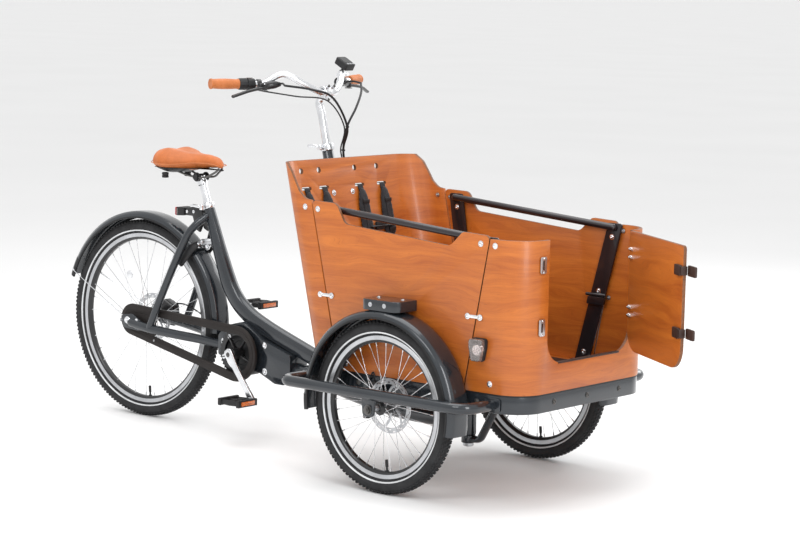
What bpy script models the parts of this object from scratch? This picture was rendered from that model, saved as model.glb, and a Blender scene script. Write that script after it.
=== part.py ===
"""Cargo tricycle with a plywood box between two front wheels, built as separate solids.

Units are metres, +Z is up and +X is the riding direction. Lengths along X are measured
from the rear axle; the whole bicycle is then moved so that its ground footprint is centred.
The right-hand side of the bicycle is at -Y.
"""
from math import acos, atan2, cos, pi, radians, sin, sqrt, tan

import bmesh
import bpy
from mathutils import Matrix, Vector

# ---------------------------------------------------------------- driving dimensions
GAP = 0.0003                      # clearance between pieces that touch
FIT = 0.0006                      # clearance of a turning or sliding fit

# wheels
WHEELBASE = 1.361                 # rear axle to front axle
REAR_FLANGE = 0.2855              # rim flange of the 26 inch wheel
FRONT_FLANGE = 0.209              # rim flange of the 20 inch wheel
TYRE_HEIGHT = 0.0445              # from the rim flange to the tread
TYRE_WIDTH = 0.046
REAR_RADIUS = REAR_FLANGE + TYRE_HEIGHT
FRONT_RADIUS = FRONT_FLANGE + TYRE_HEIGHT
RIM_WIDTH = 0.025
RIM_DEPTH = 0.022
SPOKES = 18
SPOKE_WIDTH = 0.0024
REAR_HUB_RADIUS = 0.030
FRONT_HUB_RADIUS = 0.020
REAR_HUB_LENGTH = 0.076
FRONT_HUB_LENGTH = 0.060
AXLE_RADIUS = 0.006
REAR_AXLE_LENGTH = 0.186
DISC_RADIUS = 0.080
DISC_THICKNESS = 0.0022
DISC_OFFSET = 0.024               # front disc, from the middle of the wheel

# rear frame
SEAT_TUBE_RADIUS = 0.0165         # outside of the seat tube at its top
SEAT_TUBE_TOP = (0.281, 0.737)
MAIN_TUBE_HEIGHT = 0.0275         # half height of the big curved tube
MAIN_TUBE_WIDTH = 0.0205          # half width of the big curved tube
LOWER_TUBE_RADIUS = 0.030
STAY_RADIUS = 0.0135
DROPOUT_Y = 0.083                 # middle of each rear dropout plate
DROPOUT_THICKNESS = 0.006
KINGPIN_OFFSET = 0.020            # steering axis ahead of the front axle
KINGPIN_RADIUS = 0.011
HEAD_TUBE_RADIUS = 0.023
HEAD_TUBE_BOTTOM = 0.128
HEAD_TUBE_TOP = 0.205
KINGPIN_TOP = HEAD_TUBE_TOP + 0.050

# drive
BRACKET_X = 0.472                 # crank axis
BRACKET_Z = 0.270
CRANK_LENGTH = 0.165
CRANK_ANGLE = radians(-53.0)      # right crank, from +X
CRANK_Y = 0.090                   # middle of each crank arm
CRANK_THICKNESS = 0.013
SPINDLE_RADIUS = 0.010
CHAINRING_TEETH = 38
SPROCKET_TEETH = 19
CHAIN_PITCH = 0.0127
CHAIN_Y = -0.050                  # middle plane of the chain
CHAIN_WIDTH = 0.008
CHAIN_HEIGHT = 0.008
CHAIN_STEPS = 14                  # flats of the chain around the chainring
CHAIN_CASE_BAND = 0.028           # height of the case over each chain run
CHAIN_CASE_THICKNESS = 0.012
MOTOR_RADIUS = 0.076
MOTOR_WIDTH = 0.066
MOTOR_BRACKET_REAR = BRACKET_X - 0.097        # yoke that the chain stays meet
MOTOR_BRACKET_FRONT = BRACKET_X + 0.218
PEDAL_LENGTH = 0.096
PEDAL_WIDTH = 0.084
PEDAL_THICKNESS = 0.024
LOCK_HALF_WIDTH = 0.0445          # middle of the ring lock's legs

# saddle
SEATPOST_RADIUS = 0.0136
SEATPOST_HEIGHT = 0.090           # bare post above the seat tube
SEATPOST_DEPTH = 0.230            # bore for the post inside the seat tube
SEATPOST_INSERT = 0.160           # length of post inside the bore
SADDLE_LENGTH = 0.262
SADDLE_WIDTH = 0.200
SADDLE_HEIGHT = 0.060
SADDLE_NOSE_X = 0.350
# position along the saddle, share of its width, share of its height
SADDLE_SHAPE = ((0.0, 0.45, 0.55), (0.05, 0.80, 0.85), (0.18, 1.0, 1.0), (0.36, 0.93, 1.0),
                (0.52, 0.60, 0.92), (0.66, 0.34, 0.88), (0.84, 0.25, 0.84), (0.96, 0.20, 0.74),
                (1.0, 0.10, 0.45))
SADDLE_BOTTOM = 0.845

# box
BOX_HALF_WIDTH = 0.318
TYRE_TO_BOX = 0.031               # inside of a front tyre to the side panel
TRACK = 2 * (BOX_HALF_WIDTH + TYRE_TO_BOX + TYRE_WIDTH / 2)
PANEL = 0.010                     # plywood thickness
PANEL_GAP = 0.004                 # open joint between two panels
BOX_BOTTOM = FRONT_RADIUS + 0.0755
BOX_FRONT = WHEELBASE + 0.451                 # outside of the front wall
BOX_REAR_TOP = WHEELBASE - 0.497              # outside of the rear wall at its top
BOX_REAR_LEAN = radians(13.5)
BOX_REAR_HEIGHT = 0.925           # top of the rear wall
BOX_REAR_CORNER = 0.085
BOX_FRONT_CORNER = 0.095
BOX_SIDE_HEIGHT = 0.822           # top of the side panel at its rear end
BOX_FRONT_HEIGHT = 0.765
REAR_JOINT_X = WHEELBASE - 0.225              # open joint behind the side panel, at the bottom
FRONT_JOINT_X = WHEELBASE + 0.246             # open joint ahead of the side panel, at the bottom
FRONT_JOINT_LEAN = radians(10.4)
FLOOR_THICKNESS = 0.012
CUTOUT_DEPTH = 0.060              # dip in the top of the side panel
STRAP_SLOT = (0.044, 0.010)
HANG_HOLE_RADIUS = 0.009
STRAP_ROWS = (-0.215, -0.135, 0.030, 0.135)

# door
DOOR_HALF_OPENING = 0.203
DOOR_SILL = 0.412
DOOR_CORNER = 0.070
DOOR_CLEARANCE = 0.003
DOOR_FREE_CLEARANCE = 0.008
DOOR_OPEN = radians(56.5)
LATCH_LENGTH = 0.052
LATCH_HEIGHT = 0.021
LATCH_HEIGHTS = (0.696, 0.520)

# chassis
BAND_BOTTOM = FRONT_RADIUS + 0.0215
BAND_THICKNESS = 0.022
BAND_Y = BOX_HALF_WIDTH - 0.002   # outside of the band along the box
GUARD_RADIUS = 0.0165
GUARD_Y = TRACK / 2 + 0.070
GUARD_Z = FRONT_RADIUS + 0.0455
GUARD_CLEARANCE = 0.005           # mudguard to the rear end of the guard tube
GUARD_NOSE = 0.014                # the front end reaches this much further
BRIDGE_HALF_X = 0.030
MUDGUARD_CLEARANCE = 0.026        # tyre to the inside of a mudguard
MUDGUARD_WALL = 0.004
MUDGUARD_WIDTH = 0.082
MUDGUARD_DEPTH = 0.018

# steering
COLUMN_RADIUS = 0.0175
COLUMN_TOP = 0.962
COLUMN_TO_WALL = 0.046            # column axis behind the rear wall
STEM_RADIUS = 0.0130
BAR_RADIUS = 0.0111
BAR_CLAMP = (WHEELBASE - 0.571, 1.123)
BAR_RISE = 0.054
GRIP_END = (BAR_CLAMP[0] - 0.167, 0.340, 1.148)
GRIP_INNER = (BAR_CLAMP[0] - 0.131, 0.250, 1.147)
GRIP_RADIUS = 0.0165
SHIFTER_LENGTH = 0.052
CABLE_RADIUS = 0.0026
CABLE_JOIN = (BAR_CLAMP[0] + 0.082, 0.004, 1.020)
CABLE_END = (BAR_CLAMP[0] + 0.095, 0.031, 0.700)

SEGMENTS = 2 * SPOKES
TUBE_SIDES = 12

KINGPIN_X = WHEELBASE + KINGPIN_OFFSET
LEAN = tan(BOX_REAR_LEAN)
CHAINRING_RADIUS = CHAIN_PITCH / (2.0 * sin(pi / CHAINRING_TEETH))
SPROCKET_RADIUS = CHAIN_PITCH / (2.0 * sin(pi / SPROCKET_TEETH))


# ---------------------------------------------------------------- scene and materials
def clear_scene():
    """Remove every object that the file starts with."""
    for obj in list(bpy.data.objects):
        bpy.data.objects.remove(obj, do_unlink=True)


def material(name, colour, roughness, metallic=0.0):
    """Return a Principled material of one plain colour."""
    mat = bpy.data.materials.new(name)
    mat.use_nodes = True
    shader = mat.node_tree.nodes["Principled BSDF"]
    shader.inputs["Base Color"].default_value = (*colour, 1.0)
    shader.inputs["Roughness"].default_value = roughness
    shader.inputs["Metallic"].default_value = metallic
    return mat


def make_materials():
    """Return the bicycle's materials by their plain names."""
    table = {
        "frame_paint": ((0.055, 0.065, 0.078), 0.30, 0.3),
        "black_plastic": ((0.020, 0.020, 0.022), 0.55, 0.0),
        "black_steel": ((0.035, 0.033, 0.035), 0.40, 0.6),
        "case_plastic": ((0.045, 0.038, 0.035), 0.60, 0.0),
        "polished_alloy": ((0.75, 0.76, 0.78), 0.18, 1.0),
        "steel": ((0.55, 0.56, 0.58), 0.35, 1.0),
        "rubber": ((0.028, 0.027, 0.027), 0.85, 0.0),
        "plywood": ((0.62, 0.24, 0.055), 0.35, 0.0),
        "dark_board": ((0.13, 0.055, 0.03), 0.50, 0.0),
        "tan_leather": ((0.62, 0.22, 0.06), 0.55, 0.0),
        "black_webbing": ((0.02, 0.02, 0.02), 0.80, 0.0),
        "clear_lens": ((0.80, 0.80, 0.80), 0.10, 0.0),
        "red_lens": ((0.55, 0.02, 0.02), 0.20, 0.0),
    }
    return {name: material(name, *values) for name, values in table.items()}


def empty(name, location, parent=None):
    """Add an empty on a joint axis; its location is in bicycle coordinates."""
    obj = bpy.data.objects.new(name, None)
    bpy.context.scene.collection.objects.link(obj)
    obj["at"] = location
    base = Vector((0.0, 0.0, 0.0))
    if parent is not None:
        obj.parent = parent
        base = Vector(parent["at"])
    obj.location = Vector(location) - base
    return obj


def finish(name, bm, mat, parent, origin=None, smooth=True):
    """Turn a bmesh in bicycle coordinates into a named object under its parent empty."""
    base = Vector(parent["at"])
    centre = base if origin is None else Vector(origin)
    bmesh.ops.translate(bm, verts=bm.verts, vec=-centre)
    bmesh.ops.recalc_face_normals(bm, faces=bm.faces)
    mesh = bpy.data.meshes.new(name)
    bm.to_mesh(mesh)
    bm.free()
    if mat is not None:
        mesh.materials.append(mat)
    if smooth:
        mesh.shade_smooth()
        mesh.set_sharp_from_angle(angle=radians(35.0))
    obj = bpy.data.objects.new(name, mesh)
    bpy.context.scene.collection.objects.link(obj)
    obj.parent = parent
    obj.location = centre - base
    return obj


def tool(target, bm, operation):
    """Join a closed bmesh to an object, or cut it out, with a Boolean modifier."""
    parts = [child for child in bpy.data.objects if child.name.startswith(target.name + "_tool")]
    name = f"{target.name}_tool{len(parts)}"
    obj = finish(name, bm, None, target.parent, smooth=False)
    obj.hide_render = True
    obj.display_type = "WIRE"
    modifier = target.modifiers.new(operation.lower(), "BOOLEAN")
    modifier.operation = operation
    modifier.solver = "EXACT"
    modifier.use_self = True
    modifier.object = obj
    return obj


# ---------------------------------------------------------------- shape helpers
def ring_faces(bm, rings, closed_rings=True, cap=True, closed_path=False):
    """Bridge equal rings of vertices with quads and cap the two ends."""
    count = len(rings[0])
    spans = len(rings) if closed_path else len(rings) - 1
    for i in range(spans):
        first, second = rings[i], rings[(i + 1) % len(rings)]
        for k in range(count if closed_rings else count - 1):
            j = (k + 1) % count
            bm.faces.new((first[k], first[j], second[j], second[k]))
    if cap and not closed_path:
        bm.faces.new(list(reversed(rings[0])))
        bm.faces.new(rings[-1])


def sweep(points, radii, sides=TUBE_SIDES, closed=False):
    """Sweep an ellipse along points; radii holds (across the bend, to the side) pairs."""
    path = [Vector(p) for p in points]
    count = len(path)
    if not isinstance(radii, (list, tuple)):
        radii = (radii, radii)
    if not isinstance(radii[0], (list, tuple)):
        radii = [radii] * count
    bm = bmesh.new()
    rings = []
    normal = None
    for i, point in enumerate(path):
        if closed:
            before, after = path[i - 1], path[(i + 1) % count]
        else:
            before, after = path[max(i - 1, 0)], path[min(i + 1, count - 1)]
        tangent = (after - before).normalized()
        if normal is None:
            guide = Vector((0, 0, 1)) if abs(tangent.z) < 0.95 else Vector((1, 0, 0))
            normal = (guide - tangent * guide.dot(tangent)).normalized()
        normal = (normal - tangent * normal.dot(tangent)).normalized()
        side = tangent.cross(normal)
        ring = []
        for k in range(sides):
            turn = 2 * pi * (k + 0.5) / sides
            offset = normal * (radii[i][0] * cos(turn)) + side * (radii[i][1] * sin(turn))
            ring.append(bm.verts.new(point + offset))
        rings.append(ring)
    ring_faces(bm, rings, closed_path=closed)
    return bm


def smooth_path(points, steps=4):
    """Return points on a smooth curve through the given points."""
    path = [Vector(p) for p in points]
    ends = [path[0] * 2 - path[1], *path, path[-1] * 2 - path[-2]]
    result = []
    for i in range(1, len(ends) - 2):
        a, b, c, d = ends[i - 1:i + 3]
        for k in range(steps):
            t = k / steps
            result.append(0.5 * (2 * b + (c - a) * t + (2 * a - 5 * b + 4 * c - d) * t * t
                                 + (3 * b - a - 3 * c + d) * t ** 3))
    result.append(path[-1])
    return result


def rounded(points, radii, steps=4, closed=True):
    """Round the corners of an outline with arcs; one radius for each point, or one for all."""
    path = [Vector(p) for p in points]
    count = len(path)
    if not isinstance(radii, (list, tuple)):
        radii = [radii] * count
    result = []
    for i, corner in enumerate(path):
        if radii[i] <= 0 or (not closed and i in (0, count - 1)):
            result.append(corner)
            continue
        back = path[i - 1] - corner
        ahead = path[(i + 1) % count] - corner
        half = acos(max(-1.0, min(1.0, back.normalized().dot(ahead.normalized())))) / 2
        reach = min(radii[i] / tan(half), 0.499 * min(back.length, ahead.length))
        radius = reach * tan(half)
        middle = (back.normalized() + ahead.normalized()).normalized()
        centre = corner + middle * (radius / sin(half))
        start = corner + back.normalized() * reach - centre
        end = corner + ahead.normalized() * reach - centre
        sweep_angle = pi - 2 * half
        for k in range(steps + 1):
            t = k / steps
            first = sin((1 - t) * sweep_angle) / sin(sweep_angle)
            second = sin(t * sweep_angle) / sin(sweep_angle)
            result.append(centre + start * first + end * second)
    return result


def prism(outline, start, end, axis="Y"):
    """Extrude a flat outline along an axis; outline pairs are the two other coordinates."""
    place = {
        "X": lambda a, b, depth: (depth, a, b),
        "Y": lambda a, b, depth: (a, depth, b),
        "Z": lambda a, b, depth: (a, b, depth),
    }[axis]
    bm = bmesh.new()
    rings = []
    for depth in (start, end):
        rings.append([bm.verts.new(place(p[0], p[1], depth)) for p in outline])
    ring_faces(bm, rings)
    return bm


def block(low, high, bevel=0.0):
    """Return a box between two corners, with its edges bevelled."""
    bm = bmesh.new()
    bmesh.ops.create_cube(bm, size=1.0)
    size = Vector(high) - Vector(low)
    bmesh.ops.scale(bm, verts=bm.verts, vec=size)
    bmesh.ops.translate(bm, verts=bm.verts, vec=(Vector(high) + Vector(low)) / 2)
    if bevel > 0:
        bmesh.ops.bevel(bm, geom=bm.edges, offset=bevel, segments=1, affect="EDGES")
    return bm


def rod(start, end, radius, sides=TUBE_SIDES):
    """Return a straight round bar."""
    return sweep([start, end], radius, sides)


def turned(profile, centre, segments=SEGMENTS):
    """Turn a closed profile of (radius, y) pairs around the Y axis through centre."""
    bm = bmesh.new()
    rings = []
    for i in range(segments):
        angle = 2 * pi * i / segments
        rings.append([bm.verts.new((centre[0] + r * cos(angle), centre[1] + y,
                                    centre[2] + r * sin(angle))) for r, y in profile])
    ring_faces(bm, rings, closed_path=True)
    return bm


def lathe(profile, centre, axis="Y", sides=24):
    """Turn an open profile of (radius, distance) pairs, closed on its axis by flat ends."""
    bm = bmesh.new()
    rings = []
    for radius, distance in profile:
        ring = []
        for i in range(sides):
            angle = 2 * pi * i / sides
            a, b = radius * cos(angle), radius * sin(angle)
            offset = {"X": (distance, a, b), "Y": (a, distance, b), "Z": (a, b, distance)}[axis]
            ring.append(bm.verts.new(Vector(centre) + Vector(offset)))
        rings.append(ring)
    ring_faces(bm, rings)
    return bm


def mirror_y(bm):
    """Reflect a bmesh to the other side of the bicycle."""
    bmesh.ops.scale(bm, verts=bm.verts, vec=(1, -1, 1))
    bmesh.ops.reverse_faces(bm, faces=bm.faces)
    return bm


def sided(bm, side):
    """Keep a right-hand (-1) bmesh as it is, or reflect it for the left side (+1)."""
    return bm if side < 0 else mirror_y(bm)


def arc(centre, radius, start, end, steps):
    """Return points on an arc in the XZ plane; angles in radians from +X."""
    result = []
    for k in range(steps + 1):
        angle = start + (end - start) * k / steps
        result.append((centre[0] + radius * cos(angle), centre[1] + radius * sin(angle)))
    return result


# ---------------------------------------------------------------- wheels
def tyre(name, centre, radius, flange, mats, parent):
    """Tyre: a round section seated on the rim flange, flattened on the inside."""
    half = TYRE_WIDTH / 2
    seat = flange + GAP
    middle = (seat + radius) / 2 + 0.003
    profile = [(seat, -RIM_WIDTH / 2 + 0.002), (middle, -half), (radius - 0.006, -half * 0.62),
               (radius, -half * 0.20), (radius, half * 0.20), (radius - 0.006, half * 0.62),
               (middle, half), (seat, RIM_WIDTH / 2 - 0.002)]
    return finish(name, turned(profile, centre), mats["rubber"], parent, centre)


def spoked_ring(bm, profile, strip, segments, phase):
    """Turn a closed profile around Y, with a small square hole for each spoke in one strip."""
    rings = []
    for i in range(segments):
        angle = 2 * pi * i / segments + phase
        rings.append([bm.verts.new((r * cos(angle), y, r * sin(angle))) for r, y in profile])
    count = len(profile)
    step = segments // SPOKES
    squares = []
    for i, ring in enumerate(rings):
        after = rings[(i + 1) % segments]
        for k in range(count):
            j = (k + 1) % count
            corners = (ring[k], ring[j], after[j], after[k])
            if k == strip and i % step == 0:
                squares.append(spoke_hole(bm, corners))
            else:
                bm.faces.new(corners)
    return squares


def spoke_hole(bm, corners):
    """Frame a square hole in the middle of a face; return its corners by their directions."""
    middle = sum((vert.co for vert in corners), Vector()) / 4
    tangent = (corners[3].co - corners[0].co).normalized()
    square = {}
    inner = []
    for vert in corners:
        along = 1 if (vert.co - middle).dot(tangent) > 0 else -1
        across = 1 if vert.co.y > middle.y else -1
        offset = (tangent * along + Vector((0, across, 0))) * (SPOKE_WIDTH / 2)
        square[along, across] = bm.verts.new(middle + offset)
        inner.append(square[along, across])
    for k in range(4):
        j = (k + 1) % 4
        bm.faces.new((corners[k], corners[j], inner[j], inner[k]))
    return square


def wheel_mesh(centre, flange, hub_radius, hub_length, disc_y):
    """Rim, spokes, hub and brake disc as one closed body around the axle bore."""
    bm = bmesh.new()
    half = RIM_WIDTH / 2
    inner = flange - RIM_DEPTH
    rim = [(flange, -half), (inner, -half / 2), (inner, half / 2), (flange, half)]
    end = hub_length / 2
    bore = AXLE_RADIUS + FIT
    thick = DISC_THICKNESS / 2
    disc = abs(disc_y)
    side = 1 if disc_y > 0 else -1
    hub = [(bore, -end), (hub_radius, -end), (hub_radius, -0.006), (hub_radius, 0.006),
           (hub_radius, disc - thick), (DISC_RADIUS, disc - thick), (DISC_RADIUS, disc + thick),
           (hub_radius * 0.8, end), (bore, end)]
    hub = [(radius, side * y) for radius, y in hub]
    rim_squares = spoked_ring(bm, rim, 1, SEGMENTS, 0.0)
    hub_squares = spoked_ring(bm, hub, 2, SPOKES, -pi / SEGMENTS)
    order = ((-1, -1), (1, -1), (1, 1), (-1, 1))
    for outer, root in zip(rim_squares, hub_squares):
        for k in range(4):
            first, second = order[k], order[(k + 1) % 4]
            bm.faces.new((outer[first], outer[second], root[second], root[first]))
    bmesh.ops.translate(bm, verts=bm.verts, vec=Vector(centre))
    return bm


def rear_wheel(mats, parent):
    """Rear wheel on its axle, with the driven sprocket on the right."""
    centre = (0.0, 0.0, REAR_RADIUS)
    spin = empty("rear_wheel_pivot", centre, parent)
    tyre("rear_tyre", centre, REAR_RADIUS, REAR_FLANGE, mats, spin)
    wheel = wheel_mesh(centre, REAR_FLANGE, REAR_HUB_RADIUS, REAR_HUB_LENGTH, 0.034)
    finish("rear_wheel", wheel, mats["polished_alloy"], spin)
    free = empty("rear_sprocket_pivot", centre, parent)
    edge = inside_chain(SPROCKET_RADIUS, CHAIN_STEPS // 2)
    ring = [(AXLE_RADIUS + FIT, CHAIN_Y - 0.0025), (edge, CHAIN_Y - 0.0025), (edge, CHAIN_Y + 0.0025),
            (REAR_HUB_RADIUS * 0.6, CHAIN_Y + 0.0025), (REAR_HUB_RADIUS * 0.6, -REAR_HUB_LENGTH / 2 - FIT),
            (AXLE_RADIUS + FIT, -REAR_HUB_LENGTH / 2 - FIT)]
    finish("rear_sprocket", turned(ring, centre, 24), mats["steel"], free)
    half = REAR_AXLE_LENGTH / 2
    axle = rod((0, -half, REAR_RADIUS), (0, half, REAR_RADIUS), AXLE_RADIUS)
    finish("rear_axle", axle, mats["steel"], parent)


def front_wheel(side, mats, parent):
    """One front wheel with its tyre, brake disc on the inside, and axle."""
    name = "right" if side < 0 else "left"
    centre = (WHEELBASE, side * TRACK / 2, FRONT_RADIUS)
    spin = empty(f"front_wheel_{name}_pivot", centre, parent)
    tyre(f"front_tyre_{name}", centre, FRONT_RADIUS, FRONT_FLANGE, mats, spin)
    wheel = wheel_mesh(centre, FRONT_FLANGE, FRONT_HUB_RADIUS, FRONT_HUB_LENGTH, -side * DISC_OFFSET)
    finish(f"front_wheel_{name}", wheel, mats["polished_alloy"], spin)
    inner = side * (BAND_Y - BAND_THICKNESS - 0.020)
    outer = side * (GUARD_Y + 0.008)
    axle = rod((WHEELBASE, inner, FRONT_RADIUS), (WHEELBASE, outer, FRONT_RADIUS), AXLE_RADIUS)
    finish(f"axle_{name}", axle, mats["steel"], parent)


# ---------------------------------------------------------------- rear frame
MAIN_TUBE_PATH = (
    (SEAT_TUBE_TOP[0], SEAT_TUBE_TOP[1]), (0.303, 0.680), (0.345, 0.570), (0.392, 0.468),
    (0.455, 0.402), (0.550, 0.355), (BRACKET_X + 0.288, 0.284), (BRACKET_X + 0.433, 0.236),
)
LOWER_TUBE_PATH = ((BRACKET_X + 0.168, 0.232), (BRACKET_X + 0.308, 0.222), (KINGPIN_X - 0.421, 0.190),
                   (KINGPIN_X - 0.251, 0.168))


def main_tube_line(extra=0.0):
    """Centre points and section radii of the curved tube, which grows below the seat."""
    points = smooth_path([(x, 0, z) for x, z in MAIN_TUBE_PATH], 3)
    radii = []
    for point in points:
        grow = min(1.0, max(0.0, (SEAT_TUBE_TOP[1] - 0.02 - point.z) / 0.22))
        height = SEAT_TUBE_RADIUS + (MAIN_TUBE_HEIGHT - SEAT_TUBE_RADIUS) * grow
        width = SEAT_TUBE_RADIUS + (MAIN_TUBE_WIDTH - SEAT_TUBE_RADIUS) * grow
        radii.append((height + extra, width + extra))
    return points, radii


def seat_tube_lean():
    """Direction of the seat tube at its top, pointing up."""
    (top_x, top_z), (low_x, low_z) = MAIN_TUBE_PATH[:2]
    return Vector((top_x - low_x, 0, top_z - low_z)).normalized()


def main_tube(mats, parent):
    """Seat tube that curves down and forward into the big main tube."""
    obj = finish("main_tube", sweep(*main_tube_line(), 12), mats["frame_paint"], parent)
    lean = seat_tube_lean()
    mouth = Vector((SEAT_TUBE_TOP[0], 0, SEAT_TUBE_TOP[1]))
    bore = rod(mouth + lean * 0.02, mouth - lean * SEATPOST_DEPTH, SEATPOST_RADIUS + FIT)
    tool(obj, bore, "DIFFERENCE")
    lower = smooth_path([(x, 0, z) for x, z in LOWER_TUBE_PATH], 3)
    tool(obj, sweep(lower, LOWER_TUBE_RADIUS + 2 * GAP), "DIFFERENCE")
    return obj


def bracket_outline():
    """Side view of the motor bracket; its top follows the underside of the main tube."""
    points, radii = main_tube_line(4 * GAP)
    top = []
    for i in range(1, len(points) - 1):
        point = points[i]
        if BRACKET_X - 0.015 < point.x < MOTOR_BRACKET_FRONT:
            tangent = (points[i + 1] - points[i - 1]).normalized()
            under = point - Vector((-tangent.z, 0, tangent.x)) * radii[i][0]
            top.append((under.x, under.z))
    yoke = MOTOR_BRACKET_REAR
    left = [(yoke, BRACKET_Z - 0.015), (yoke, BRACKET_Z + 0.048), (yoke + 0.030, BRACKET_Z + 0.082)]
    front = MOTOR_BRACKET_FRONT
    low = [(front, 0.262), (front, 0.196), (front - 0.065, 0.186), (front - 0.130, 0.215)]
    return left + top + low


def lower_tube(mats, parent):
    """Motor bracket and the tube from it under the box to the head tube."""
    head = (KINGPIN_X, 0, (HEAD_TUBE_BOTTOM + HEAD_TUBE_TOP) / 2)
    path = smooth_path([(x, 0, z) for x, z in LOWER_TUBE_PATH] + [head], 3)
    obj = finish("lower_tube", sweep(path, LOWER_TUBE_RADIUS), mats["frame_paint"], parent)
    sleeve_tube = rod((KINGPIN_X, 0, HEAD_TUBE_BOTTOM), (KINGPIN_X, 0, HEAD_TUBE_TOP), HEAD_TUBE_RADIUS)
    tool(obj, sleeve_tube, "UNION")
    half = MOTOR_WIDTH / 2 + 0.008
    tool(obj, prism(bracket_outline(), -half, half), "UNION")
    bore = rod((KINGPIN_X, 0, 0), (KINGPIN_X, 0, 0.4), KINGPIN_RADIUS + FIT)
    tool(obj, bore, "DIFFERENCE")
    room = rod((BRACKET_X, -0.2, BRACKET_Z), (BRACKET_X, 0.2, BRACKET_Z), MOTOR_RADIUS + 0.0015, 24)
    tool(obj, room, "DIFFERENCE")
    tool(obj, sweep(*main_tube_line(2 * GAP), 12), "DIFFERENCE")
    return obj


def stays(side, mats, parent):
    """Seat stay, chain stay and dropout plate of one side as one welded piece."""
    name = "right" if side < 0 else "left"
    outer = DROPOUT_Y
    chain = [(0.012, -outer, 0.322), (0.100, -outer, 0.312), (0.200, -0.066, 0.303),
             (0.290, -0.0430, 0.295), (0.345, -0.0335, 0.289), (MOTOR_BRACKET_REAR - 0.003, -0.029, 0.286)]
    obj = finish(f"stays_{name}", sided(sweep(smooth_path(chain, 2), STAY_RADIUS, 8), side),
                 mats["frame_paint"], parent)
    seat = [(0.286, -SEAT_TUBE_RADIUS - 0.012, 0.689), (0.262, -0.045, 0.660), (0.235, -0.062, 0.610),
            (0.150, -outer + 0.002, 0.420), (0.100, -outer, 0.314)]
    tool(obj, sided(sweep(smooth_path(seat, 2), STAY_RADIUS * 0.95, 8), side), "UNION")
    plate = prism(rounded([(-0.028, 0.345), (-0.020, 0.302), (0.060, 0.298), (0.066, 0.330),
                           (0.020, 0.352)], 0.010, 2),
                  -outer - DROPOUT_THICKNESS / 2, -outer + DROPOUT_THICKNESS / 2)
    tool(obj, sided(plate, side), "UNION")
    hole = rod((0, -0.2, REAR_RADIUS), (0, 0.2, REAR_RADIUS), AXLE_RADIUS + GAP)
    tool(obj, hole, "DIFFERENCE")
    points = smooth_path([(x, 0, z) for x, z in MAIN_TUBE_PATH[:3]], 4)
    tool(obj, sweep(points, SEAT_TUBE_RADIUS + 0.002 + GAP, 16), "DIFFERENCE")
    return obj


def mudguard_mesh(centre, radius, start, end, width, steps):
    """Arched strip around a wheel: a shallow C section swept from start to end."""
    inner = radius + MUDGUARD_CLEARANCE
    half = width / 2
    section = [(inner - MUDGUARD_DEPTH, -half), (inner - 0.004, -half * 0.86), (inner, -half * 0.5),
               (inner, half * 0.5), (inner - 0.004, half * 0.86), (inner - MUDGUARD_DEPTH, half)]
    outer = [(inner - MUDGUARD_DEPTH, half + MUDGUARD_WALL * 0.7),
             (inner + MUDGUARD_WALL * 0.2, half * 0.93 + MUDGUARD_WALL * 0.5),
             (inner + MUDGUARD_WALL, half * 0.52), (inner + MUDGUARD_WALL, -half * 0.52),
             (inner + MUDGUARD_WALL * 0.2, -half * 0.93 - MUDGUARD_WALL * 0.5),
             (inner - MUDGUARD_DEPTH, -half - MUDGUARD_WALL * 0.7)]
    bm = bmesh.new()
    rings = []
    for i in range(steps + 1):
        angle = start + (end - start) * i / steps
        rings.append([bm.verts.new((centre[0] + r * cos(angle), centre[1] + y,
                                    centre[2] + r * sin(angle))) for r, y in section + outer])
    ring_faces(bm, rings)
    return bm


def rear_mudguard(mats, parent):
    """Rear mudguard from behind the saddle down to the crank."""
    bm = mudguard_mesh((0, 0, REAR_RADIUS), REAR_RADIUS, radians(161), radians(-2), 0.066, 16)
    return finish("rear_mudguard", bm, mats["frame_paint"], parent)


def inside_chain(radius, steps):
    """Radius of a sprocket disc that clears the flats of the chain bent round it."""
    return (radius - CHAIN_HEIGHT / 2) * cos(0.55 * pi / steps) - GAP


def chain_line(radius_front, radius_rear, steps=CHAIN_STEPS):
    """Closed belt outline around the chainring and the rear sprocket, in the XZ plane."""
    dx, dz = BRACKET_X, BRACKET_Z - REAR_RADIUS
    length = sqrt(dx * dx + dz * dz)
    tilt = atan2(dz, dx)
    spread = acos((radius_rear - radius_front) / length)
    front = arc((BRACKET_X, BRACKET_Z), radius_front, tilt - spread, tilt + spread, steps)
    rear = arc((0.0, REAR_RADIUS), radius_rear, tilt + spread, tilt - spread + 2 * pi, steps // 2)
    return front + rear


def belt(front_outer, rear_outer, front_inner, rear_inner, low, high):
    """Closed loop between an outer and an inner belt outline."""
    outer = chain_line(front_outer, rear_outer)
    inner = chain_line(front_inner, rear_inner)
    bm = bmesh.new()
    rings = []
    for (ax, az), (bx, bz) in zip(outer, inner):
        rings.append([bm.verts.new((ax, low, az)), bm.verts.new((ax, high, az)),
                      bm.verts.new((bx, high, bz)), bm.verts.new((bx, low, bz))])
    ring_faces(bm, rings, closed_path=True)
    return bm


def chain_drive(mats, parent):
    """Chain loop and the cover along its outer side."""
    half = CHAIN_HEIGHT / 2
    loop = belt(CHAINRING_RADIUS + half, SPROCKET_RADIUS + half, CHAINRING_RADIUS - half,
                SPROCKET_RADIUS - half, CHAIN_Y - CHAIN_WIDTH / 2, CHAIN_Y + CHAIN_WIDTH / 2)
    finish("chain", loop, mats["steel"], parent)
    band = CHAIN_CASE_BAND / 2
    outside = CHAIN_Y - CHAIN_WIDTH / 2 - 0.001
    case = belt(CHAINRING_RADIUS + band, SPROCKET_RADIUS + band, CHAINRING_RADIUS - band,
                SPROCKET_RADIUS - band, outside - CHAIN_CASE_THICKNESS, outside)
    finish("chain_case", case, mats["case_plastic"], parent)


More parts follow.
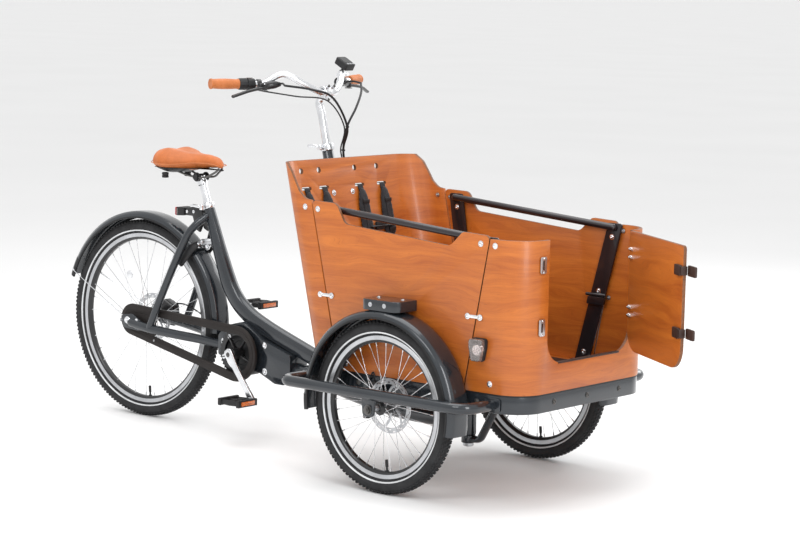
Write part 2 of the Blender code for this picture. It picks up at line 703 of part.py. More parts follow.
def motor(mats, parent):
    """Drive motor around the crank spindle."""
    half = MOTOR_WIDTH / 2
    bore = SPINDLE_RADIUS + FIT
    profile = [(bore, -half), (MOTOR_RADIUS * 0.55, -half), (MOTOR_RADIUS - 0.010, -half + 0.004),
               (MOTOR_RADIUS, -half + 0.014), (MOTOR_RADIUS, half - 0.014),
               (MOTOR_RADIUS - 0.010, half - 0.004), (MOTOR_RADIUS * 0.55, half), (bore, half)]
    bm = turned(profile, (BRACKET_X, 0, BRACKET_Z), 24)
    return finish("drive_motor", bm, mats["black_plastic"], parent)


def crank_tip(side):
    """Return the pedal axis of one side, in the XZ plane."""
    angle = CRANK_ANGLE if side < 0 else CRANK_ANGLE + pi
    return BRACKET_X + CRANK_LENGTH * cos(angle), BRACKET_Z + CRANK_LENGTH * sin(angle)


def crankset(mats, parent):
    """Spindle, chainring and both crank arms, turning as one."""
    centre = (BRACKET_X, 0, BRACKET_Z)
    spin = empty("crank_pivot", centre, parent)
    reach = CRANK_Y + CRANK_THICKNESS / 2
    spindle = rod((BRACKET_X, -reach, BRACKET_Z), (BRACKET_X, reach, BRACKET_Z), SPINDLE_RADIUS, 16)
    obj = finish("crankset", spindle, mats["polished_alloy"], spin)
    inner = inside_chain(CHAINRING_RADIUS, CHAIN_STEPS)
    ring = [(SPINDLE_RADIUS - 0.002, CHAIN_Y - 0.003), (inner, CHAIN_Y - 0.002),
            (inner, CHAIN_Y + 0.002), (SPINDLE_RADIUS - 0.002, CHAIN_Y + 0.003)]
    tool(obj, turned(ring, centre, 24), "UNION")
    for side in (-1, 1):
        tip = crank_tip(side)
        angle = atan2(tip[1] - BRACKET_Z, tip[0] - BRACKET_X)
        outline = arc((BRACKET_X, BRACKET_Z), 0.0185, angle + pi / 2, angle + 3 * pi / 2, 8)
        outline += arc(tip, 0.0130, angle - pi / 2, angle + pi / 2, 8)
        middle = side * CRANK_Y
        arm = prism(outline, middle - CRANK_THICKNESS / 2, middle + CRANK_THICKNESS / 2)
        tool(obj, arm, "UNION")
    return obj


def pedal(side, mats, parent):
    """Platform pedal on its own axle at the end of one crank."""
    name = "right" if side < 0 else "left"
    tip = crank_tip(side)
    start = CRANK_Y + CRANK_THICKNESS / 2 + FIT
    centre = (tip[0], side * (start + PEDAL_WIDTH / 2), tip[1])
    spin = empty(f"pedal_{name}_pivot", centre, parent)
    half = PEDAL_LENGTH / 2
    thick = PEDAL_THICKNESS / 2
    outline = rounded([(-half, -thick), (half, -thick), (half, thick), (-half, thick)], 0.006, 2)
    outline = [(centre[0] + p[0], centre[2] + p[1]) for p in outline]
    body = prism(outline, -start - 0.014 - PEDAL_WIDTH, -start - 0.014)
    obj = finish(f"pedal_{name}", sided(body, side), mats["black_plastic"], spin)
    stub = rod((tip[0], -start - 0.03, tip[1]), (tip[0], -start, tip[1]), 0.007)
    tool(obj, sided(stub, side), "UNION")
    return obj


def saddle_and_post(mats, parent):
    """Seatpost sliding in the seat tube, and the saddle on its head."""
    top = Vector((SEAT_TUBE_TOP[0], 0, SEAT_TUBE_TOP[1]))
    lean = (top - Vector((MAIN_TUBE_PATH[1][0], 0, MAIN_TUBE_PATH[1][1]))).normalized()
    slide = empty("seatpost_pivot", tuple(top), parent)
    head = top + lean * SEATPOST_HEIGHT
    foot = top - lean * SEATPOST_INSERT
    finish("seatpost", rod(foot, head, SEATPOST_RADIUS, 16), mats["polished_alloy"], slide)
    rear = SADDLE_NOSE_X - SADDLE_LENGTH
    points, radii = [], []
    for along, width, height in SADDLE_SHAPE:
        points.append((rear + SADDLE_LENGTH * along, 0.0, SADDLE_BOTTOM + SADDLE_HEIGHT * height / 2))
        radii.append((SADDLE_HEIGHT * height / 2, SADDLE_WIDTH * width / 2))
    obj = finish("saddle", sweep(points, radii, 16), mats["tan_leather"], slide)
    tool(obj, rod(foot, head, SEATPOST_RADIUS + GAP, 16), "DIFFERENCE")
    return obj


def quick_release(name, centre, reach, mats, parent):
    """Lever of a quick release, closed along the tube; its pivot is on the lever's boss."""
    spin = empty(f"{name}_pivot", centre, parent)
    bm = lathe([(0.008, -0.006), (0.008, 0.006)], centre, "Y", 12)
    obj = finish(name, bm, mats["polished_alloy"], spin)
    x, y, z = centre
    handle = sweep([(x, y - 0.002, z), (x - reach * 0.5, y - 0.006, z + 0.004),
                    (x - reach, y - 0.004, z + 0.002)], (0.0045, 0.003), 8)
    tool(obj, handle, "UNION")
    return obj


def rear_details(mats, parent):
    """Ring lock with its lever, tail lamp and seat clamp lever."""
    centre = Vector((0, 0, REAR_RADIUS))
    direction = Vector((0.250, 0, 0.585)) - centre
    direction.normalize()
    across = Vector((direction.z, 0, -direction.x))
    reach = REAR_RADIUS + MUDGUARD_CLEARANCE + MUDGUARD_WALL
    middle = centre + direction * (reach - 0.052)
    half, top = LOCK_HALF_WIDTH, 0.072
    outline = rounded([(half, -0.020), (half, top), (-half, top), (-half, -0.020)], 0.016, 3, closed=False)
    points = [middle + Vector((0, p[0], 0)) + direction * p[1] for p in outline]
    lock = finish("ring_lock", sweep(points, (0.013, 0.007), 8), mats["black_plastic"], parent)
    knob_at = points[0] + across * 0.020
    slide = empty("lock_lever_pivot", tuple(knob_at), parent)
    base = knob_at - across * 0.005
    knob = rod(base, base + across * 0.014, 0.006, 10)
    finish("lock_lever", knob, mats["steel"], slide)
    lamp = block((0.156, -0.026, 0.690), (0.196, 0.026, 0.716), 0.003)
    obj = finish("tail_lamp", lamp, mats["black_plastic"], parent)
    arm = sweep([(0.190, 0, 0.703), (0.235, 0, 0.700), (0.262, 0, 0.690)], (0.008, 0.012), 8)
    tool(obj, arm, "UNION")
    points = smooth_path([(x, 0, z) for x, z in MAIN_TUBE_PATH[:3]], 4)
    tool(obj, sweep(points, SEAT_TUBE_RADIUS + 0.002 + GAP, 16), "DIFFERENCE")
    top = SEAT_TUBE_TOP
    quick_release("seat_clamp_lever", (top[0] + 0.004, -SEAT_TUBE_RADIUS - 0.016, top[1] - 0.012), 0.045,
                  mats, parent)
    return lock


# ---------------------------------------------------------------- box
def rear_wall_x(z):
    """Outside of the leaning rear wall at a height."""
    return BOX_REAR_TOP + LEAN * (BOX_REAR_HEIGHT - z)


def plan_arc(centre, radius, start, end, steps=5):
    """Return points on an arc in plan; angles in degrees from +X."""
    return [(centre[0] + radius * cos(radians(start + (end - start) * k / steps)),
             centre[1] + radius * sin(radians(start + (end - start) * k / steps)))
            for k in range(steps + 1)]


def wrapped_sheet(path, inset, low, high, lean=0.0):
    """Bend a sheet along a plan path; the path is its outside and inset its inside."""
    bm = bmesh.new()
    rings = []
    for (ax, ay), (bx, by) in zip(path, inset):
        ring = []
        for x, y, z in ((ax, ay, low), (ax, ay, high), (bx, by, high), (bx, by, low)):
            ring.append(bm.verts.new((x + lean * (BOX_BOTTOM - z), y, z)))
        rings.append(ring)
    ring_faces(bm, rings)
    return bm


def u_path(front_x, end_x, corner, half, inset, toward):
    """Plan path of a U: along the right side, round two corners and back along the left."""
    radius = corner - inset
    y = half - inset
    centre_x = front_x - toward * corner
    if toward > 0:
        arcs = (plan_arc((centre_x, -half + corner), radius, -90, 0),
                plan_arc((centre_x, half - corner), radius, 0, 90))
    else:
        arcs = (plan_arc((centre_x, -half + corner), radius, 270, 180),
                plan_arc((centre_x, half - corner), radius, 180, 90))
    return [(end_x, -y), *arcs[0], *arcs[1], (end_x, y)]


def rear_panel(mats, parent):
    """Wrapped rear wall with two swept shoulders, hanging holes and strap slots."""
    bottom_x = rear_wall_x(BOX_BOTTOM)
    end = REAR_JOINT_X - PANEL_GAP / 2
    outer = u_path(bottom_x, end, BOX_REAR_CORNER, BOX_HALF_WIDTH, 0.0, -1)
    inner = u_path(bottom_x, end, BOX_REAR_CORNER, BOX_HALF_WIDTH, PANEL, -1)
    sheet = wrapped_sheet(outer, inner, BOX_BOTTOM, BOX_REAR_HEIGHT, LEAN)
    obj = finish("box_rear_panel", sheet, mats["plywood"], parent)
    high, low = BOX_REAR_HEIGHT, BOX_SIDE_HEIGHT
    start = rear_wall_x(high)
    end = rear_joint_x(low)
    curve = [(start + 0.020, high + 0.02), (start + 0.045, high - 0.004), (start + 0.066, high - 0.022),
             (start + 0.104, low + 0.022), (start + 0.128, low + 0.003), (end + 0.03, low - 0.004),
             (end + 0.03, high + 0.02)]
    tool(obj, prism(rounded(curve, [0, 0.03, 0.03, 0.03, 0.03, 0, 0], 3), -0.5, 0.5), "DIFFERENCE")
    for row in STRAP_ROWS:
        z = BOX_REAR_HEIGHT - 0.032
        x = rear_wall_x(z)
        tool(obj, rod((x - 0.03, row, z), (x + 0.03, row, z), HANG_HOLE_RADIUS, 10), "DIFFERENCE")
        z = BOX_REAR_HEIGHT - 0.085
        x = rear_wall_x(z)
        wide, tall = STRAP_SLOT
        slot = block((x - 0.03, row + 0.012 - wide / 2, z - tall / 2),
                     (x + 0.03, row + 0.012 + wide / 2, z + tall / 2))
        tool(obj, slot, "DIFFERENCE")
    return obj


def rear_joint_x(z):
    """Middle of the open joint behind the side panel."""
    return REAR_JOINT_X - LEAN * (z - BOX_BOTTOM)


def front_joint_x(z):
    """Middle of the open joint ahead of the side panel."""
    return FRONT_JOINT_X + tan(FRONT_JOINT_LEAN) * (z - BOX_BOTTOM)


def side_panel(side, mats, parent):
    """Flat side panel with the dip in its top edge."""
    name = "right" if side < 0 else "left"
    half_gap = PANEL_GAP / 2
    low, high = BOX_BOTTOM, BOX_SIDE_HEIGHT
    front_top = BOX_FRONT_HEIGHT + 0.012
    dip_rear = high - CUTOUT_DEPTH
    dip_front = front_top - 0.044
    outline = [
        (rear_joint_x(low) + half_gap, low), (rear_joint_x(high) + half_gap, high),
        (REAR_JOINT_X - 0.021, high - 0.002), (REAR_JOINT_X + 0.014, dip_rear),
        (FRONT_JOINT_X - 0.062, dip_front), (FRONT_JOINT_X - 0.017, front_top),
        (front_joint_x(front_top) - half_gap, front_top - 0.004), (front_joint_x(low) - half_gap, low),
    ]
    shape = rounded(outline, [0, 0.012, 0.025, 0.025, 0.030, 0.020, 0.015, 0], 3)
    outside = BOX_HALF_WIDTH
    bm = prism(shape, -outside, -outside + PANEL)
    return finish(f"box_side_{name}", sided(bm, side), mats["plywood"], parent)


def front_panel(mats, parent):
    """Wrapped front wall with the door opening."""
    rear = FRONT_JOINT_X - 0.03
    outer = u_path(BOX_FRONT, rear, BOX_FRONT_CORNER, BOX_HALF_WIDTH, 0.0, 1)
    inner = u_path(BOX_FRONT, rear, BOX_FRONT_CORNER, BOX_HALF_WIDTH, PANEL, 1)
    obj = finish("box_front_panel", wrapped_sheet(outer, inner, BOX_BOTTOM, BOX_FRONT_HEIGHT),
                 mats["plywood"], parent)
    half_gap = PANEL_GAP / 2
    low, high = BOX_BOTTOM - 0.05, BOX_FRONT_HEIGHT + 0.05
    wedge = [(rear - 0.05, low), (front_joint_x(low) + half_gap, low),
             (front_joint_x(high) + half_gap, high), (rear - 0.05, high)]
    tool(obj, prism(wedge, -0.5, 0.5), "DIFFERENCE")
    half = DOOR_HALF_OPENING
    opening = rounded([(-half, DOOR_SILL), (half, DOOR_SILL), (half, high), (-half, high)],
                      [DOOR_CORNER, DOOR_CORNER, 0, 0], 5)
    tool(obj, prism(opening, BOX_FRONT - 0.05, BOX_FRONT + 0.05, "X"), "DIFFERENCE")
    return obj


def floor_outline(inset):
    """Plan of the box floor inside the walls, drawn in by inset."""
    rear_x = rear_wall_x(BOX_BOTTOM) + PANEL + inset
    front_x = BOX_FRONT - PANEL - inset
    half = BOX_HALF_WIDTH - PANEL - inset
    corner = BOX_FRONT_CORNER - PANEL - inset
    points = [(rear_x, -half), (front_x, -half), (front_x, half), (rear_x, half)]
    back = BOX_REAR_CORNER - PANEL - inset
    return rounded(points, [back, corner, corner, back], 5)


def floor(mats, parent):
    """Plywood floor on the chassis band, between the walls."""
    low = BOX_BOTTOM
    bm = prism(floor_outline(GAP * 3), low, low + FLOOR_THICKNESS, "Z")
    return finish("box_floor", bm, mats["plywood"], parent)


def chassis_band(mats, parent):
    """Steel band under the walls, all the way round the box."""
    def outline(inset):
        rear_x = rear_wall_x(BOX_BOTTOM) + 0.002 + inset
        front_x = BOX_FRONT - 0.002 - inset
        half = BAND_Y - inset
        points = [(rear_x, -half), (front_x, -half), (front_x, half), (rear_x, half)]
        radii = [BOX_REAR_CORNER - 0.002 - inset, BOX_FRONT_CORNER - 0.002 - inset]
        return rounded(points, [radii[0], radii[1], radii[1], radii[0]], 5)

    bm = bmesh.new()
    rings = []
    for outside, inside in zip(outline(0.0), outline(BAND_THICKNESS)):
        ring = []
        for point, z in ((outside, BAND_BOTTOM), (outside, BOX_BOTTOM - GAP * 2),
                         (inside, BOX_BOTTOM - GAP * 2), (inside, BAND_BOTTOM)):
            ring.append(bm.verts.new((point[0], point[1], z)))
        rings.append(ring)
    ring_faces(bm, rings, closed_path=True)
    return finish("chassis_band", bm, mats["frame_paint"], parent)


def kingpin_bridge(mats, parent):
    """Cross beam between the side rails that carries the kingpin and the inner axle ends."""
    inside = BAND_Y - BAND_THICKNESS - GAP
    top = BOX_BOTTOM - GAP * 2
    low = HEAD_TUBE_TOP + 0.012
    half = BRIDGE_HALF_X
    bm = block((KINGPIN_X - half - KINGPIN_OFFSET, -inside, low + 0.030),
               (KINGPIN_X + half, inside, top), 0.004)
    obj = finish("kingpin_bridge", bm, mats["frame_paint"], parent)
    tool(obj, rod((KINGPIN_X, 0, HEAD_TUBE_TOP + FIT), (KINGPIN_X, 0, low + 0.05), 0.024), "UNION")
    for side in (-1, 1):
        plate = rounded([(WHEELBASE - 0.026, FRONT_RADIUS - 0.024), (WHEELBASE + 0.026, FRONT_RADIUS - 0.024),
                         (WHEELBASE + 0.030, top - 0.02), (WHEELBASE - 0.030, top - 0.02)], 0.008, 2)
        outer = side * (inside - 0.002)
        tool(obj, prism(plate, min(outer, outer - side * 0.010), max(outer, outer - side * 0.010)), "UNION")
    brace = [(KINGPIN_X, 0, HEAD_TUBE_BOTTOM - 0.015), (KINGPIN_X + 0.045, 0, HEAD_TUBE_BOTTOM - 0.012),
             (KINGPIN_X + 0.105, 0, low + 0.01), (KINGPIN_X + 0.105, 0, top - 0.012)]
    tool(obj, sweep(rounded(brace, 0.02, 3, closed=False), (0.011, 0.016), 8), "UNION")
    arm = block((KINGPIN_X + half - 0.01, -0.016, top - 0.026), (KINGPIN_X + 0.112, 0.016, top), 0.0)
    tool(obj, arm, "UNION")
    eye = rod((KINGPIN_X, 0, HEAD_TUBE_BOTTOM - 0.026), (KINGPIN_X, 0, HEAD_TUBE_BOTTOM - FIT), 0.022)
    tool(obj, eye, "UNION")
    hole = rod((KINGPIN_X, 0, 0.0), (KINGPIN_X, 0, KINGPIN_TOP + GAP), KINGPIN_RADIUS + 2 * GAP)
    tool(obj, hole, "DIFFERENCE")
    axle = rod((WHEELBASE, -0.5, FRONT_RADIUS), (WHEELBASE, 0.5, FRONT_RADIUS), AXLE_RADIUS + GAP)
    tool(obj, axle, "DIFFERENCE")
    return obj


def kingpin(mats, parent):
    """Steering pin with its cap."""
    foot = HEAD_TUBE_BOTTOM - 0.026
    profile = [(0.016, foot - 0.010), (0.016, foot - GAP), (KINGPIN_RADIUS, foot - GAP),
               (KINGPIN_RADIUS, KINGPIN_TOP)]
    bm = lathe(profile, (KINGPIN_X, 0, 0), "Z", 12)
    return finish("kingpin", bm, mats["steel"], parent)


def guard_tube(side, mats, parent):
    """Bent tube outside a front wheel, with the plate that holds the axle's outer end."""
    name = "right" if side < 0 else "left"
    reach = FRONT_RADIUS + MUDGUARD_CLEARANCE + MUDGUARD_WALL + GUARD_CLEARANCE + GUARD_RADIUS
    rear, front = WHEELBASE - reach, WHEELBASE + reach + GUARD_NOSE
    route = [(rear, -BAND_Y - GAP, GUARD_Z), (rear, -GUARD_Y + 0.022, GUARD_Z),
             (rear + 0.022, -GUARD_Y, GUARD_Z), (front, -GUARD_Y, GUARD_Z),
             (front, -BAND_Y - GAP, GUARD_Z)]
    path = rounded(route, [0, 0.030, 0.030, 0.050, 0], 4, closed=False)
    obj = finish(f"guard_tube_{name}", sided(sweep(path, GUARD_RADIUS, 10), side), mats["frame_paint"],
                 parent)
    plate = rounded([(WHEELBASE - 0.024, GUARD_Z - 0.004), (WHEELBASE - 0.020, FRONT_RADIUS - 0.020),
                     (WHEELBASE + 0.020, FRONT_RADIUS - 0.020), (WHEELBASE + 0.024, GUARD_Z - 0.004)],
                    [0, 0.014, 0.014, 0], 3)
    tool(obj, sided(prism(plate, -GUARD_Y - 0.003, -GUARD_Y + 0.005), side), "UNION")
    hole = rod((WHEELBASE, -0.6, FRONT_RADIUS), (WHEELBASE, 0.6, FRONT_RADIUS), AXLE_RADIUS + GAP)
    tool(obj, hole, "DIFFERENCE")
    return obj


def front_mudguard(side, mats, parent):
    """Mudguard over a front wheel with the block that ties it to the box."""
    name = "right" if side < 0 else "left"
    centre = (WHEELBASE, -TRACK / 2, FRONT_RADIUS)
    bm = mudguard_mesh(centre, FRONT_RADIUS, radians(188), radians(-10), MUDGUARD_WIDTH, 18)
    obj = finish(f"front_mudguard_{name}", sided(bm, side), mats["frame_paint"], parent)
    top = FRONT_RADIUS * 2 + MUDGUARD_CLEARANCE + MUDGUARD_WALL
    low = top - MUDGUARD_WALL / 2
    half = 0.070
    outline = rounded([(WHEELBASE - half, -0.408), (WHEELBASE + half, -0.408),
                       (WHEELBASE + half, -BOX_HALF_WIDTH - GAP), (WHEELBASE - half, -BOX_HALF_WIDTH - GAP)],
                      [0.03, 0.03, 0, 0], 3)
    tool(obj, sided(prism(outline, low, top + 0.030, "Z"), side), "UNION")
    return obj


# ---------------------------------------------------------------- door
def door(mats, parent):
    """Door, swung open about the hinge line on the left, and its two latches."""
    hinge_x = BOX_FRONT + 0.006
    hinge_y = DOOR_HALF_OPENING
    pivot = empty("door_pivot", (hinge_x, hinge_y, DOOR_SILL), parent)
    free = -DOOR_HALF_OPENING + DOOR_FREE_CLEARANCE
    hung = hinge_y - DOOR_CLEARANCE
    low, high = DOOR_SILL + DOOR_CLEARANCE, BOX_FRONT_HEIGHT
    outline = rounded([(free, low), (hung, low), (hung, high), (free, high)],
                      [DOOR_CORNER - DOOR_CLEARANCE, DOOR_CORNER - DOOR_CLEARANCE, 0.008, 0.012], 5)
    bm = prism(outline, BOX_FRONT - PANEL, BOX_FRONT, "X")
    turn = Matrix.Rotation(DOOR_OPEN, 4, "Z")
    about = Matrix.Translation((hinge_x, hinge_y, 0)) @ turn @ Matrix.Translation((-hinge_x, -hinge_y, 0))
    bmesh.ops.transform(bm, matrix=about, verts=bm.verts)
    finish("door", bm, mats["plywood"], pivot)
    for name, height in zip(("latch_upper", "latch_lower"), LATCH_HEIGHTS):
        knuckle = Vector((BOX_FRONT + 0.005, free - 0.0005, height))
        strap = block((knuckle.x - 0.0035, knuckle.y - LATCH_LENGTH, height - LATCH_HEIGHT / 2),
                      (knuckle.x + 0.0035, knuckle.y + 0.003, height + LATCH_HEIGHT / 2), 0.0010)
        bmesh.ops.transform(strap, matrix=about, verts=strap.verts)
        where = about @ knuckle
        spin = empty(f"{name}_pivot", tuple(where), pivot)
        finish(name, strap, mats["black_plastic"], spin)


# ---------------------------------------------------------------- inside and on the box
def bench(mats, parent):
    """Children's bench across the rear of the box, hollow below for the battery."""
    inside = BOX_HALF_WIDTH - PANEL - 0.002
    seat_z = BOX_BOTTOM + FLOOR_THICKNESS + 0.225
    front = REAR_JOINT_X + 0.154
    floor_z = BOX_BOTTOM + FLOOR_THICKNESS + GAP
    rear = rear_wall_x(seat_z) + PANEL + 0.004
    deck = block((rear, -inside + 0.075, seat_z - 0.012), (front, inside - 0.075, seat_z), 0.002)
    obj = finish("bench", deck, mats["plywood"], parent)
    board = block((front - 0.030, -inside + 0.075, floor_z), (front - 0.018, inside - 0.075, seat_z - 0.002))
    tool(obj, board, "UNION")
    floor_rear = rear_wall_x(BOX_BOTTOM) + PANEL + 0.090
    pack = block((floor_rear, -0.105, floor_z), (floor_rear + 0.100, 0.105, floor_z + 0.090), 0.008)
    finish("battery", pack, mats["black_plastic"], parent)


def harness(side, mats, parent):
    """One child's harness hanging on the rear wall: two pads joined by a strap."""
    name = "right" if side < 0 else "left"
    rows = STRAP_ROWS[:2] if side < 0 else STRAP_ROWS[2:]
    thick = 0.010
    high, low = BOX_REAR_HEIGHT - 0.115, BOX_REAR_HEIGHT - 0.245
    parts = []
    for row in rows:
        outline = rounded([(row - 0.016, low), (row + 0.040, low), (row + 0.032, high), (row - 0.008, high)],
                          0.012, 2)
        bm = prism(outline, 0.0, thick, "X")
        parts.append(bm)
    link = block((0.0, rows[0] + 0.01, low + 0.02), (thick * 0.6, rows[1] + 0.01, low + 0.05))
    parts.append(link)
    objects = []
    for bm in parts:
        for vert in bm.verts:
            vert.co.x += rear_wall_x(vert.co.z) + PANEL * 1.03 + 0.003
        objects.append(bm)
    obj = finish(f"harness_{name}", objects[0], mats["black_webbing"], parent)
    for bm in objects[1:]:
        tool(obj, bm, "UNION")
    return obj


def side_rail(side, mats, parent):
    """Hand rail along one side with the flat posts that carry it down to the floor."""
    name = "right" if side < 0 else "left"
    inside = BOX_HALF_WIDTH - PANEL - 0.004
    y = -inside + 0.012
    start = Vector((REAR_JOINT_X - 0.061, y, 0.800))
    end = Vector((FRONT_JOINT_X + 0.073, y, 0.756))
    obj = finish(f"rail_{name}", sided(sweep([start, end], 0.0105), side), mats["frame_paint"], parent)
    for foot_x, head in ((REAR_JOINT_X + 0.014, start), (FRONT_JOINT_X - 0.032, end)):
        foot_z = BOX_BOTTOM + FLOOR_THICKNESS + GAP
        wide = 0.026
        direction = (head.x - foot_x) / (head.z - foot_z)
        top_z = head.z + 0.012
        outline = [(foot_x - wide, foot_z), (foot_x + wide, foot_z),
                   (foot_x + wide + direction * (top_z - foot_z), top_z),
                   (foot_x - wide + direction * (top_z - foot_z), top_z)]
        tool(obj, sided(prism(outline, -inside, -inside + 0.006), side), "UNION")
    return obj


def front_lamp(mats, parent):
    """Clear front lamp at the right front corner, beside the panel joint."""
    y = -BOX_HALF_WIDTH - GAP
    bm = block((FRONT_JOINT_X + 0.033, y - 0.030, 0.418), (FRONT_JOINT_X + 0.083, y, 0.484), 0.006)
    return finish("front_lamp", bm, mats["clear_lens"], parent)


# ---------------------------------------------------------------- steering column and bar
def column_x(z):
    """Axis of the steering column, parallel to the rear wall."""
    return rear_wall_x(z) - COLUMN_TO_WALL - COLUMN_RADIUS


def steering_column(mats, parent):
    """Tube fixed outside the rear wall by two brackets."""
    foot = 0.560
    obj = finish("steering_column",
                 rod((column_x(foot), 0, foot), (column_x(COLUMN_TOP), 0, COLUMN_TOP), COLUMN_RADIUS, 16),
                 mats["frame_paint"], parent)
    for z in (0.600, 0.860):
        x = rear_wall_x(z)
        outline = [(column_x(z) + 0.004, z - 0.014), (x + 0.014 * LEAN - GAP * 2, z - 0.014),
                   (x - 0.014 * LEAN - GAP * 2, z + 0.014), (column_x(z) + 0.004, z + 0.014)]
        tool(obj, prism(outline, -0.022, 0.022), "UNION")
    bore = rod((column_x(COLUMN_TOP - 0.22), 0, COLUMN_TOP - 0.22),
               (column_x(COLUMN_TOP + 0.02), 0, COLUMN_TOP + 0.02), STEM_RADIUS + FIT, 16)
    tool(obj, bore, "DIFFERENCE")
    return obj


def along_bar(distance_from_end, side):
    """Point on the straight grip part of the bar, measured from its end."""
    end = Vector((GRIP_END[0], side * GRIP_END[1], GRIP_END[2]))
    inner = Vector((GRIP_INNER[0], side * GRIP_INNER[1], GRIP_INNER[2]))
    return end + (inner - end).normalized() * distance_from_end


def bar_half():
    """Points of the handlebar from its clamp to the right-hand end."""
    x, z = BAR_CLAMP
    curve = [(x, 0, z), (x, -0.035, z), (x - 0.022, -0.085, z + 0.026), (x - 0.062, -0.135, z + BAR_RISE),
             along_bar(0.172, -1), along_bar(0.156, -1)]
    return smooth_path(curve, 2) + [along_bar(0.0, -1)]


def sleeve(start, end, outer, inner, sides=16):
    """Hollow round sleeve between two points."""
    first, last = Vector(start), Vector(end)
    tangent = (last - first).normalized()
    normal = (Vector((0, 0, 1)) - tangent * tangent.z).normalized()
    across = tangent.cross(normal)
    bm = bmesh.new()
    rings = []
    for k in range(sides):
        turn = 2 * pi * k / sides
        radial = normal * cos(turn) + across * sin(turn)
        rings.append([bm.verts.new(first + radial * inner), bm.verts.new(first + radial * outer),
                      bm.verts.new(last + radial * outer), bm.verts.new(last + radial * inner)])
    ring_faces(bm, rings, closed_path=True)
    return bm


def handlebar_group(mats, parent):
    """Stem, bar, grips, shifter, brake levers, display and cables: they rise together."""
    base = (column_x(COLUMN_TOP), 0, COLUMN_TOP)
    slide = empty("stem_pivot", base, parent)
    foot = COLUMN_TOP - 0.17
    x, z = BAR_CLAMP
    route = [(column_x(foot), 0, foot), (column_x(COLUMN_TOP + 0.095), 0, COLUMN_TOP + 0.095),
             (x - 0.036, 0, z - 0.030), (x, 0, z)]
    stem = sweep(rounded(route, 0.030, 3, closed=False), STEM_RADIUS)
    obj = finish("stem", stem, mats["polished_alloy"], slide)
    tool(obj, rod((x, -0.024, z), (x, 0.024, z), 0.019), "UNION")
    right = bar_half()
    left = [(point.x, -point.y, point.z) for point in right[1:]]
    path = list(reversed(left)) + right
    tool(obj, sweep(path, BAR_RADIUS + GAP, 10), "DIFFERENCE")
    finish("handlebar", sweep(path, BAR_RADIUS, 10), mats["polished_alloy"], slide)
    bore = BAR_RADIUS + FIT
    finish("grip_right", sleeve(along_bar(-0.004, -1), along_bar(0.088, -1), GRIP_RADIUS, bore),
           mats["tan_leather"], slide)
    finish("grip_left", sleeve(along_bar(-0.004, 1), along_bar(0.096, 1), GRIP_RADIUS, bore),
           mats["tan_leather"], slide)
    return slide



def bar_fittings(mats, slide):
    """Twist shifter, brake levers and display on the bar."""
    bore = BAR_RADIUS + FIT
    start = along_bar(0.088 + GAP * 2, -1)
    end = along_bar(0.088 + SHIFTER_LENGTH, -1)
    spin = empty("shifter_pivot", tuple((start + end) / 2), slide)
    finish("twist_shifter", sleeve(start, end, 0.0190, bore), mats["black_plastic"], spin)
    for side, name in ((-1, "right"), (1, "left")):
        base = along_bar(0.150, side)
        pivot_at = base + Vector((0.030, side * -0.004, -0.010))
        spin = empty(f"brake_lever_{name}_pivot", tuple(pivot_at), slide)
        boss = lathe([(0.008, -0.007), (0.008, 0.007)], pivot_at, "Z", 12)
        lever = finish(f"brake_lever_{name}", boss, mats["black_steel"], spin)
        tip = along_bar(0.030, side) + Vector((0.052, 0, -0.036))
        middle = along_bar(0.090, side) + Vector((0.050, 0, -0.018))
        blade = sweep(smooth_path([pivot_at, middle, tip], 3), (0.0055, 0.0045), 8)
        tool(lever, blade, "UNION")
    hold = Vector((BAR_CLAMP[0] - 0.078, 0.160, BAR_CLAMP[1] + BAR_RISE + BAR_RADIUS + 0.005))
    face = block(hold + Vector((-0.026, -0.018, 0.0)), hold + Vector((0.026, 0.026, 0.026)), 0.004)
    bmesh.ops.rotate(face, verts=face.verts, cent=hold, matrix=Matrix.Rotation(radians(28.0), 3, "Y"))
    finish("display", face, mats["black_plastic"], slide)


def control_cables(mats, slide):
    """Brake hoses and gear cable from both ends of the bar, meeting ahead of the stem."""
    x = BAR_CLAMP[0]
    lead = [CABLE_JOIN, (x + 0.056, 0.018, 0.950), (x + 0.058, 0.029, 0.880), CABLE_END]
    right = [(x - 0.015, -0.178, 1.146), (x + 0.045, -0.120, 1.135), (x + 0.078, -0.060, 1.110), *lead]
    left = [(x - 0.015, 0.178, 1.146), (x + 0.045, 0.110, 1.120), (x + 0.076, 0.050, 1.075), *lead]
    obj = finish("control_cables", sweep(smooth_path(right, 3), CABLE_RADIUS * 1.5, 6),
                 mats["rubber"], slide)
    tool(obj, sweep(smooth_path(left[:4], 3), CABLE_RADIUS * 1.3, 6), "UNION")
    return obj


# ---------------------------------------------------------------- assembly
def rear_assembly(mats, root):
    """Everything behind the steering pivot."""
    main_tube(mats, root)
    lower_tube(mats, root)
    for side in (-1, 1):
        stays(side, mats, root)
    rear_wheel(mats, root)
    rear_mudguard(mats, root)
    chain_drive(mats, root)
    motor(mats, root)
    crankset(mats, root)
    crank = bpy.data.objects["crank_pivot"]
    for side in (-1, 1):
        pedal(side, mats, crank)
    saddle_and_post(mats, root)
    rear_details(mats, root)


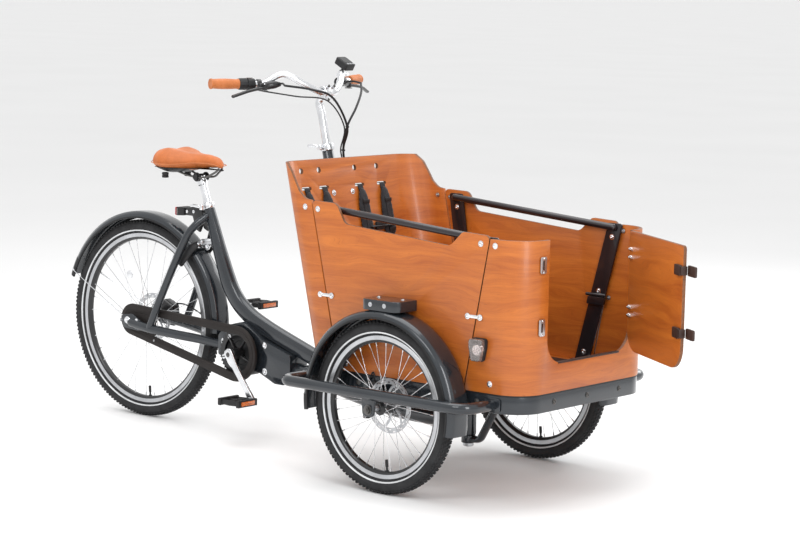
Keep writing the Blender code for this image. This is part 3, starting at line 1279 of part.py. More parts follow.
def front_assembly(mats, front):
    """Box, chassis, front wheels and steering, which turn together about the kingpin."""
    chassis_band(mats, front)
    kingpin_bridge(mats, front)
    kingpin(mats, front)
    floor(mats, front)
    rear_panel(mats, front)
    front_panel(mats, front)
    for side in (-1, 1):
        front_wheel(side, mats, front)
        guard_tube(side, mats, front)
        front_mudguard(side, mats, front)
        side_panel(side, mats, front)
        side_rail(side, mats, front)
        harness(side, mats, front)
    door(mats, front)
    bench(mats, front)
    front_lamp(mats, front)
    steering_column(mats, front)
    slide = handlebar_group(mats, front)
    bar_fittings(mats, slide)
    control_cables(mats, slide)
    x = column_x(COLUMN_TOP)
    quick_release("stem_clamp_lever", (x, -COLUMN_RADIUS - 0.012, COLUMN_TOP - 0.010), 0.045, mats, front)


def centre_footprint(root):
    """Move the bicycle along X so that its outline is centred on the origin."""
    bpy.context.view_layer.update()
    depsgraph = bpy.context.evaluated_depsgraph_get()
    low, high = 1e9, -1e9
    for obj in bpy.data.objects:
        if obj.type == "MESH" and not obj.hide_render:
            evaluated = obj.evaluated_get(depsgraph)
            for corner in evaluated.to_mesh().vertices:
                x = (obj.matrix_world @ corner.co).x
                low, high = min(low, x), max(high, x)
            evaluated.to_mesh_clear()
    root.location.x = -(low + high) / 2


def main():
    """Build the whole bicycle."""
    clear_scene()
    mats = make_materials()
    root = empty("bicycle", (0.0, 0.0, 0.0))
    rear_assembly(mats, root)
    front = empty("steering_pivot", (KINGPIN_X, 0.0, HEAD_TUBE_TOP), root)
    front_assembly(mats, front)
    centre_footprint(root)


main()
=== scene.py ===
"""Looks of a three-wheeled cargo bicycle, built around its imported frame.

Lengths are metres in the frame's own axes: +X is the riding direction, +Y the rider's left and
+Z up. Places are written from the rear axle, as the bicycle's maker would measure them, and
``at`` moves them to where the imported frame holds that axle.
"""
import logging
from dataclasses import dataclass, field
from enum import Enum
from math import acos, atan2, cos, pi, radians, sin, sqrt, tan
from typing import Callable, Optional, Sequence, Union

import bmesh
import bpy
from mathutils import Matrix, Vector


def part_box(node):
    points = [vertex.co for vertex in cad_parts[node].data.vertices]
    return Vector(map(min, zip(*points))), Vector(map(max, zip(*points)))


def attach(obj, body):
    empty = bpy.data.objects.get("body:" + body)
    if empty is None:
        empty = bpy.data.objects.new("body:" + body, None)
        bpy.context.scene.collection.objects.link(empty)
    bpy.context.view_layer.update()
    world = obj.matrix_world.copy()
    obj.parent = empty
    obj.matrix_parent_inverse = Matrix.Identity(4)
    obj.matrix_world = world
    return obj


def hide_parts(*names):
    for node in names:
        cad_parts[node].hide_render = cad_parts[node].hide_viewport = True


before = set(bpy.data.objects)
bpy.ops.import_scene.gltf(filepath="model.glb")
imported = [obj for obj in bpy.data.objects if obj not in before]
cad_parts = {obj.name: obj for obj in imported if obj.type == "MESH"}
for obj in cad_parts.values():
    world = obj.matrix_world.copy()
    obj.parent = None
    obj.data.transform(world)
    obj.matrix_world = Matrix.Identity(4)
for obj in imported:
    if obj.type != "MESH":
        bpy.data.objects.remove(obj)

log = logging.getLogger("bicycle")
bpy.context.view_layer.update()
REAR_AXLE_X = sum(corner.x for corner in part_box("rear_axle")) / 2.0

Number = Union[int, float]
Pair = tuple[float, float]
Colour = tuple[float, float, float]
Shape = bmesh.types.BMesh
Material = bpy.types.Material
SIDES = ((-1, "right"), (1, "left"))


def at(x: float, y: float, z: float) -> Vector:
    """Turn a place measured from the rear axle into a place in the frame."""
    return Vector((x + REAR_AXLE_X, y, z))


# ------------------------------------------------------------------ shader maths
class Socket:
    """A shader value that takes part in Python expressions."""

    def __init__(self, tree: "Tree", link: bpy.types.NodeSocket) -> None:
        """Keep the tree and the output socket."""
        self.tree = tree
        self.link = link

    def math(self, operation: str, *others: "Operand", clamp: bool = False) -> "Socket":
        """Return the result of one Math node."""
        return self.tree.node("ShaderNodeMath", {"operation": operation, "use_clamp": clamp},
            dict(enumerate((self, *others))))

    def __add__(self, other: "Operand") -> "Socket":
        """Add."""
        return self.math("ADD", other)

    __radd__ = __add__

    def __sub__(self, other: "Operand") -> "Socket":
        """Subtract."""
        return self.math("SUBTRACT", other)

    def __rsub__(self, other: "Operand") -> "Socket":
        """Subtract from a number."""
        return (self * -1.0).math("ADD", other)

    def __mul__(self, other: "Operand") -> "Socket":
        """Multiply."""
        return self.math("MULTIPLY", other)

    __rmul__ = __mul__

    def __truediv__(self, other: "Operand") -> "Socket":
        """Divide."""
        return self.math("DIVIDE", other)

    def __gt__(self, other: "Operand") -> "Socket":
        """1 where greater, else 0."""
        return self.math("GREATER_THAN", other)

    def __lt__(self, other: "Operand") -> "Socket":
        """1 where less, else 0."""
        return self.math("LESS_THAN", other)

    def ramp(self, low: float, high: float) -> "Socket":
        """Map low to 0 and high to 1, held at both ends."""
        return ((self - low) * (1.0 / (high - low))).math("ADD", 0.0, clamp=True)


Operand = Union[Socket, Number]


class Tree:
    """A material's node tree, with one method that makes every node."""

    def __init__(self, name: str) -> None:
        """Start an empty material.

        Args:
            name: The material's name.
        """
        self.material = bpy.data.materials.new(name)
        self.material.use_nodes = True
        self.nodes = self.material.node_tree.nodes
        self.links = self.material.node_tree.links
        self.nodes.clear()

    def node(self, kind: str, settings: Optional[dict] = None, values: Optional[dict] = None,
            out: Union[int, str] = 0) -> Socket:
        """Make one node.

        Args:
            kind: The node's type name.
            settings: Attributes that are set first; ``stops`` holds a ramp's stops.
            values: Numbers, tuples or sockets by input name or index.
            out: The output to return.

        Returns:
            The chosen output, wrapped.
        """
        made = self.nodes.new(kind)
        for key, value in (settings or {}).items():
            if key == "stops":
                elements = made.color_ramp.elements
                while len(elements) < len(value):
                    elements.new(0.5)
                for element, (place, colour) in zip(elements, value):
                    element.position = place
                    element.color = (*colour, 1.0)
            else:
                setattr(made, key, value)
        for key, value in (values or {}).items():
            target = made.inputs[key]
            if isinstance(value, Socket):
                self.links.new(value.link, target)
            elif isinstance(value, tuple) and len(value) == 3 and len(target.default_value) == 4:
                target.default_value = (*value, 1.0)
            else:
                target.default_value = value
        return Socket(self, made.outputs[out]) if made.outputs else None

    def place(self) -> Socket:
        """Return the object's own coordinates."""
        return self.node("ShaderNodeTexCoord", out="Object")

    def uv(self) -> Socket:
        """Return the piece's UV map."""
        return self.node("ShaderNodeUVMap", {"uv_map": "UVMap"})

    def stretched(self, where: Socket, scale: tuple[float, float, float]) -> Socket:
        """Return coordinates scaled along each axis."""
        return self.node("ShaderNodeMapping", {"vector_type": "POINT"}, {"Vector": where, "Scale": scale})

    def noise(self, where: Socket, scale: float, detail: float = 3.0, rough: float = 0.55) -> Socket:
        """Return smooth noise between 0 and 1."""
        return self.node("ShaderNodeTexNoise", {}, {"Vector": where, "Scale": scale, "Detail": detail,
            "Roughness": rough})

    def cells(self, where: Socket, scale: float) -> Socket:
        """Return the distance to the nearest cell centre."""
        return self.node("ShaderNodeTexVoronoi", {}, {"Vector": where, "Scale": scale})

    def colours(self, factor: Socket, *stops: tuple[float, Colour]) -> Socket:
        """Return colours from a ramp."""
        return self.node("ShaderNodeValToRGB", {"stops": stops}, {"Fac": factor})

    def mix(self, factor: Socket, first: object, second: object) -> Socket:
        """Mix two colours."""
        return self.node("ShaderNodeMix", {"data_type": "RGBA"}, {0: factor, 6: first, 7: second}, out=2)

    def bump(self, height: Socket, strength: float, distance: float) -> Socket:
        """Return a normal raised by a height."""
        return self.node("ShaderNodeBump", {}, {"Height": height, "Strength": strength,
            "Distance": distance})

    def surface(self, **inputs: object) -> Material:
        """Close the tree with a Principled shader; underscores in input names stand for spaces.

        Args:
            **inputs: Values or sockets by input name, with underscores for spaces.

        Returns:
            The material.
        """
        shader = self.node("ShaderNodeBsdfPrincipled", {}, {key.replace("_", " "): value
            for key, value in inputs.items()})
        output = self.nodes.new("ShaderNodeOutputMaterial")
        self.links.new(shader.link, output.inputs["Surface"])
        return self.material


@dataclass(frozen=True)
class Paint:
    """Glossy sprayed paint with a faint orange peel and a little dust."""

    name: str
    colour: Colour
    roughness: float = 0.3
    coat: float = 0.7

    def make(self) -> Material:
        """Build the material.

        Returns:
            The new material.
        """
        tree = Tree(self.name)
        where = tree.place()
        cloud = tree.noise(where, 7.0, 4.0)
        light = tuple(min(1.0, 1.28 * c + 0.004) for c in self.colour)
        base = tree.colours(cloud, (0.3, self.colour), (0.75, light))
        peel = tree.noise(where, 420.0, 2.0)
        rough = cloud * 0.14 + (self.roughness - 0.06)
        return tree.surface(Base_Color=base, Specular_IOR_Level=0.38, Roughness=rough, Metallic=0.25,
            Coat_Weight=self.coat, Coat_Roughness=0.06, Normal=tree.bump(peel, 0.05, 0.0004))


@dataclass(frozen=True)
class Metal:
    """Bare metal with fine polishing marks and slight tarnish."""

    name: str
    colour: Colour
    roughness: float = 0.2
    marks: float = 260.0

    def make(self) -> Material:
        """Build the material.

        Returns:
            The new material.
        """
        tree = Tree(self.name)
        where = tree.place()
        cloud = tree.noise(where, 24.0, 5.0)
        fine = tree.noise(tree.stretched(where, (1.0, 6.0, 1.0)), self.marks, 2.0)
        dark = tuple(0.8 * c for c in self.colour)
        base = tree.colours(cloud, (0.3, dark), (0.65, self.colour))
        rough = cloud * 0.16 + fine * 0.1 + (self.roughness - 0.1)
        return tree.surface(Base_Color=base, Roughness=rough, Metallic=1.0,
            Normal=tree.bump(fine, 0.04, 0.0003))


@dataclass(frozen=True)
class Plastic:
    """Moulded plastic with a fine spark-eroded grain."""

    name: str
    colour: Colour
    roughness: float = 0.5
    grain: float = 900.0
    strength: float = 0.2

    def make(self) -> Material:
        """Build the material.

        Returns:
            The new material.
        """
        tree = Tree(self.name)
        where = tree.place()
        cloud = tree.noise(where, 16.0, 4.0)
        grain = tree.cells(where, self.grain)
        light = tuple(1.5 * c + 0.006 for c in self.colour)
        base = tree.colours(cloud, (0.35, self.colour), (0.8, light))
        return tree.surface(Base_Color=base, Specular_IOR_Level=0.32,
            Roughness=cloud * 0.16 + (self.roughness - 0.07),
            Normal=tree.bump(grain, self.strength, 0.0004))


@dataclass(frozen=True)
class Rubber:
    """Black tyre rubber, dusty in the low places."""

    name: str
    colour: Colour

    def make(self) -> Material:
        """Build the material.

        Returns:
            The new material.
        """
        tree = Tree(self.name)
        where = tree.place()
        cloud = tree.noise(where, 30.0, 6.0, 0.65)
        fine = tree.noise(where, 900.0, 2.0)
        dusty = tuple(2.0 * c + 0.01 for c in self.colour)
        base = tree.colours(cloud, (0.35, self.colour), (0.85, dusty))
        return tree.surface(Base_Color=base, Specular_IOR_Level=0.3, Roughness=cloud * 0.2 + 0.62,
            Normal=tree.bump(fine, 0.25, 0.0004))


@dataclass(frozen=True)
class Plywood:
    """Varnished sliced veneer: long fibres, pores and broad figure along the sheet."""

    name: str
    pale: Colour = (0.56, 0.158, 0.018)
    deep: Colour = (0.29, 0.056, 0.006)

    def make(self) -> Material:
        """Build the material; U runs with the fibres and V across them, both in metres.

        Returns:
            The new material.
        """
        tree = Tree(self.name)
        where = tree.uv()
        drift = tree.noise(tree.stretched(where, (1.1, 5.0, 1.0)), 2.4, 2.0)
        wander = tree.node("ShaderNodeVectorMath", {"operation": "MULTIPLY_ADD"}, {0: drift,
            1: (0.0, 0.1, 0.0), 2: where})
        figure = tree.noise(tree.stretched(wander, (0.9, 11.0, 1.0)), 2.6, 4.0, 0.6)
        fibre = tree.noise(tree.stretched(wander, (1.0, 34.0, 1.0)), 9.0, 5.0, 0.72)
        pore = tree.noise(tree.stretched(wander, (1.0, 26.0, 1.0)), 46.0, 2.0)
        tone = figure * 0.62 + fibre * 0.38
        middle = tuple((a + b) / 2 for a, b in zip(self.pale, self.deep))
        base = tree.colours(tone, (0.3, self.deep), (0.47, middle), (0.66, self.pale))
        spots = pore.ramp(0.62, 0.72) * 0.4
        dark = tuple(0.45 * c for c in self.deep)
        base = tree.mix(spots, base, dark)
        rough = fibre * 0.14 + drift * 0.1 + 0.3
        height = fibre * 0.6 - spots
        return tree.surface(Base_Color=base, Roughness=rough, Coat_Weight=0.22, Coat_Roughness=0.16,
            Normal=tree.bump(height, 0.1, 0.0005))


@dataclass(frozen=True)
class PlyEdge:
    """Sawn edge of plywood: dark stained layers one above the other."""

    name: str

    def make(self) -> Material:
        """Build the material.

        Returns:
            The new material.
        """
        tree = Tree(self.name)
        where = tree.place()
        cloud = tree.noise(where, 90.0, 4.0, 0.7)
        layers = tree.noise(tree.stretched(where, (1.0, 1.0, 0.4)), 520.0, 1.0)
        base = tree.colours(cloud * 0.5 + layers * 0.5, (0.35, (0.085, 0.03, 0.01)),
            (0.65, (0.24, 0.085, 0.026)))
        return tree.surface(Base_Color=base, Roughness=cloud * 0.2 + 0.42,
            Normal=tree.bump(layers, 0.2, 0.0004))


@dataclass(frozen=True)
class Leather:
    """Soft tan cover with pebble grain and darker, smoother worn places."""

    name: str
    colour: Colour
    grain: float = 520.0

    def make(self) -> Material:
        """Build the material.

        Returns:
            The new material.
        """
        tree = Tree(self.name)
        where = tree.place()
        cloud = tree.noise(where, 26.0, 5.0)
        pebble = tree.cells(where, self.grain)
        light = tuple(min(1.0, 1.25 * c + 0.01) for c in self.colour)
        base = tree.colours(cloud * 0.75 + pebble * 0.25, (0.25, tuple(0.78 * c for c in self.colour)),
            (0.5, self.colour), (0.75, light))
        return tree.surface(Base_Color=base, Roughness=0.62 - cloud * 0.2, Sheen_Weight=0.08,
            Normal=tree.bump(pebble, 0.35, 0.0006))


@dataclass(frozen=True)
class Webbing:
    """Black woven strap: ribs across two thread directions."""

    name: str
    colour: Colour = (0.016, 0.016, 0.018)

    def make(self) -> Material:
        """Build the material.

        Returns:
            The new material.
        """
        tree = Tree(self.name)
        where = tree.place()
        parts = tree.node("ShaderNodeSeparateXYZ", {}, {"Vector": where}, out="Z")
        across = tree.node("ShaderNodeSeparateXYZ", {}, {"Vector": where}, out="Y")
        weave = (parts * 2600.0).math("SINE") * (across * 2600.0).math("SINE")
        cloud = tree.noise(where, 40.0, 4.0)
        light = tuple(2.4 * c + 0.01 for c in self.colour)
        base = tree.colours(weave * 0.3 + cloud * 0.7, (0.25, self.colour), (0.8, light))
        return tree.surface(Base_Color=base, Specular_IOR_Level=0.12, Roughness=cloud * 0.2 + 0.66,
            Sheen_Weight=0.2, Normal=tree.bump(weave, 0.45, 0.0004))


@dataclass(frozen=True)
class Lens:
    """Clear or tinted lens with moulded prisms behind its face."""

    name: str
    colour: Colour
    through: float = 0.6

    def make(self) -> Material:
        """Build the material.

        Returns:
            The new material.
        """
        tree = Tree(self.name)
        where = tree.place()
        ridges = tree.cells(where, 190.0)
        dark = tuple(0.55 * c for c in self.colour)
        base = tree.colours(ridges, (0.1, dark), (0.7, self.colour))
        return tree.surface(Base_Color=base, Roughness=ridges * 0.06 + 0.05,
            Transmission_Weight=self.through, Coat_Weight=0.8, Normal=tree.bump(ridges, 0.35, 0.001))


class Finish(Enum):
    """Every finish on the bicycle, with the record's slot that it belongs to."""

    FRAME = (Paint("anthracite_paint", (0.0145, 0.0185, 0.0235), 0.24), "frame_paint")
    POST = (Paint("plum_black_paint", (0.014, 0.01, 0.012), 0.32, 0.5), "frame_paint")
    BLACK_METAL = (Paint("black_metal", (0.012, 0.012, 0.013), 0.34, 0.4), "black_steel")
    TRIM = (Plastic("edge_trim", (0.01, 0.01, 0.011), 0.42), "black_plastic")
    BLACK = (Plastic("black_plastic_finish", (0.013, 0.013, 0.014), 0.5), "black_plastic")
    CASE = (Plastic("case_plastic_finish", (0.013, 0.01, 0.009), 0.6, 700.0, 0.4), "case_plastic")
    LATCH = (Plastic("latch_rubber", (0.03, 0.014, 0.01), 0.46, 600.0), "black_plastic")
    ALLOY = (Metal("polished_alloy_finish", (0.8, 0.81, 0.83), 0.2), "polished_alloy")
    CHROME = (Metal("bright_chrome", (0.86, 0.87, 0.89), 0.13, 500.0), "polished_alloy")
    STEEL = (Metal("brushed_steel_finish", (0.56, 0.57, 0.59), 0.34, 420.0), "steel")
    DARK_STEEL = (Metal("oiled_steel", (0.16, 0.155, 0.15), 0.42, 420.0), "steel")
    TYRE = (Rubber("tyre_rubber", (0.014, 0.014, 0.015)), "rubber")
    CABLE = (Plastic("cable_skin", (0.01, 0.01, 0.011), 0.36, 1600.0, 0.1), "rubber")
    BAND = (Plastic("reflective_band", (0.55, 0.56, 0.57), 0.34, 1500.0, 0.1), "rubber")
    PLY = (Plywood("plywood_veneer"), "plywood")
    PLY_EDGE = (PlyEdge("plywood_edge"), "plywood")
    TAN = (Leather("tan_cover", (0.48, 0.125, 0.022)), "tan_leather")
    GRIP = (Leather("tan_grip", (0.48, 0.14, 0.03), 760.0), "tan_leather")
    PAD = (Webbing("woven_pad"), "black_webbing")
    STRAP = (Webbing("woven_strap", (0.01, 0.01, 0.012)), "black_webbing")
    CLEAR = (Lens("clear_lens_finish", (0.86, 0.74, 0.7), 0.85), "clear_lens")
    RED = (Lens("red_lens_finish", (0.45, 0.01, 0.012), 0.15), "black_plastic")
    AMBER = (Lens("amber_reflector", (0.9, 0.2, 0.02), 0.1), "black_plastic")

    @property
    def material(self) -> Material:
        """Return the finish's material, made the first time it is asked for."""
        spec = self.value[0]
        return bpy.data.materials.get(spec.name) or spec.make()

    @property
    def slot(self) -> str:
        """Return the record's slot name."""
        return self.value[1]


# ------------------------------------------------------------------ mesh tools
def smooth_path(points: Sequence[Sequence[float]], steps: int = 6) -> list[Vector]:
    """Run a Catmull-Rom curve through points, with ``steps`` spans between each two.

    Args:
        points: Places on the curve.
        steps: Spans between each two.

    Returns:
        The curve's points.
    """
    p = [Vector(q) for q in points]
    ends = [2 * p[0] - p[1], *p, 2 * p[-1] - p[-2]]
    result = []
    for a, b, c, d in zip(ends, ends[1:], ends[2:], ends[3:]):
        for k in range(steps):
            t = k / steps
            result.append(0.5 * (2 * b + (c - a) * t + (2 * a - 5 * b + 4 * c - d) * t * t
                + (3 * b - a - 3 * c + d) * t ** 3))
    return [*result, p[-1]]


def rounded(points: Sequence[Sequence[float]], radius: Union[float, Sequence[float]], steps: int = 6,
        closed: bool = True) -> list[Vector]:
    """Round the corners of a polygon or polyline.

    Args:
        points: Corners, in two or three dimensions.
        radius: One corner radius, or one for each corner.
        steps: Spans in each corner.
        closed: False for a polyline, whose ends stay as they are.

    Returns:
        The rounded outline's points.
    """
    p = [Vector(q) for q in points]
    radii = list(radius) if isinstance(radius, (list, tuple)) else [radius] * len(p)
    result = []
    for i, corner in enumerate(p):
        if radii[i] <= 0 or (not closed and i in (0, len(p) - 1)):
            result.append(corner)
            continue
        before = (p[i - 1] - corner)
        after = (p[(i + 1) % len(p)] - corner)
        half = before.angle(after) / 2
        reach = min(radii[i] / max(tan(half), 1e-6), 0.49 * before.length, 0.49 * after.length)
        size = reach * tan(half)
        start, end = corner + before.normalized() * reach, corner + after.normalized() * reach
        middle = corner + (before.normalized() + after.normalized()).normalized() * (size / sin(half))
        one, two = start - middle, end - middle
        turn = one.angle(two)
        for k in range(steps + 1):
            t = k / steps
            result.append(middle + (one * sin((1 - t) * turn) + two * sin(t * turn)) / sin(turn))
    return result


def rect(left: float, low: float, right: float, high: float) -> list[Pair]:
    """Return a rectangle's four corners."""
    return [(left, low), (right, low), (right, high), (left, high)]


def arc(centre: Pair, radius: float, start: float, end: float, steps: int = 24) -> list[Vector]:
    """Return points on a flat arc; angles in radians.

    Args:
        centre: The centre.
        radius: Its radius.
        start: First angle.
        end: Last angle.
        steps: Spans along it.

    Returns:
        The arc's points.
    """
    return [Vector((centre[0] + radius * cos(start + (end - start) * k / steps),
        centre[1] + radius * sin(start + (end - start) * k / steps))) for k in range(steps + 1)]


def skin(rings: Sequence[Sequence[Vector]], around: bool = True, along: bool = False,
        caps: bool = True) -> Shape:
    """Join rings of points with faces.

    Args:
        rings: Rings with the same number of points.
        around: Close each ring.
        along: Join the last ring to the first.
        caps: Close the two open ends.

    Returns:
        The new mesh, with its faces outwards.
    """
    bm = bmesh.new()
    uv = bm.loops.layers.uv.new("UVMap")
    made = [[bm.verts.new(point) for point in ring] for ring in rings]
    lengths, walked = [], 0.0
    for i, ring in enumerate(rings):
        walked += (ring[0] - rings[i - 1][0]).length if i else 0.0
        lengths.append(walked)
    girth = [0.0]
    for a, b in zip(rings[0], [*rings[0][1:], rings[0][0]]):
        girth.append(girth[-1] + (b - a).length)
    for i in range(len(made) - (0 if along else 1)):
        a, b = made[i], made[(i + 1) % len(made)]
        for k in range(len(a) - (0 if around else 1)):
            j = (k + 1) % len(a)
            face = bm.faces.new((a[k], a[j], b[j], b[k]))
            ahead = lengths[i + 1] if i + 1 < len(lengths) else walked
            marks = ((lengths[i], girth[k]), (lengths[i], girth[k + 1]), (ahead, girth[k + 1]), (ahead,
                girth[k]))
            for loop, mark in zip(face.loops, marks):
                loop[uv].uv = mark
    if caps and around and not along:
        bm.faces.new(reversed(made[0]))
        bm.faces.new(made[-1])
    if around or along:
        bmesh.ops.recalc_face_normals(bm, faces=bm.faces)
    return bm


def sweep(path: Sequence[Vector], radius: object, sides: int = 20, round_ends: bool = False,
        closed: bool = False, section: Optional[Sequence[Pair]] = None) -> Shape:
    """Run a section along a path without twisting it.

    Args:
        path: Points of the centre line.
        radius: A number, a pair (in the plane of the bend, across it), or one of those for each point.
        sides: Points round the section.
        round_ends: Dome the two ends.
        closed: The path is a loop.
        section: Points of another section shape, where an ellipse isn't wanted.

    Returns:
        The swept body.
    """
    sizes = list(radius) if isinstance(radius, list) else [radius] * len(path)
    sizes = [size if isinstance(size, tuple) else (size, size) for size in sizes]
    shape = section or [(cos(2 * pi * k / sides), sin(2 * pi * k / sides)) for k in range(sides)]
    first = path[1] - path[0]
    across = Vector((0, 1, 0)) if abs(first.normalized().y) < 0.8 else Vector((0, 0, 1))
    rings = []
    for i, point in enumerate(path):
        before = path[i - 1] if i or closed else point
        after = path[(i + 1) % len(path)] if i + 1 < len(path) or closed else point
        tangent = (after - before).normalized()
        across = (across - tangent * across.dot(tangent)).normalized()
        normal = across.cross(tangent)
        ends = [(0.0, 1.0)]
        if round_ends and not closed and i in (0, len(path) - 1):
            ends = [(sin(t), cos(t)) for t in (0.0, 0.5, 1.0, 1.35)]
            ends = list(reversed(ends)) if i == 0 else ends
        for push, shrink in ends:
            high, wide = sizes[i][0] * shrink, sizes[i][1] * shrink
            shift = tangent * (push * min(sizes[i]) * (-1 if i == 0 else 1))
            rings.append([point + shift + normal * (a * high) + across * (b * wide) for a, b in shape])
    return skin(rings, along=closed, caps=not closed)


def rod(start: Sequence[float], end: Sequence[float], radius: float, sides: int = 20,
        chamfer: float = 0.0) -> Shape:
    """Return a round rod with an optional chamfer at both ends.

    Args:
        start: One end.
        end: The other end.
        radius: Radius.
        sides: Facets round the axis.
        chamfer: Size of the chamfer at both ends.

    Returns:
        The rod.
    """
    a, b = Vector(start), Vector(end)
    reach = (b - a).length
    cut = min(chamfer, reach * 0.4, radius * 0.6)
    profile = [(radius - cut, 0.0), (radius, cut), (radius, reach - cut), (radius - cut, reach)]
    return lathe(profile if cut else [(radius, 0.0), (radius, reach)], a, b - a, sides)


def lathe(profile: Sequence[Pair], centre: Sequence[float], axis: Sequence[float], sides: int = 32,
        closed: bool = False) -> Shape:
    """Turn a profile of (radius, distance along the axis) into a round body.

    Args:
        profile: The profile; a closed one makes a hollow ring.
        centre: Where the distances start.
        axis: Direction of the axis.
        sides: Facets round the axis.
        closed: Join the profile's last point to its first, and leave the middle open.

    Returns:
        The turned body.
    """
    turn = Vector((0, 0, 1)).rotation_difference(Vector(axis))
    rings = []
    for k in range(sides):
        angle = 2 * pi * k / sides
        rings.append([Vector(centre) + turn @ Vector((r * cos(angle), r * sin(angle), d))
            for r, d in profile])
    if closed:
        return skin(rings, along=True)
    turned = [[rings[k][i] for k in range(sides)] for i in range(len(profile))]
    return skin(turned)


def prism(outline: Sequence[Sequence[float]], low: float, high: float, axis: str = "Y",
        shift: Optional[Vector] = None) -> Shape:
    """Raise a flat outline between two levels along an axis: XZ for Y, YZ for X, XY for Z.

    Places count from the rear axle, unless another shift is given.

    Args:
        outline: The flat outline.
        low: Lower level.
        high: Upper level.
        axis: The axis that the levels are measured on.
        shift: Where the outline's zero is.

    Returns:
        The raised body.
    """
    shift = at(0, 0, 0) if shift is None else shift
    order = {"Y": lambda p, d: Vector((p[0], d, p[1])), "X": lambda p, d: Vector((d, p[0], p[1])),
        "Z": lambda p, d: Vector((p[0], p[1], d))}[axis]
    rings = [[order(p, level) + shift for p in outline] for level in (low, high)]
    return skin(rings)


def block(low: Sequence[float], high: Sequence[float]) -> Shape:
    """Return a box between two corners."""
    (x0, y0, z0), (x1, y1, z1) = low, high
    return prism(rect(x0, z0, x1, z1), y0, y1)


def moved(bm: Shape, matrix: Matrix) -> Shape:
    """Apply a matrix to a bmesh.

    Args:
        bm: The body to change.
        matrix: The movement.

    Returns:
        The same body.
    """
    bmesh.ops.transform(bm, matrix=matrix, verts=bm.verts)
    if matrix.determinant() < 0:
        bmesh.ops.reverse_faces(bm, faces=bm.faces)
    return bm


def mirrored(bm: Shape, side: int) -> Shape:
    """Keep a right-hand (-1) body, or reflect it to the left (+1)."""
    return bm if side < 0 else moved(bm, Matrix.Scale(-1, 4, (0, 1, 0)))


def merged(*parts: Shape) -> Shape:
    """Put several bodies into one bmesh.

    Args:
        *parts: The bodies; all but the first are used up.

    Returns:
        The first body with the others in it.
    """
    whole = parts[0]
    for part in parts[1:]:
        mesh = bpy.data.meshes.new("part")
        part.to_mesh(mesh)
        part.free()
        whole.from_mesh(mesh)
        bpy.data.meshes.remove(mesh)
    return whole


def tinted(bm: Shape, index: int, test: Callable[[bmesh.types.BMFace], bool] = lambda face: True) -> Shape:
    """Give the faces that pass a test another of the piece's finishes.

    Args:
        bm: The body to change.
        index: The finish's index.
        test: Says whether a face takes the finish.

    Returns:
        The same body.
    """
    bm.normal_update()
    for face in bm.faces:
        if test(face):
            face.material_index = index
    return bm


def loose(name: str, bm: Shape, finishes: Sequence[Finish]) -> bpy.types.Object:
    """Make an object from a bmesh, with its finishes, riding on nothing yet.

    Args:
        name: The object's name.
        bm: Its shape, which is used up.
        finishes: The finishes; the faces' indices count in them.

    Returns:
        The new object.
    """
    mesh = bpy.data.meshes.new(name)
    bm.to_mesh(mesh)
    bm.free()
    for finish in finishes:
        mesh.materials.append(finish.material)
    obj = bpy.data.objects.new(name, mesh)
    bpy.context.scene.collection.objects.link(obj)
    return obj


def baked(obj: bpy.types.Object) -> bpy.types.Object:
    """Turn an object with modifiers into a plain mesh.

    Args:
        obj: The object to change.

    Returns:
        The same object with its modifiers applied.
    """
    bpy.context.view_layer.update()
    depsgraph = bpy.context.evaluated_depsgraph_get()
    mesh = bpy.data.meshes.new_from_object(obj.evaluated_get(depsgraph))
    obj.modifiers.clear()
    old, obj.data = obj.data, mesh
    mesh.name = obj.name
    bpy.data.meshes.remove(old)
    return obj


def cut(obj: bpy.types.Object, *cutters: Shape, operation: str = "DIFFERENCE",
        index: int = 0) -> bpy.types.Object:
    """Cut bodies out of an object, or join them to it.

    Args:
        obj: The object to change.
        cutters: The other bodies; they are used up.
        operation: DIFFERENCE, UNION or INTERSECT.
        index: The finish that new faces take from the cutters.

    Returns:
        The same object.
    """
    tools = []
    for bm in cutters:
        tool = loose("cutter", tinted(bm, index), [])
        for material in obj.data.materials:
            tool.data.materials.append(material)
        modifier = obj.modifiers.new("cut", "BOOLEAN")
        modifier.object, modifier.operation, modifier.solver = tool, operation, "EXACT"
        tools.append(tool)
    baked(obj)
    for tool in tools:
        mesh = tool.data
        bpy.data.objects.remove(tool)
        bpy.data.meshes.remove(mesh)
    return obj


def dressed(obj: bpy.types.Object, body: str, finishes: Sequence[Finish], bevel: float = 0.0,
        smooth: float = 38.0, replaces: Sequence[str] = (), segments: int = 2) -> bpy.types.Object:
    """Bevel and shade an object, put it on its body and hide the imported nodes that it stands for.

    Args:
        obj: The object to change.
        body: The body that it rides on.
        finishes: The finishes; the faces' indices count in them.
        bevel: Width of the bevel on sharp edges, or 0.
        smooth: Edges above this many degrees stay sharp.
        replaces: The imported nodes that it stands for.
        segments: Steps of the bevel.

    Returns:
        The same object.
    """
    if bevel:
        modifier = obj.modifiers.new("bevel", "BEVEL")
        modifier.width, modifier.segments = bevel, segments
        modifier.limit_method, modifier.angle_limit = "ANGLE", radians(32)
        modifier.use_clamp_overlap = True
        baked(obj)
    obj.data.shade_smooth()
    obj.data.set_sharp_from_angle(angle=radians(smooth))
    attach(obj, body)
    if replaces:
        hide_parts(*replaces)
    return obj


def piece(name: str, bm: Shape, body: str, *finishes: Finish, **options: object) -> bpy.types.Object:
    """Make a finished piece of the bicycle from a bmesh; options are those of ``dressed``."""
    return dressed(loose(name, bm, finishes), body, finishes, **options)


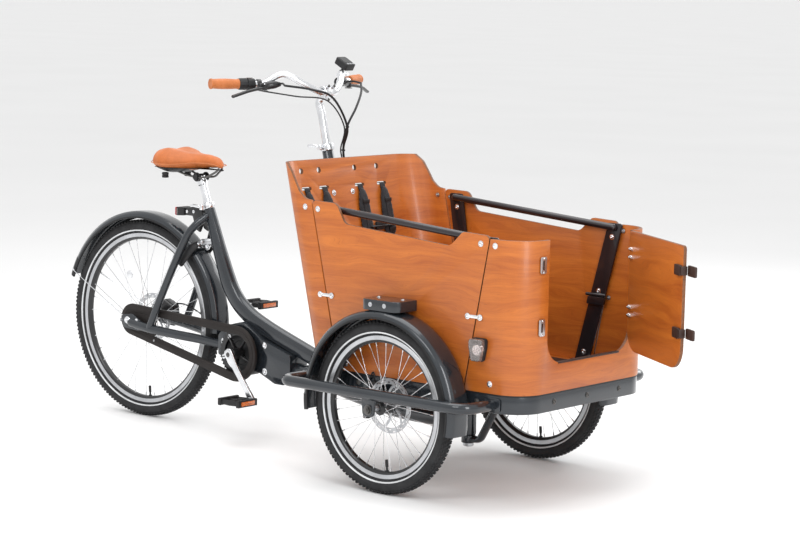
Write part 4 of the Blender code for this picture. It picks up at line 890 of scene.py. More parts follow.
# ------------------------------------------------------------------ repeats by geometry nodes
class Repeat:
    """Node trees that repeat one item round an axle, or on a set of points."""

    _trees: dict[str, bpy.types.NodeTree] = {}

    @classmethod
    def tree(cls, kind: str) -> bpy.types.NodeTree:
        """Return the tree called ``round`` or ``points``, built once.

        Args:
            kind: The tree's kind.

        Returns:
            The tree.
        """
        if kind not in cls._trees:
            cls._trees[kind] = cls._round() if kind == "round" else cls._points()
        return cls._trees[kind]

    @staticmethod
    def _start(name: str, *inputs: tuple[str, str]) -> tuple[bpy.types.NodeTree, bpy.types.Node,
            bpy.types.Node]:
        """Start a tree with named inputs; return it with its two end nodes.

        Args:
            name: The tree's name.
            *inputs: Pairs of a label and a socket type.

        Returns:
            The tree, its input node and its output node.
        """
        tree = bpy.data.node_groups.new(name, "GeometryNodeTree")
        tree.interface.new_socket("Geometry", in_out="INPUT", socket_type="NodeSocketGeometry")
        for label, kind in inputs:
            tree.interface.new_socket(label, in_out="INPUT", socket_type=kind)
        tree.interface.new_socket("Geometry", in_out="OUTPUT", socket_type="NodeSocketGeometry")
        return tree, tree.nodes.new("NodeGroupInput"), tree.nodes.new("NodeGroupOutput")

    @staticmethod
    def _finish(tree: bpy.types.NodeTree, geometry: bpy.types.NodeSocket, given: bpy.types.Node,
            output: bpy.types.Node) -> bpy.types.NodeTree:
        """Realize the instances, set the material and close the tree.

        Args:
            tree: The tree.
            geometry: The instances.
            given: The tree's input node.
            output: The tree's output node.

        Returns:
            The tree.
        """
        real = tree.nodes.new("GeometryNodeRealizeInstances")
        paint = tree.nodes.new("GeometryNodeSetMaterial")
        tree.links.new(geometry, real.inputs["Geometry"])
        tree.links.new(real.outputs["Geometry"], paint.inputs["Geometry"])
        tree.links.new(given.outputs["Material"], paint.inputs["Material"])
        tree.links.new(paint.outputs["Geometry"], output.inputs["Geometry"])
        return tree

    @classmethod
    def _round(cls) -> bpy.types.NodeTree:
        """Copies of an item, made about the origin, turned round the Y axis and moved to a centre.

        Returns:
            The tree.
        """
        tree, given, output = cls._start("repeat_round", ("Item", "NodeSocketObject"), ("Count",
            "NodeSocketInt"), ("Phase", "NodeSocketFloat"), ("Centre", "NodeSocketVector"), ("Material",
            "NodeSocketMaterial"))
        new, link = tree.nodes.new, tree.links.new
        points = new("GeometryNodePoints")
        info = new("GeometryNodeObjectInfo")
        place = new("GeometryNodeInstanceOnPoints")
        index = new("GeometryNodeInputIndex")
        share = new("ShaderNodeMath")
        share.operation = "DIVIDE"
        angle = new("ShaderNodeMath")
        angle.operation = "MULTIPLY_ADD"
        angle.inputs[1].default_value = 2 * pi
        turn = new("ShaderNodeCombineXYZ")
        link(given.outputs["Count"], points.inputs["Count"])
        link(given.outputs["Centre"], points.inputs["Position"])
        link(given.outputs["Item"], info.inputs["Object"])
        link(index.outputs[0], share.inputs[0])
        link(given.outputs["Count"], share.inputs[1])
        link(share.outputs[0], angle.inputs[0])
        link(given.outputs["Phase"], angle.inputs[2])
        link(angle.outputs[0], turn.inputs["Y"])
        link(points.outputs[0], place.inputs["Points"])
        link(info.outputs["Geometry"], place.inputs["Instance"])
        link(turn.outputs[0], place.inputs["Rotation"])
        return cls._finish(tree, place.outputs["Instances"], given, output)

    @classmethod
    def _points(cls) -> bpy.types.NodeTree:
        """Copies of an item on the points of a mesh, its Z axis along the points' aim.

        Returns:
            The tree.
        """
        tree, given, output = cls._start("repeat_on_points", ("Item", "NodeSocketObject"), ("Material",
            "NodeSocketMaterial"))
        new, link = tree.nodes.new, tree.links.new
        info = new("GeometryNodeObjectInfo")
        place = new("GeometryNodeInstanceOnPoints")
        aim = new("GeometryNodeInputNamedAttribute")
        aim.data_type = "FLOAT_VECTOR"
        aim.inputs["Name"].default_value = "aim"
        align = new("FunctionNodeAlignRotationToVector")
        align.axis = "Z"
        link(given.outputs["Geometry"], place.inputs["Points"])
        link(given.outputs["Item"], info.inputs["Object"])
        link(info.outputs["Geometry"], place.inputs["Instance"])
        link(aim.outputs[0], align.inputs["Vector"])
        link(align.outputs[0], place.inputs["Rotation"])
        return cls._finish(tree, place.outputs["Instances"], given, output)

    @classmethod
    def _run(cls, name: str, kind: str, base: bpy.types.Mesh, item: Shape, finish: Finish, body: str,
            **values: object) -> bpy.types.Object:
        """Run a tree on a base mesh and keep the result as a plain piece.

        Args:
            name: The piece's name.
            kind: The tree's kind.
            base: The mesh that it runs on.
            item: The body to repeat.
            finish: The finish of every copy.
            body: The body that it rides on.
            **values: The tree's other inputs by name.

        Returns:
            The finished piece.
        """
        pattern = loose("item", item, [])
        pattern.data.shade_smooth()
        pattern.data.set_sharp_from_angle(angle=radians(38))
        obj = bpy.data.objects.new(name, base)
        bpy.context.scene.collection.objects.link(obj)
        modifier = obj.modifiers.new("repeat", "NODES")
        modifier.node_group = cls.tree(kind)
        values.update(Item=pattern, Material=finish.material)
        for socket in modifier.node_group.interface.items_tree:
            if socket.in_out == "INPUT" and socket.name in values:
                modifier[socket.identifier] = values[socket.name]
        baked(obj)
        bpy.data.objects.remove(pattern)
        if finish.material.name not in [m.name for m in obj.data.materials if m]:
            obj.data.materials.append(finish.material)
        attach(obj, body)
        return obj

    @classmethod
    def round(cls, name: str, item: Shape, count: int, centre: Vector, finish: Finish, body: str,
            phase: float = 0.0) -> bpy.types.Object:
        """Repeat an item ``count`` times round an axle through ``centre``."""
        return cls._run(name, "round", bpy.data.meshes.new(name), item, finish, body, Count=count,
            Phase=phase, Centre=tuple(centre))

    @classmethod
    def points(cls, name: str, item: Shape, places: Sequence[tuple[Vector, Sequence[float]]],
            finish: Finish, body: str) -> bpy.types.Object:
        """Repeat an item at each (place, direction of its Z axis).

        Args:
            name: The piece's name.
            item: The body to repeat.
            places: Pairs of a place and the direction of the item's Z axis.
            finish: The finish of every copy.
            body: The body that it rides on.

        Returns:
            The finished piece.
        """
        base = bpy.data.meshes.new(name)
        base.from_pydata([place for place, _ in places], [], [])
        attribute = base.attributes.new("aim", "FLOAT_VECTOR", "POINT")
        attribute.data.foreach_set("vector", [c for _, aim in places for c in Vector(aim).normalized()])
        return cls._run(name, "points", base, item, finish, body)


def bolt_head(radius: float, height: float) -> Shape:
    """Button head with a hexagon socket, standing on the origin along +Z.

    Args:
        radius: Radius of the head.
        height: Height.

    Returns:
        The head.
    """
    profile = [(radius * 1.45, 0.0), (radius * 1.45, height * 0.22), (radius, height * 0.25),
        (radius * 0.92, height * 0.75), (radius * 0.62, height), (radius * 0.4, height), (radius * 0.38,
        height * 0.45)]
    return lathe(profile, (0, 0, 0), (0, 0, 1), 12)


def bolted(name: str, size: Pair, places: Sequence[tuple[Vector, Sequence[float]]], finish: Finish,
        body: str) -> bpy.types.Object:
    """Set button heads at places."""
    return Repeat.points(name, bolt_head(*size), places, finish, body)


def hex_nut(radius: float, height: float) -> Shape:
    """Hexagon nut with a washer and the end of its bolt, along +Z.

    Args:
        radius: Distance from the middle to a corner.
        height: Height.

    Returns:
        The nut.
    """
    nut = lathe([(radius, 0.001), (radius, height), (radius * 0.85, height)], (0, 0, 0), (0, 0, 1), 6)
    washer = lathe([(radius * 1.35, 0.0), (radius * 1.35, 0.0012)], (0, 0, 0), (0, 0, 1), 20)
    end = rod((0, 0, height), (0, 0, height * 1.45), radius * 0.5, 12, 0.0006)
    return merged(nut, washer, end)


# ------------------------------------------------------------------ wheels
@dataclass
class Wheel:
    """One spoked wheel with its tyre, rim, hub and disc.

    Attributes:
        name: Short name that starts each piece's name.
        body: The body that turns.
        centre: Middle of the wheel.
        flange: Radius of the rim's flange.
        outside: Radius of the tyre's tread.
        disc_y: Distance of the brake disc from the middle plane, with its sign.
        nodes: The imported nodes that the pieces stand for: tyre, wheel.
        hub_radius: Radius of the hub's flanges.
        hub_half: Half of the hub's length.
    """

    name: str
    body: str
    centre: Vector
    flange: float
    outside: float
    disc_y: float
    nodes: tuple[str, str]
    hub_radius: float
    hub_half: float
    width: float = 0.046
    rim_half: float = 0.0125
    rim_depth: float = 0.022
    tread_depth: float = 0.0022
    disc_radius: float = 0.08
    axis: Vector = field(default_factory=lambda: Vector((0, 1, 0)))

    def turned(self, profile: Sequence[Pair], sides: int = 96, closed: bool = True) -> Shape:
        """Turn a (radius, y) profile round the wheel's axle."""
        return lathe(profile, self.centre, self.axis, sides, closed)

    def tyre(self) -> None:
        """Carcass with a bead, a flank rib and a rounded crown, and the tread blocks on it."""
        half, seat = self.width / 2, self.flange + 0.0004
        crown = self.outside - self.tread_depth
        middle = (seat + crown) / 2 + 0.001
        tall = crown - middle
        outer = [(middle + tall * sin(t), half * cos(t) * (1.0 - 0.04 * sin(t)))
            for t in [radians(-38 + 256 * k / 26) for k in range(27)]]
        profile = [(seat, self.rim_half - 0.0015), (seat + 0.0022, self.rim_half + 0.0012),
            *[p for p in outer if p[0] > seat + 0.003], (seat + 0.0022, -self.rim_half - 0.0012), (seat,
            -self.rim_half + 0.0015)]
        body = self.turned(profile)
        band = []
        for side in (-1, 1):
            inner = seat + 0.0062
            y = half * cos(atan2(inner + 0.001 - middle, tall)) * side
            band.append(self.turned([(inner, y * 0.9), (inner, y * 1.002 + side * 0.0002), (inner + 0.0042,
                y * 1.052 + side * 0.0003), (inner + 0.0042, y * 0.94)]))
        piece(f"{self.name}_tyre_casing", body, self.body, Finish.TYRE, smooth=50.0,
            replaces=[self.nodes[0]])
        piece(f"{self.name}_reflective_bands", merged(*band), self.body, Finish.BAND, smooth=50.0)
        self.tread(crown, half)

    def tread(self, crown: float, half: float) -> None:
        """Rows of small blocks round the crown, each row out of step with the next.

        Args:
            crown: Radius of the carcass at its crown.
            half: Half of the tyre's width.
        """
        count = round(2 * pi * self.outside / 0.0145)
        for row, (share, length, wide) in enumerate(((0.0, 0.0105, 0.0075), (0.42, 0.01, 0.0072), (0.76,
                0.0085, 0.0058))):
            for side in ((1,) if share == 0 else (-1, 1)):
                y = half * share * side
                drop = (crown - self.flange) * 0.5 * (1.0 - sqrt(max(0.0, 1.0 - (share * 0.97) ** 2)))
                base = crown - drop - 0.0006
                top = min(self.outside, base + self.tread_depth + 0.0005)
                lean = share * side * 0.0018
                rings = []
                for level, shrink in ((base, 1.0), (top, 0.8)):
                    shift = 0.0 if level == base else lean
                    rings.append([Vector((x * shrink, y + shift + w * shrink, level))
                        for x, w in ((-length / 2, -wide / 2), (length / 2 - 0.002, -wide / 2),
                        (length / 2, 0.0), (length / 2 - 0.002, wide / 2), (-length / 2, wide / 2),
                        (-length / 2 + 0.002, 0.0))])
                phase = (row % 2) * pi / count
                name = f"{self.name}_tread_{row}_{'left' if side > 0 else 'right'}"
                Repeat.round(name, skin(rings), count, self.centre, Finish.TYRE, self.body, phase)

    def rim(self) -> None:
        """Double-walled rim: bright side walls and a black inner wall."""
        half, top, low = self.rim_half, self.flange, self.flange - self.rim_depth
        profile = [(top, -half), (top - 0.0012, -half - 0.0009), (top - 0.0035, -half - 0.0003),
            (top - 0.013, -half + 0.0002), (low + 0.0035, -half + 0.0028), (low + 0.0004, -half * 0.48),
            (low, -half * 0.3), (low, half * 0.3), (low + 0.0004, half * 0.48), (low + 0.0035,
            half - 0.0028), (top - 0.013, half - 0.0002), (top - 0.0035, half + 0.0003), (top - 0.0012,
            half + 0.0009), (top, half)]
        bm = tinted(self.turned(profile),
            1, lambda face: (face.calc_center_median() - self.centre).length < top - 0.0118)
        piece(f"{self.name}_rim", bm, self.body, Finish.STEEL, Finish.BLACK_METAL, smooth=28.0)
        angle = -pi / 2 + pi / 36
        out = Vector((cos(angle), 0, sin(angle)))
        foot = self.centre + out * low
        stem = merged(rod(foot, foot - out * 0.02, 0.0032, 14),
            rod(foot - out * 0.012, foot - out * 0.034, 0.0045, 14, 0.0012),
            lathe([(0.0062, 0.0), (0.0062, 0.0028)], foot, -out, 6))
        piece(f"{self.name}_valve", stem, self.body, Finish.BLACK)

    def spokes(self) -> None:
        """Thirty-six crossed spokes, four to a group and nine groups round the wheel."""
        low = self.flange - self.rim_depth
        wires, nipples = [], []
        for k in range(4):
            side = 1 if k % 2 else -1
            ahead = 1 if k < 2 else -1
            theta = 2 * pi * k / 36
            phi = theta + ahead * radians(52)
            root = self.hub_radius - 0.003
            inner = Vector((root * cos(phi), side * (self.hub_half * 0.62 + ahead * 0.0016),
                root * sin(phi)))
            outer = Vector((low * cos(theta), side * 0.003, low * sin(theta)))
            line = (outer - inner).normalized()
            wires.append(rod(inner, outer, 0.0009, 8))
            nipples.append(rod(outer - line * 0.011, outer + line * 0.001, 0.002, 8, 0.0005))
        Repeat.round(f"{self.name}_spokes", merged(*wires), 9, self.centre, Finish.CHROME, self.body)
        Repeat.round(f"{self.name}_nipples", merged(*nipples), 9, self.centre, Finish.CHROME, self.body)

    def hub(self) -> None:
        """Hub shell with two drilled flanges."""
        flange, half = self.hub_radius, self.hub_half
        side = half * 0.62
        profile = [(0.0068, -half), (flange * 0.42, -half), (flange * 0.5, -half + 0.004), (flange * 0.6,
            -side - 0.005), (flange * 0.97, -side - 0.0022), (flange, -side - 0.0012), (flange,
            -side + 0.0012), (flange * 0.97, -side + 0.0022), (flange * 0.66, -side + 0.006),
            (flange * 0.58, -side * 0.4), (flange * 0.58, side * 0.4), (flange * 0.66, side - 0.006),
            (flange * 0.97, side - 0.0022), (flange, side - 0.0012), (flange, side + 0.0012),
            (flange * 0.97, side + 0.0022), (flange * 0.6, side + 0.005), (flange * 0.5, half - 0.004),
            (flange * 0.42, half), (0.0068, half)]
        piece(f"{self.name}_hub", self.turned(profile, 40), self.body, Finish.BLACK_METAL, smooth=30.0,
            replaces=[self.nodes[1]])

    def disc(self) -> None:
        """Drilled brake disc: a ring with rows of holes on six curved arms."""
        thick, sides, side = 0.0009, 96, 1 if self.disc_y > 0 else -1
        radii = [self.disc_radius * share for share in (0.8, 0.845, 0.885, 0.925, 0.965, 1.0)]
        bm = bmesh.new()
        grid = [[bm.verts.new(self.centre + Vector((r * cos(2 * pi * k / sides), self.disc_y,
            r * sin(2 * pi * k / sides)))) for k in range(sides)] for r in radii]
        for i in range(len(radii) - 1):
            for k in range(sides):
                if (i == 1 and k % 6 in (0, 1)) or (i == 3 and k % 6 in (3, 4)) or (i == 2 and k % 12 == 8):
                    continue
                j = (k + 1) % sides
                bm.faces.new((grid[i][k], grid[i + 1][k], grid[i + 1][j], grid[i][j]))
        obj = loose(f"{self.name}_brake_disc", bm, [Finish.STEEL])
        wall = obj.modifiers.new("wall", "SOLIDIFY")
        wall.thickness, wall.offset = 2 * thick, 0.0
        dressed(baked(obj), self.body, [Finish.STEEL])
        arm = []
        for k in range(5):
            t = k / 4
            radius = self.disc_radius * (0.24 + 0.59 * t)
            angle = radians(-34) * t
            arm.append(Vector((radius * cos(angle), self.disc_y, radius * sin(angle))))
        strip = sweep(arm, (0.0042, 0.0008), 10)
        Repeat.round(f"{self.name}_disc_arms", strip, 6, self.centre, Finish.STEEL, self.body, radians(12))
        carrier = [(0.01, -0.0016), (0.021, -0.0016), (0.022, 0.0), (0.021, 0.0016), (0.01, 0.0016)]
        shifted = [(r, y + self.disc_y) for r, y in carrier]
        piece(f"{self.name}_disc_carrier", self.turned(shifted, 36), self.body, Finish.BLACK_METAL)
        ring = [(self.centre + Vector((0.0165 * cos(k * pi / 3), self.disc_y + side * 0.0012,
            0.0165 * sin(k * pi / 3))), (0, side, 0)) for k in range(6)]
        bolted(f"{self.name}_disc_bolts", (0.003, 0.0022), ring, Finish.STEEL, self.body)

    def build(self) -> None:
        """Build every piece of the wheel."""
        self.tyre()
        self.rim()
        self.spokes()
        self.hub()
        self.disc()


@dataclass
class RearWheel(Wheel):
    """Rear wheel: a larger hub, and a round reflector clipped to one spoke."""

    reflector_radius: float = 0.014

    def reflector(self) -> None:
        """Small bright disc on a spoke."""
        angle = radians(116)
        where = self.centre + Vector((0.155 * cos(angle), -0.012, 0.155 * sin(angle)))
        body = lathe([(self.reflector_radius, -0.003), (self.reflector_radius, 0.002),
            (self.reflector_radius * 0.8, 0.003)], where, (0, 1, 0), 28)
        piece(f"{self.name}_spoke_disc", body, self.body, Finish.CHROME, bevel=0.0006)

    def sprocket(self) -> None:
        """Toothed sprocket for the chain, and its lock ring."""
        radius, y, teeth = 0.0372, -0.05, 19
        outline = []
        for k in range(teeth):
            for share, r in ((0.0, -0.0028), (0.3, -0.0008), (0.42, 0.0028), (0.58, 0.0028), (0.7,
                    -0.0008)):
                angle = 2 * pi * (k + share) / teeth
                outline.append((self.centre.x + (radius + r) * cos(angle),
                    self.centre.z + (radius + r) * sin(angle)))
        piece(f"{self.name}_sprocket", prism(outline, y - 0.0012, y + 0.0012, shift=Vector()), "sprocket",
            Finish.DARK_STEEL, smooth=25.0, replaces=["rear_sprocket"])
        ring = self.turned(rect(0.0068, -0.0395, 0.019, -0.0487), 36)
        piece(f"{self.name}_lock_ring", ring, "sprocket", Finish.STEEL, bevel=0.0006)

    def build(self) -> None:
        """Build the wheel, its reflector and its sprocket."""
        super().build()
        self.reflector()
        self.sprocket()


def wheels() -> None:
    """Build the rear wheel and both front wheels."""
    RearWheel("rear", "rear_wheel_set", at(0, 0, 0.33), 0.2855, 0.33, 0.034, ("rear_tyre", "rear_wheel"),
        0.03, 0.038).build()
    for side, name in SIDES:
        Wheel(f"front_{name}", f"{name}_front_wheel_set", at(1.361, side * 0.372, 0.2535), 0.209, 0.2535,
            -side * 0.024, (f"front_tyre_{name}", f"front_wheel_{name}"), 0.022, 0.03).build()


# ------------------------------------------------------------------ soft padding
@dataclass(frozen=True)
class Padding:
    """How a padded piece is filled: pressure under its cover, and how far the cover may move."""

    voxel: float = 0.005
    pressure: float = 4.0
    reach: float = 0.006
    frames: int = 18

    def fill(self, obj: bpy.types.Object, pinned: Callable[[Vector], bool] = lambda place: False) -> None:
        """Args:
            obj: The piece's plain shape.
            pinned: Says whether a place is held.
        """
        remesh = obj.modifiers.new("remesh", "REMESH")
        remesh.mode, remesh.voxel_size = "VOXEL", self.voxel
        baked(obj)
        start = [vertex.co.copy() for vertex in obj.data.vertices]
        group = obj.vertex_groups.new(name="held")
        group.add([i for i, place in enumerate(start) if pinned(place)], 1.0, "REPLACE")
        cloth = obj.modifiers.new("cloth", "CLOTH")
        cloth.settings.use_pressure = True
        cloth.settings.uniform_pressure_force = self.pressure
        cloth.settings.effector_weights.gravity = 0.0
        cloth.settings.vertex_group_mass = group.name
        scene = bpy.context.scene
        cloth.point_cache.frame_start, cloth.point_cache.frame_end = 1, self.frames
        for number in range(1, self.frames + 1):
            scene.frame_set(number)
        baked(obj)
        scene.frame_set(1)
        for vertex, rest in zip(obj.data.vertices, start):
            move = vertex.co - rest
            vertex.co = rest + move * min(1.0, self.reach / max(move.length, 1e-9))
        calm = obj.modifiers.new("calm", "SMOOTH")
        calm.iterations, calm.factor = 4, 0.5
        finer = obj.modifiers.new("finer", "SUBSURF")
        finer.levels = finer.render_levels = 1
        baked(obj)


# ------------------------------------------------------------------ rear frame
def squared(high: float, wide: float, count: int) -> list[Pair]:
    """Return a section between an ellipse and a box.

    Args:
        high: Power of the cosine; 1 makes an ellipse, less makes it square.
        wide: Power of the sine.
        count: Points round the section.

    Returns:
        The section's points.
    """
    angles = [2 * pi * k / count for k in range(count)]
    return [(abs(cos(t)) ** high * (1 if cos(t) > 0 else -1),
        abs(sin(t)) ** wide * (1 if sin(t) > 0 else -1)) for t in angles]


def mudguard(centre: Vector, radius: float, width: float, start: float, end: float, steps: int = 72,
        depth: float = 0.018, wall: float = 0.0032) -> list[Shape]:
    """Arched sheet with turned-down flanks, and the rubber trim along its two edges.

    Args:
        centre: Middle of the wheel.
        radius: Radius of the sheet's inside.
        width: Its width.
        start: Angle of its rear end.
        end: Angle of its front end.
        steps: Spans along it.
        depth: Depth of the flanks.
        wall: Thickness.

    Returns:
        The sheet and its trim.
    """
    half = width / 2
    curve = [(radius - depth, half), (radius - depth * 0.5, half * 0.985), (radius - 0.006, half * 0.93),
        (radius - 0.0015, half * 0.8), (radius, half * 0.55), (radius + 0.0005, half * 0.2)]
    inner = [(r, -y) for r, y in curve] + [(r, y) for r, y in reversed(curve)]
    outer = [(r + wall * (0.25 if abs(y) > half * 0.9 else 1.0), y + wall * 0.7 * (y / half) ** 3)
        for r, y in reversed(inner)]

    def ring(profile: Sequence[Pair], angle: float) -> list[Vector]:
        """Place a profile at an angle round the wheel."""
        return [centre + Vector((r * cos(angle), y, r * sin(angle))) for r, y in profile]

    angles = [start + (end - start) * k / steps for k in range(steps + 1)]
    sheet = skin([ring(inner + outer, angle) for angle in angles])
    trims = []
    for side in (-1, 1):
        y, r = side * (half + wall * 0.35), radius - depth
        edge = [(r - 0.0022, y - 0.0026), (r - 0.0022, y + 0.0026), (r + 0.0034, y + 0.0024), (r + 0.0034,
            y - 0.0024)]
        trims.append(skin([ring(edge, angle) for angle in angles]))
    return [sheet, merged(*trims)]


@dataclass
class RearFrame:
    """Seat tube and curved main tube, lower tube, stays, mudguard, lock and tail lamp."""

    body: str = "rear_frame"
    axle: Vector = field(default_factory=lambda: at(0, 0, 0.33))
    line: tuple[Pair, ...] = ((0.281, 0.737), (0.303, 0.68), (0.345, 0.57), (0.392, 0.468), (0.455, 0.402),
        (0.55, 0.355), (0.76, 0.284), (0.905, 0.236))
    seat_radius: float = 0.0165
    high: float = 0.0275
    wide: float = 0.0205
    head: Vector = field(default_factory=lambda: at(1.381, 0, 0.1665))
    dropout_y: float = 0.083

    def main_tube(self) -> None:
        """Tube that leaves the saddle round and grows into a tall squared section."""
        points = smooth_path([at(x, 0, z) for x, z in self.line], 8)
        radii = []
        for point in points:
            grow = min(1.0, max(0.0, (0.717 - point.z) / 0.22))
            radii.append((self.seat_radius + (self.high - self.seat_radius) * grow,
                self.seat_radius + (self.wide - self.seat_radius) * grow))
        tube = sweep(points, radii, section=squared(0.78, 0.78, 32))
        piece("main_tube_shell", tube, self.body, Finish.FRAME, smooth=60.0, replaces=["main_tube"])
        lean = (points[0] - points[8]).normalized()
        top = points[0]
        collar = lathe([(0.0145, -0.02), (0.0195, -0.02), (0.0205, -0.018), (0.0205, -0.002), (0.0195,
            0.0), (0.0145, 0.0)], top, lean, 40, closed=True)
        ears = sweep([top + Vector((0.004, -0.016, -0.012)), top + Vector((0.004, 0.018, -0.012))], 0.0065,
            14)
        piece("seat_clamp_collar", merged(collar, ears), self.body, Finish.ALLOY, bevel=0.0008)

    def lower_tube(self) -> None:
        """Lower tube to the head tube, and the welded plates that hold the drive unit."""
        path = smooth_path([at(0.64, 0, 0.232), at(0.78, 0, 0.222), at(0.96, 0, 0.19), at(1.13, 0, 0.168),
            self.head], 8)
        tube = sweep(path, 0.0298, 36)
        sleeve = lathe([(0.0135, -0.038), (0.0225, -0.038), (0.0228, -0.034), (0.0228, 0.034), (0.0225,
            0.038), (0.0135, 0.038)], self.head, (0, 0, 1), 40, closed=True)
        piece("lower_tube_shell", merged(tube, sleeve), self.body, Finish.FRAME, smooth=50.0,
            replaces=["lower_tube"])
        outline = rounded([(0.375, 0.255), (0.375, 0.318), (0.405, 0.352), (0.48, 0.372), (0.56, 0.325),
            (0.69, 0.285), (0.69, 0.2), (0.665, 0.188), (0.625, 0.188), (0.56, 0.215)], [0.008, 0.012,
            0.03, 0.03, 0.05, 0.012, 0.02, 0.02, 0.02, 0.02], 6)
        shell = loose("drive_bracket", prism(outline, -0.0405, 0.0405), [Finish.FRAME])
        cut(shell, rod(at(0.472, -0.2, 0.27), at(0.472, 0.2, 0.27), 0.0775, 64),
            prism(rounded([(0.5, 0.15), (0.69, 0.15), (0.69, 0.205), (0.6, 0.26), (0.5, 0.28)], 0.02, 4),
            -0.034, 0.034))
        dressed(shell, self.body, [Finish.FRAME], bevel=0.0022)
        bolts = [(at(x, side * 0.0405, z), (0, side, 0)) for side in (-1, 1)
            for x, z in ((0.578, 0.306), (0.582, 0.222), (0.4, 0.3))]
        bolted("drive_bracket_bolts", (0.0075, 0.005), bolts, Finish.CHROME, self.body)

    def stays(self, side: int, name: str) -> None:
        """Seat stay, chain stay and dropout of one side, with its chain adjuster.

        Args:
            side: -1 on the right, 1 on the left.
            name: Name of the side, for the pieces' names.
        """
        outer = self.dropout_y
        chain = [(0.012, -outer, 0.322), (0.1, -outer, 0.312), (0.2, -0.066, 0.303), (0.29, -0.043, 0.295),
            (0.345, -0.0335, 0.289), (0.372, -0.029, 0.286)]
        seat = [(0.29, -0.016, 0.694), (0.262, -0.045, 0.66), (0.235, -0.062, 0.61), (0.15, -outer + 0.002,
            0.42), (0.1, -outer, 0.314)]
        tubes = merged(sweep(smooth_path([at(*p) for p in chain], 8), (0.015, 0.012), 24, True),
            sweep(smooth_path([at(*p) for p in seat], 8), (0.0128, 0.0125), 24, True))
        piece(f"stays_{name}_tubes", mirrored(tubes, side), self.body, Finish.FRAME, smooth=50.0,
            replaces=[f"stays_{name}"])
        outline = rounded([(-0.03, 0.346), (-0.022, 0.304), (0.058, 0.298), (0.064, 0.33), (0.02, 0.353)],
            [0.012, 0.016, 0.012, 0.012, 0.012], 6)
        tongue = prism(outline, -outer - 0.003, -outer + 0.003)
        piece(f"dropout_{name}", mirrored(tongue, side), self.body, Finish.FRAME, bevel=0.001)
        y = -outer - 0.0035
        screw = merged(rod(at(-0.034, y + 0.004, 0.327), at(-0.008, y + 0.004, 0.329), 0.0028, 14, 0.0006),
            lathe([(0.0058, 0.0), (0.0058, 0.005)], at(-0.036, y + 0.004, 0.3268), (1, 0, 0), 6))
        piece(f"chain_adjuster_{name}", mirrored(screw, side), self.body, Finish.STEEL)
        nuts = [(at(0, side * (outer + 0.0032), 0.33), (0, side, 0))]
        Repeat.points(f"rear_axle_nut_{name}", hex_nut(0.009, 0.0078), nuts, Finish.CHROME, self.body)
        eyes = [(at(x, side * (outer + 0.003), z), (0, side, 0))
            for x, z in ((0.042, 0.333), (0.052, 0.31))]
        bolted(f"dropout_bolts_{name}", (0.0045, 0.003), eyes, Finish.CHROME, self.body)

    def caliper(self) -> None:
        """Rear brake caliper on the left stay, its pads over the disc."""
        outline = rounded([(0.03, 0.378), (0.052, 0.396), (0.094, 0.378), (0.098, 0.345), (0.066, 0.35),
            (0.044, 0.362)], 0.006, 4)
        shell = prism(outline, 0.0365, 0.06)
        hump = merged(rod(at(0.062, 0.05, 0.377), at(0.062, 0.066, 0.377), 0.0125, 24, 0.002),
            prism(outline, 0.022, 0.0318), rod(at(0.09, 0.045, 0.352), at(0.094, 0.078, 0.34), 0.0045, 12))
        piece("rear_caliper", merged(shell, hump), self.body, Finish.BLACK_METAL, bevel=0.0012)
        hose = smooth_path([at(0.088, 0.056, 0.382), at(0.12, 0.07, 0.378), at(0.19, 0.074, 0.352),
            at(0.285, 0.052, 0.318), at(0.352, 0.036, 0.306)], 6)
        piece("rear_brake_hose", sweep(hose, 0.0026, 10), self.body, Finish.CABLE)

    def mudguard(self) -> None:
        """Rear mudguard with black edge trim, a moulded end and two stay wires."""
        sheet, trim = mudguard(self.axle, 0.356, 0.066, radians(161), radians(-2))
        piece("rear_mudguard_sheet", sheet, self.body, Finish.FRAME, smooth=45.0,
            replaces=["rear_mudguard"])
        piece("rear_mudguard_trim", trim, self.body, Finish.TRIM)
        end, _ = mudguard(self.axle, 0.3563, 0.0672, radians(161), radians(150), 10)
        piece("rear_mudguard_end", end, self.body, Finish.TRIM, smooth=45.0)
        wires = []
        for side in (-1, 1):
            start = self.axle + Vector((0.343 * cos(radians(157)), side * 0.035, 0.343 * sin(radians(157))))
            wires.append(sweep(smooth_path([start, start + Vector((0.02, side * 0.012, -0.006)),
                at(-0.04, side * 0.076, 0.345), at(0.034, side * 0.078, 0.318)], 5), 0.0014, 10, True))
        piece("mudguard_stay_wires", merged(*wires), self.body, Finish.CHROME)

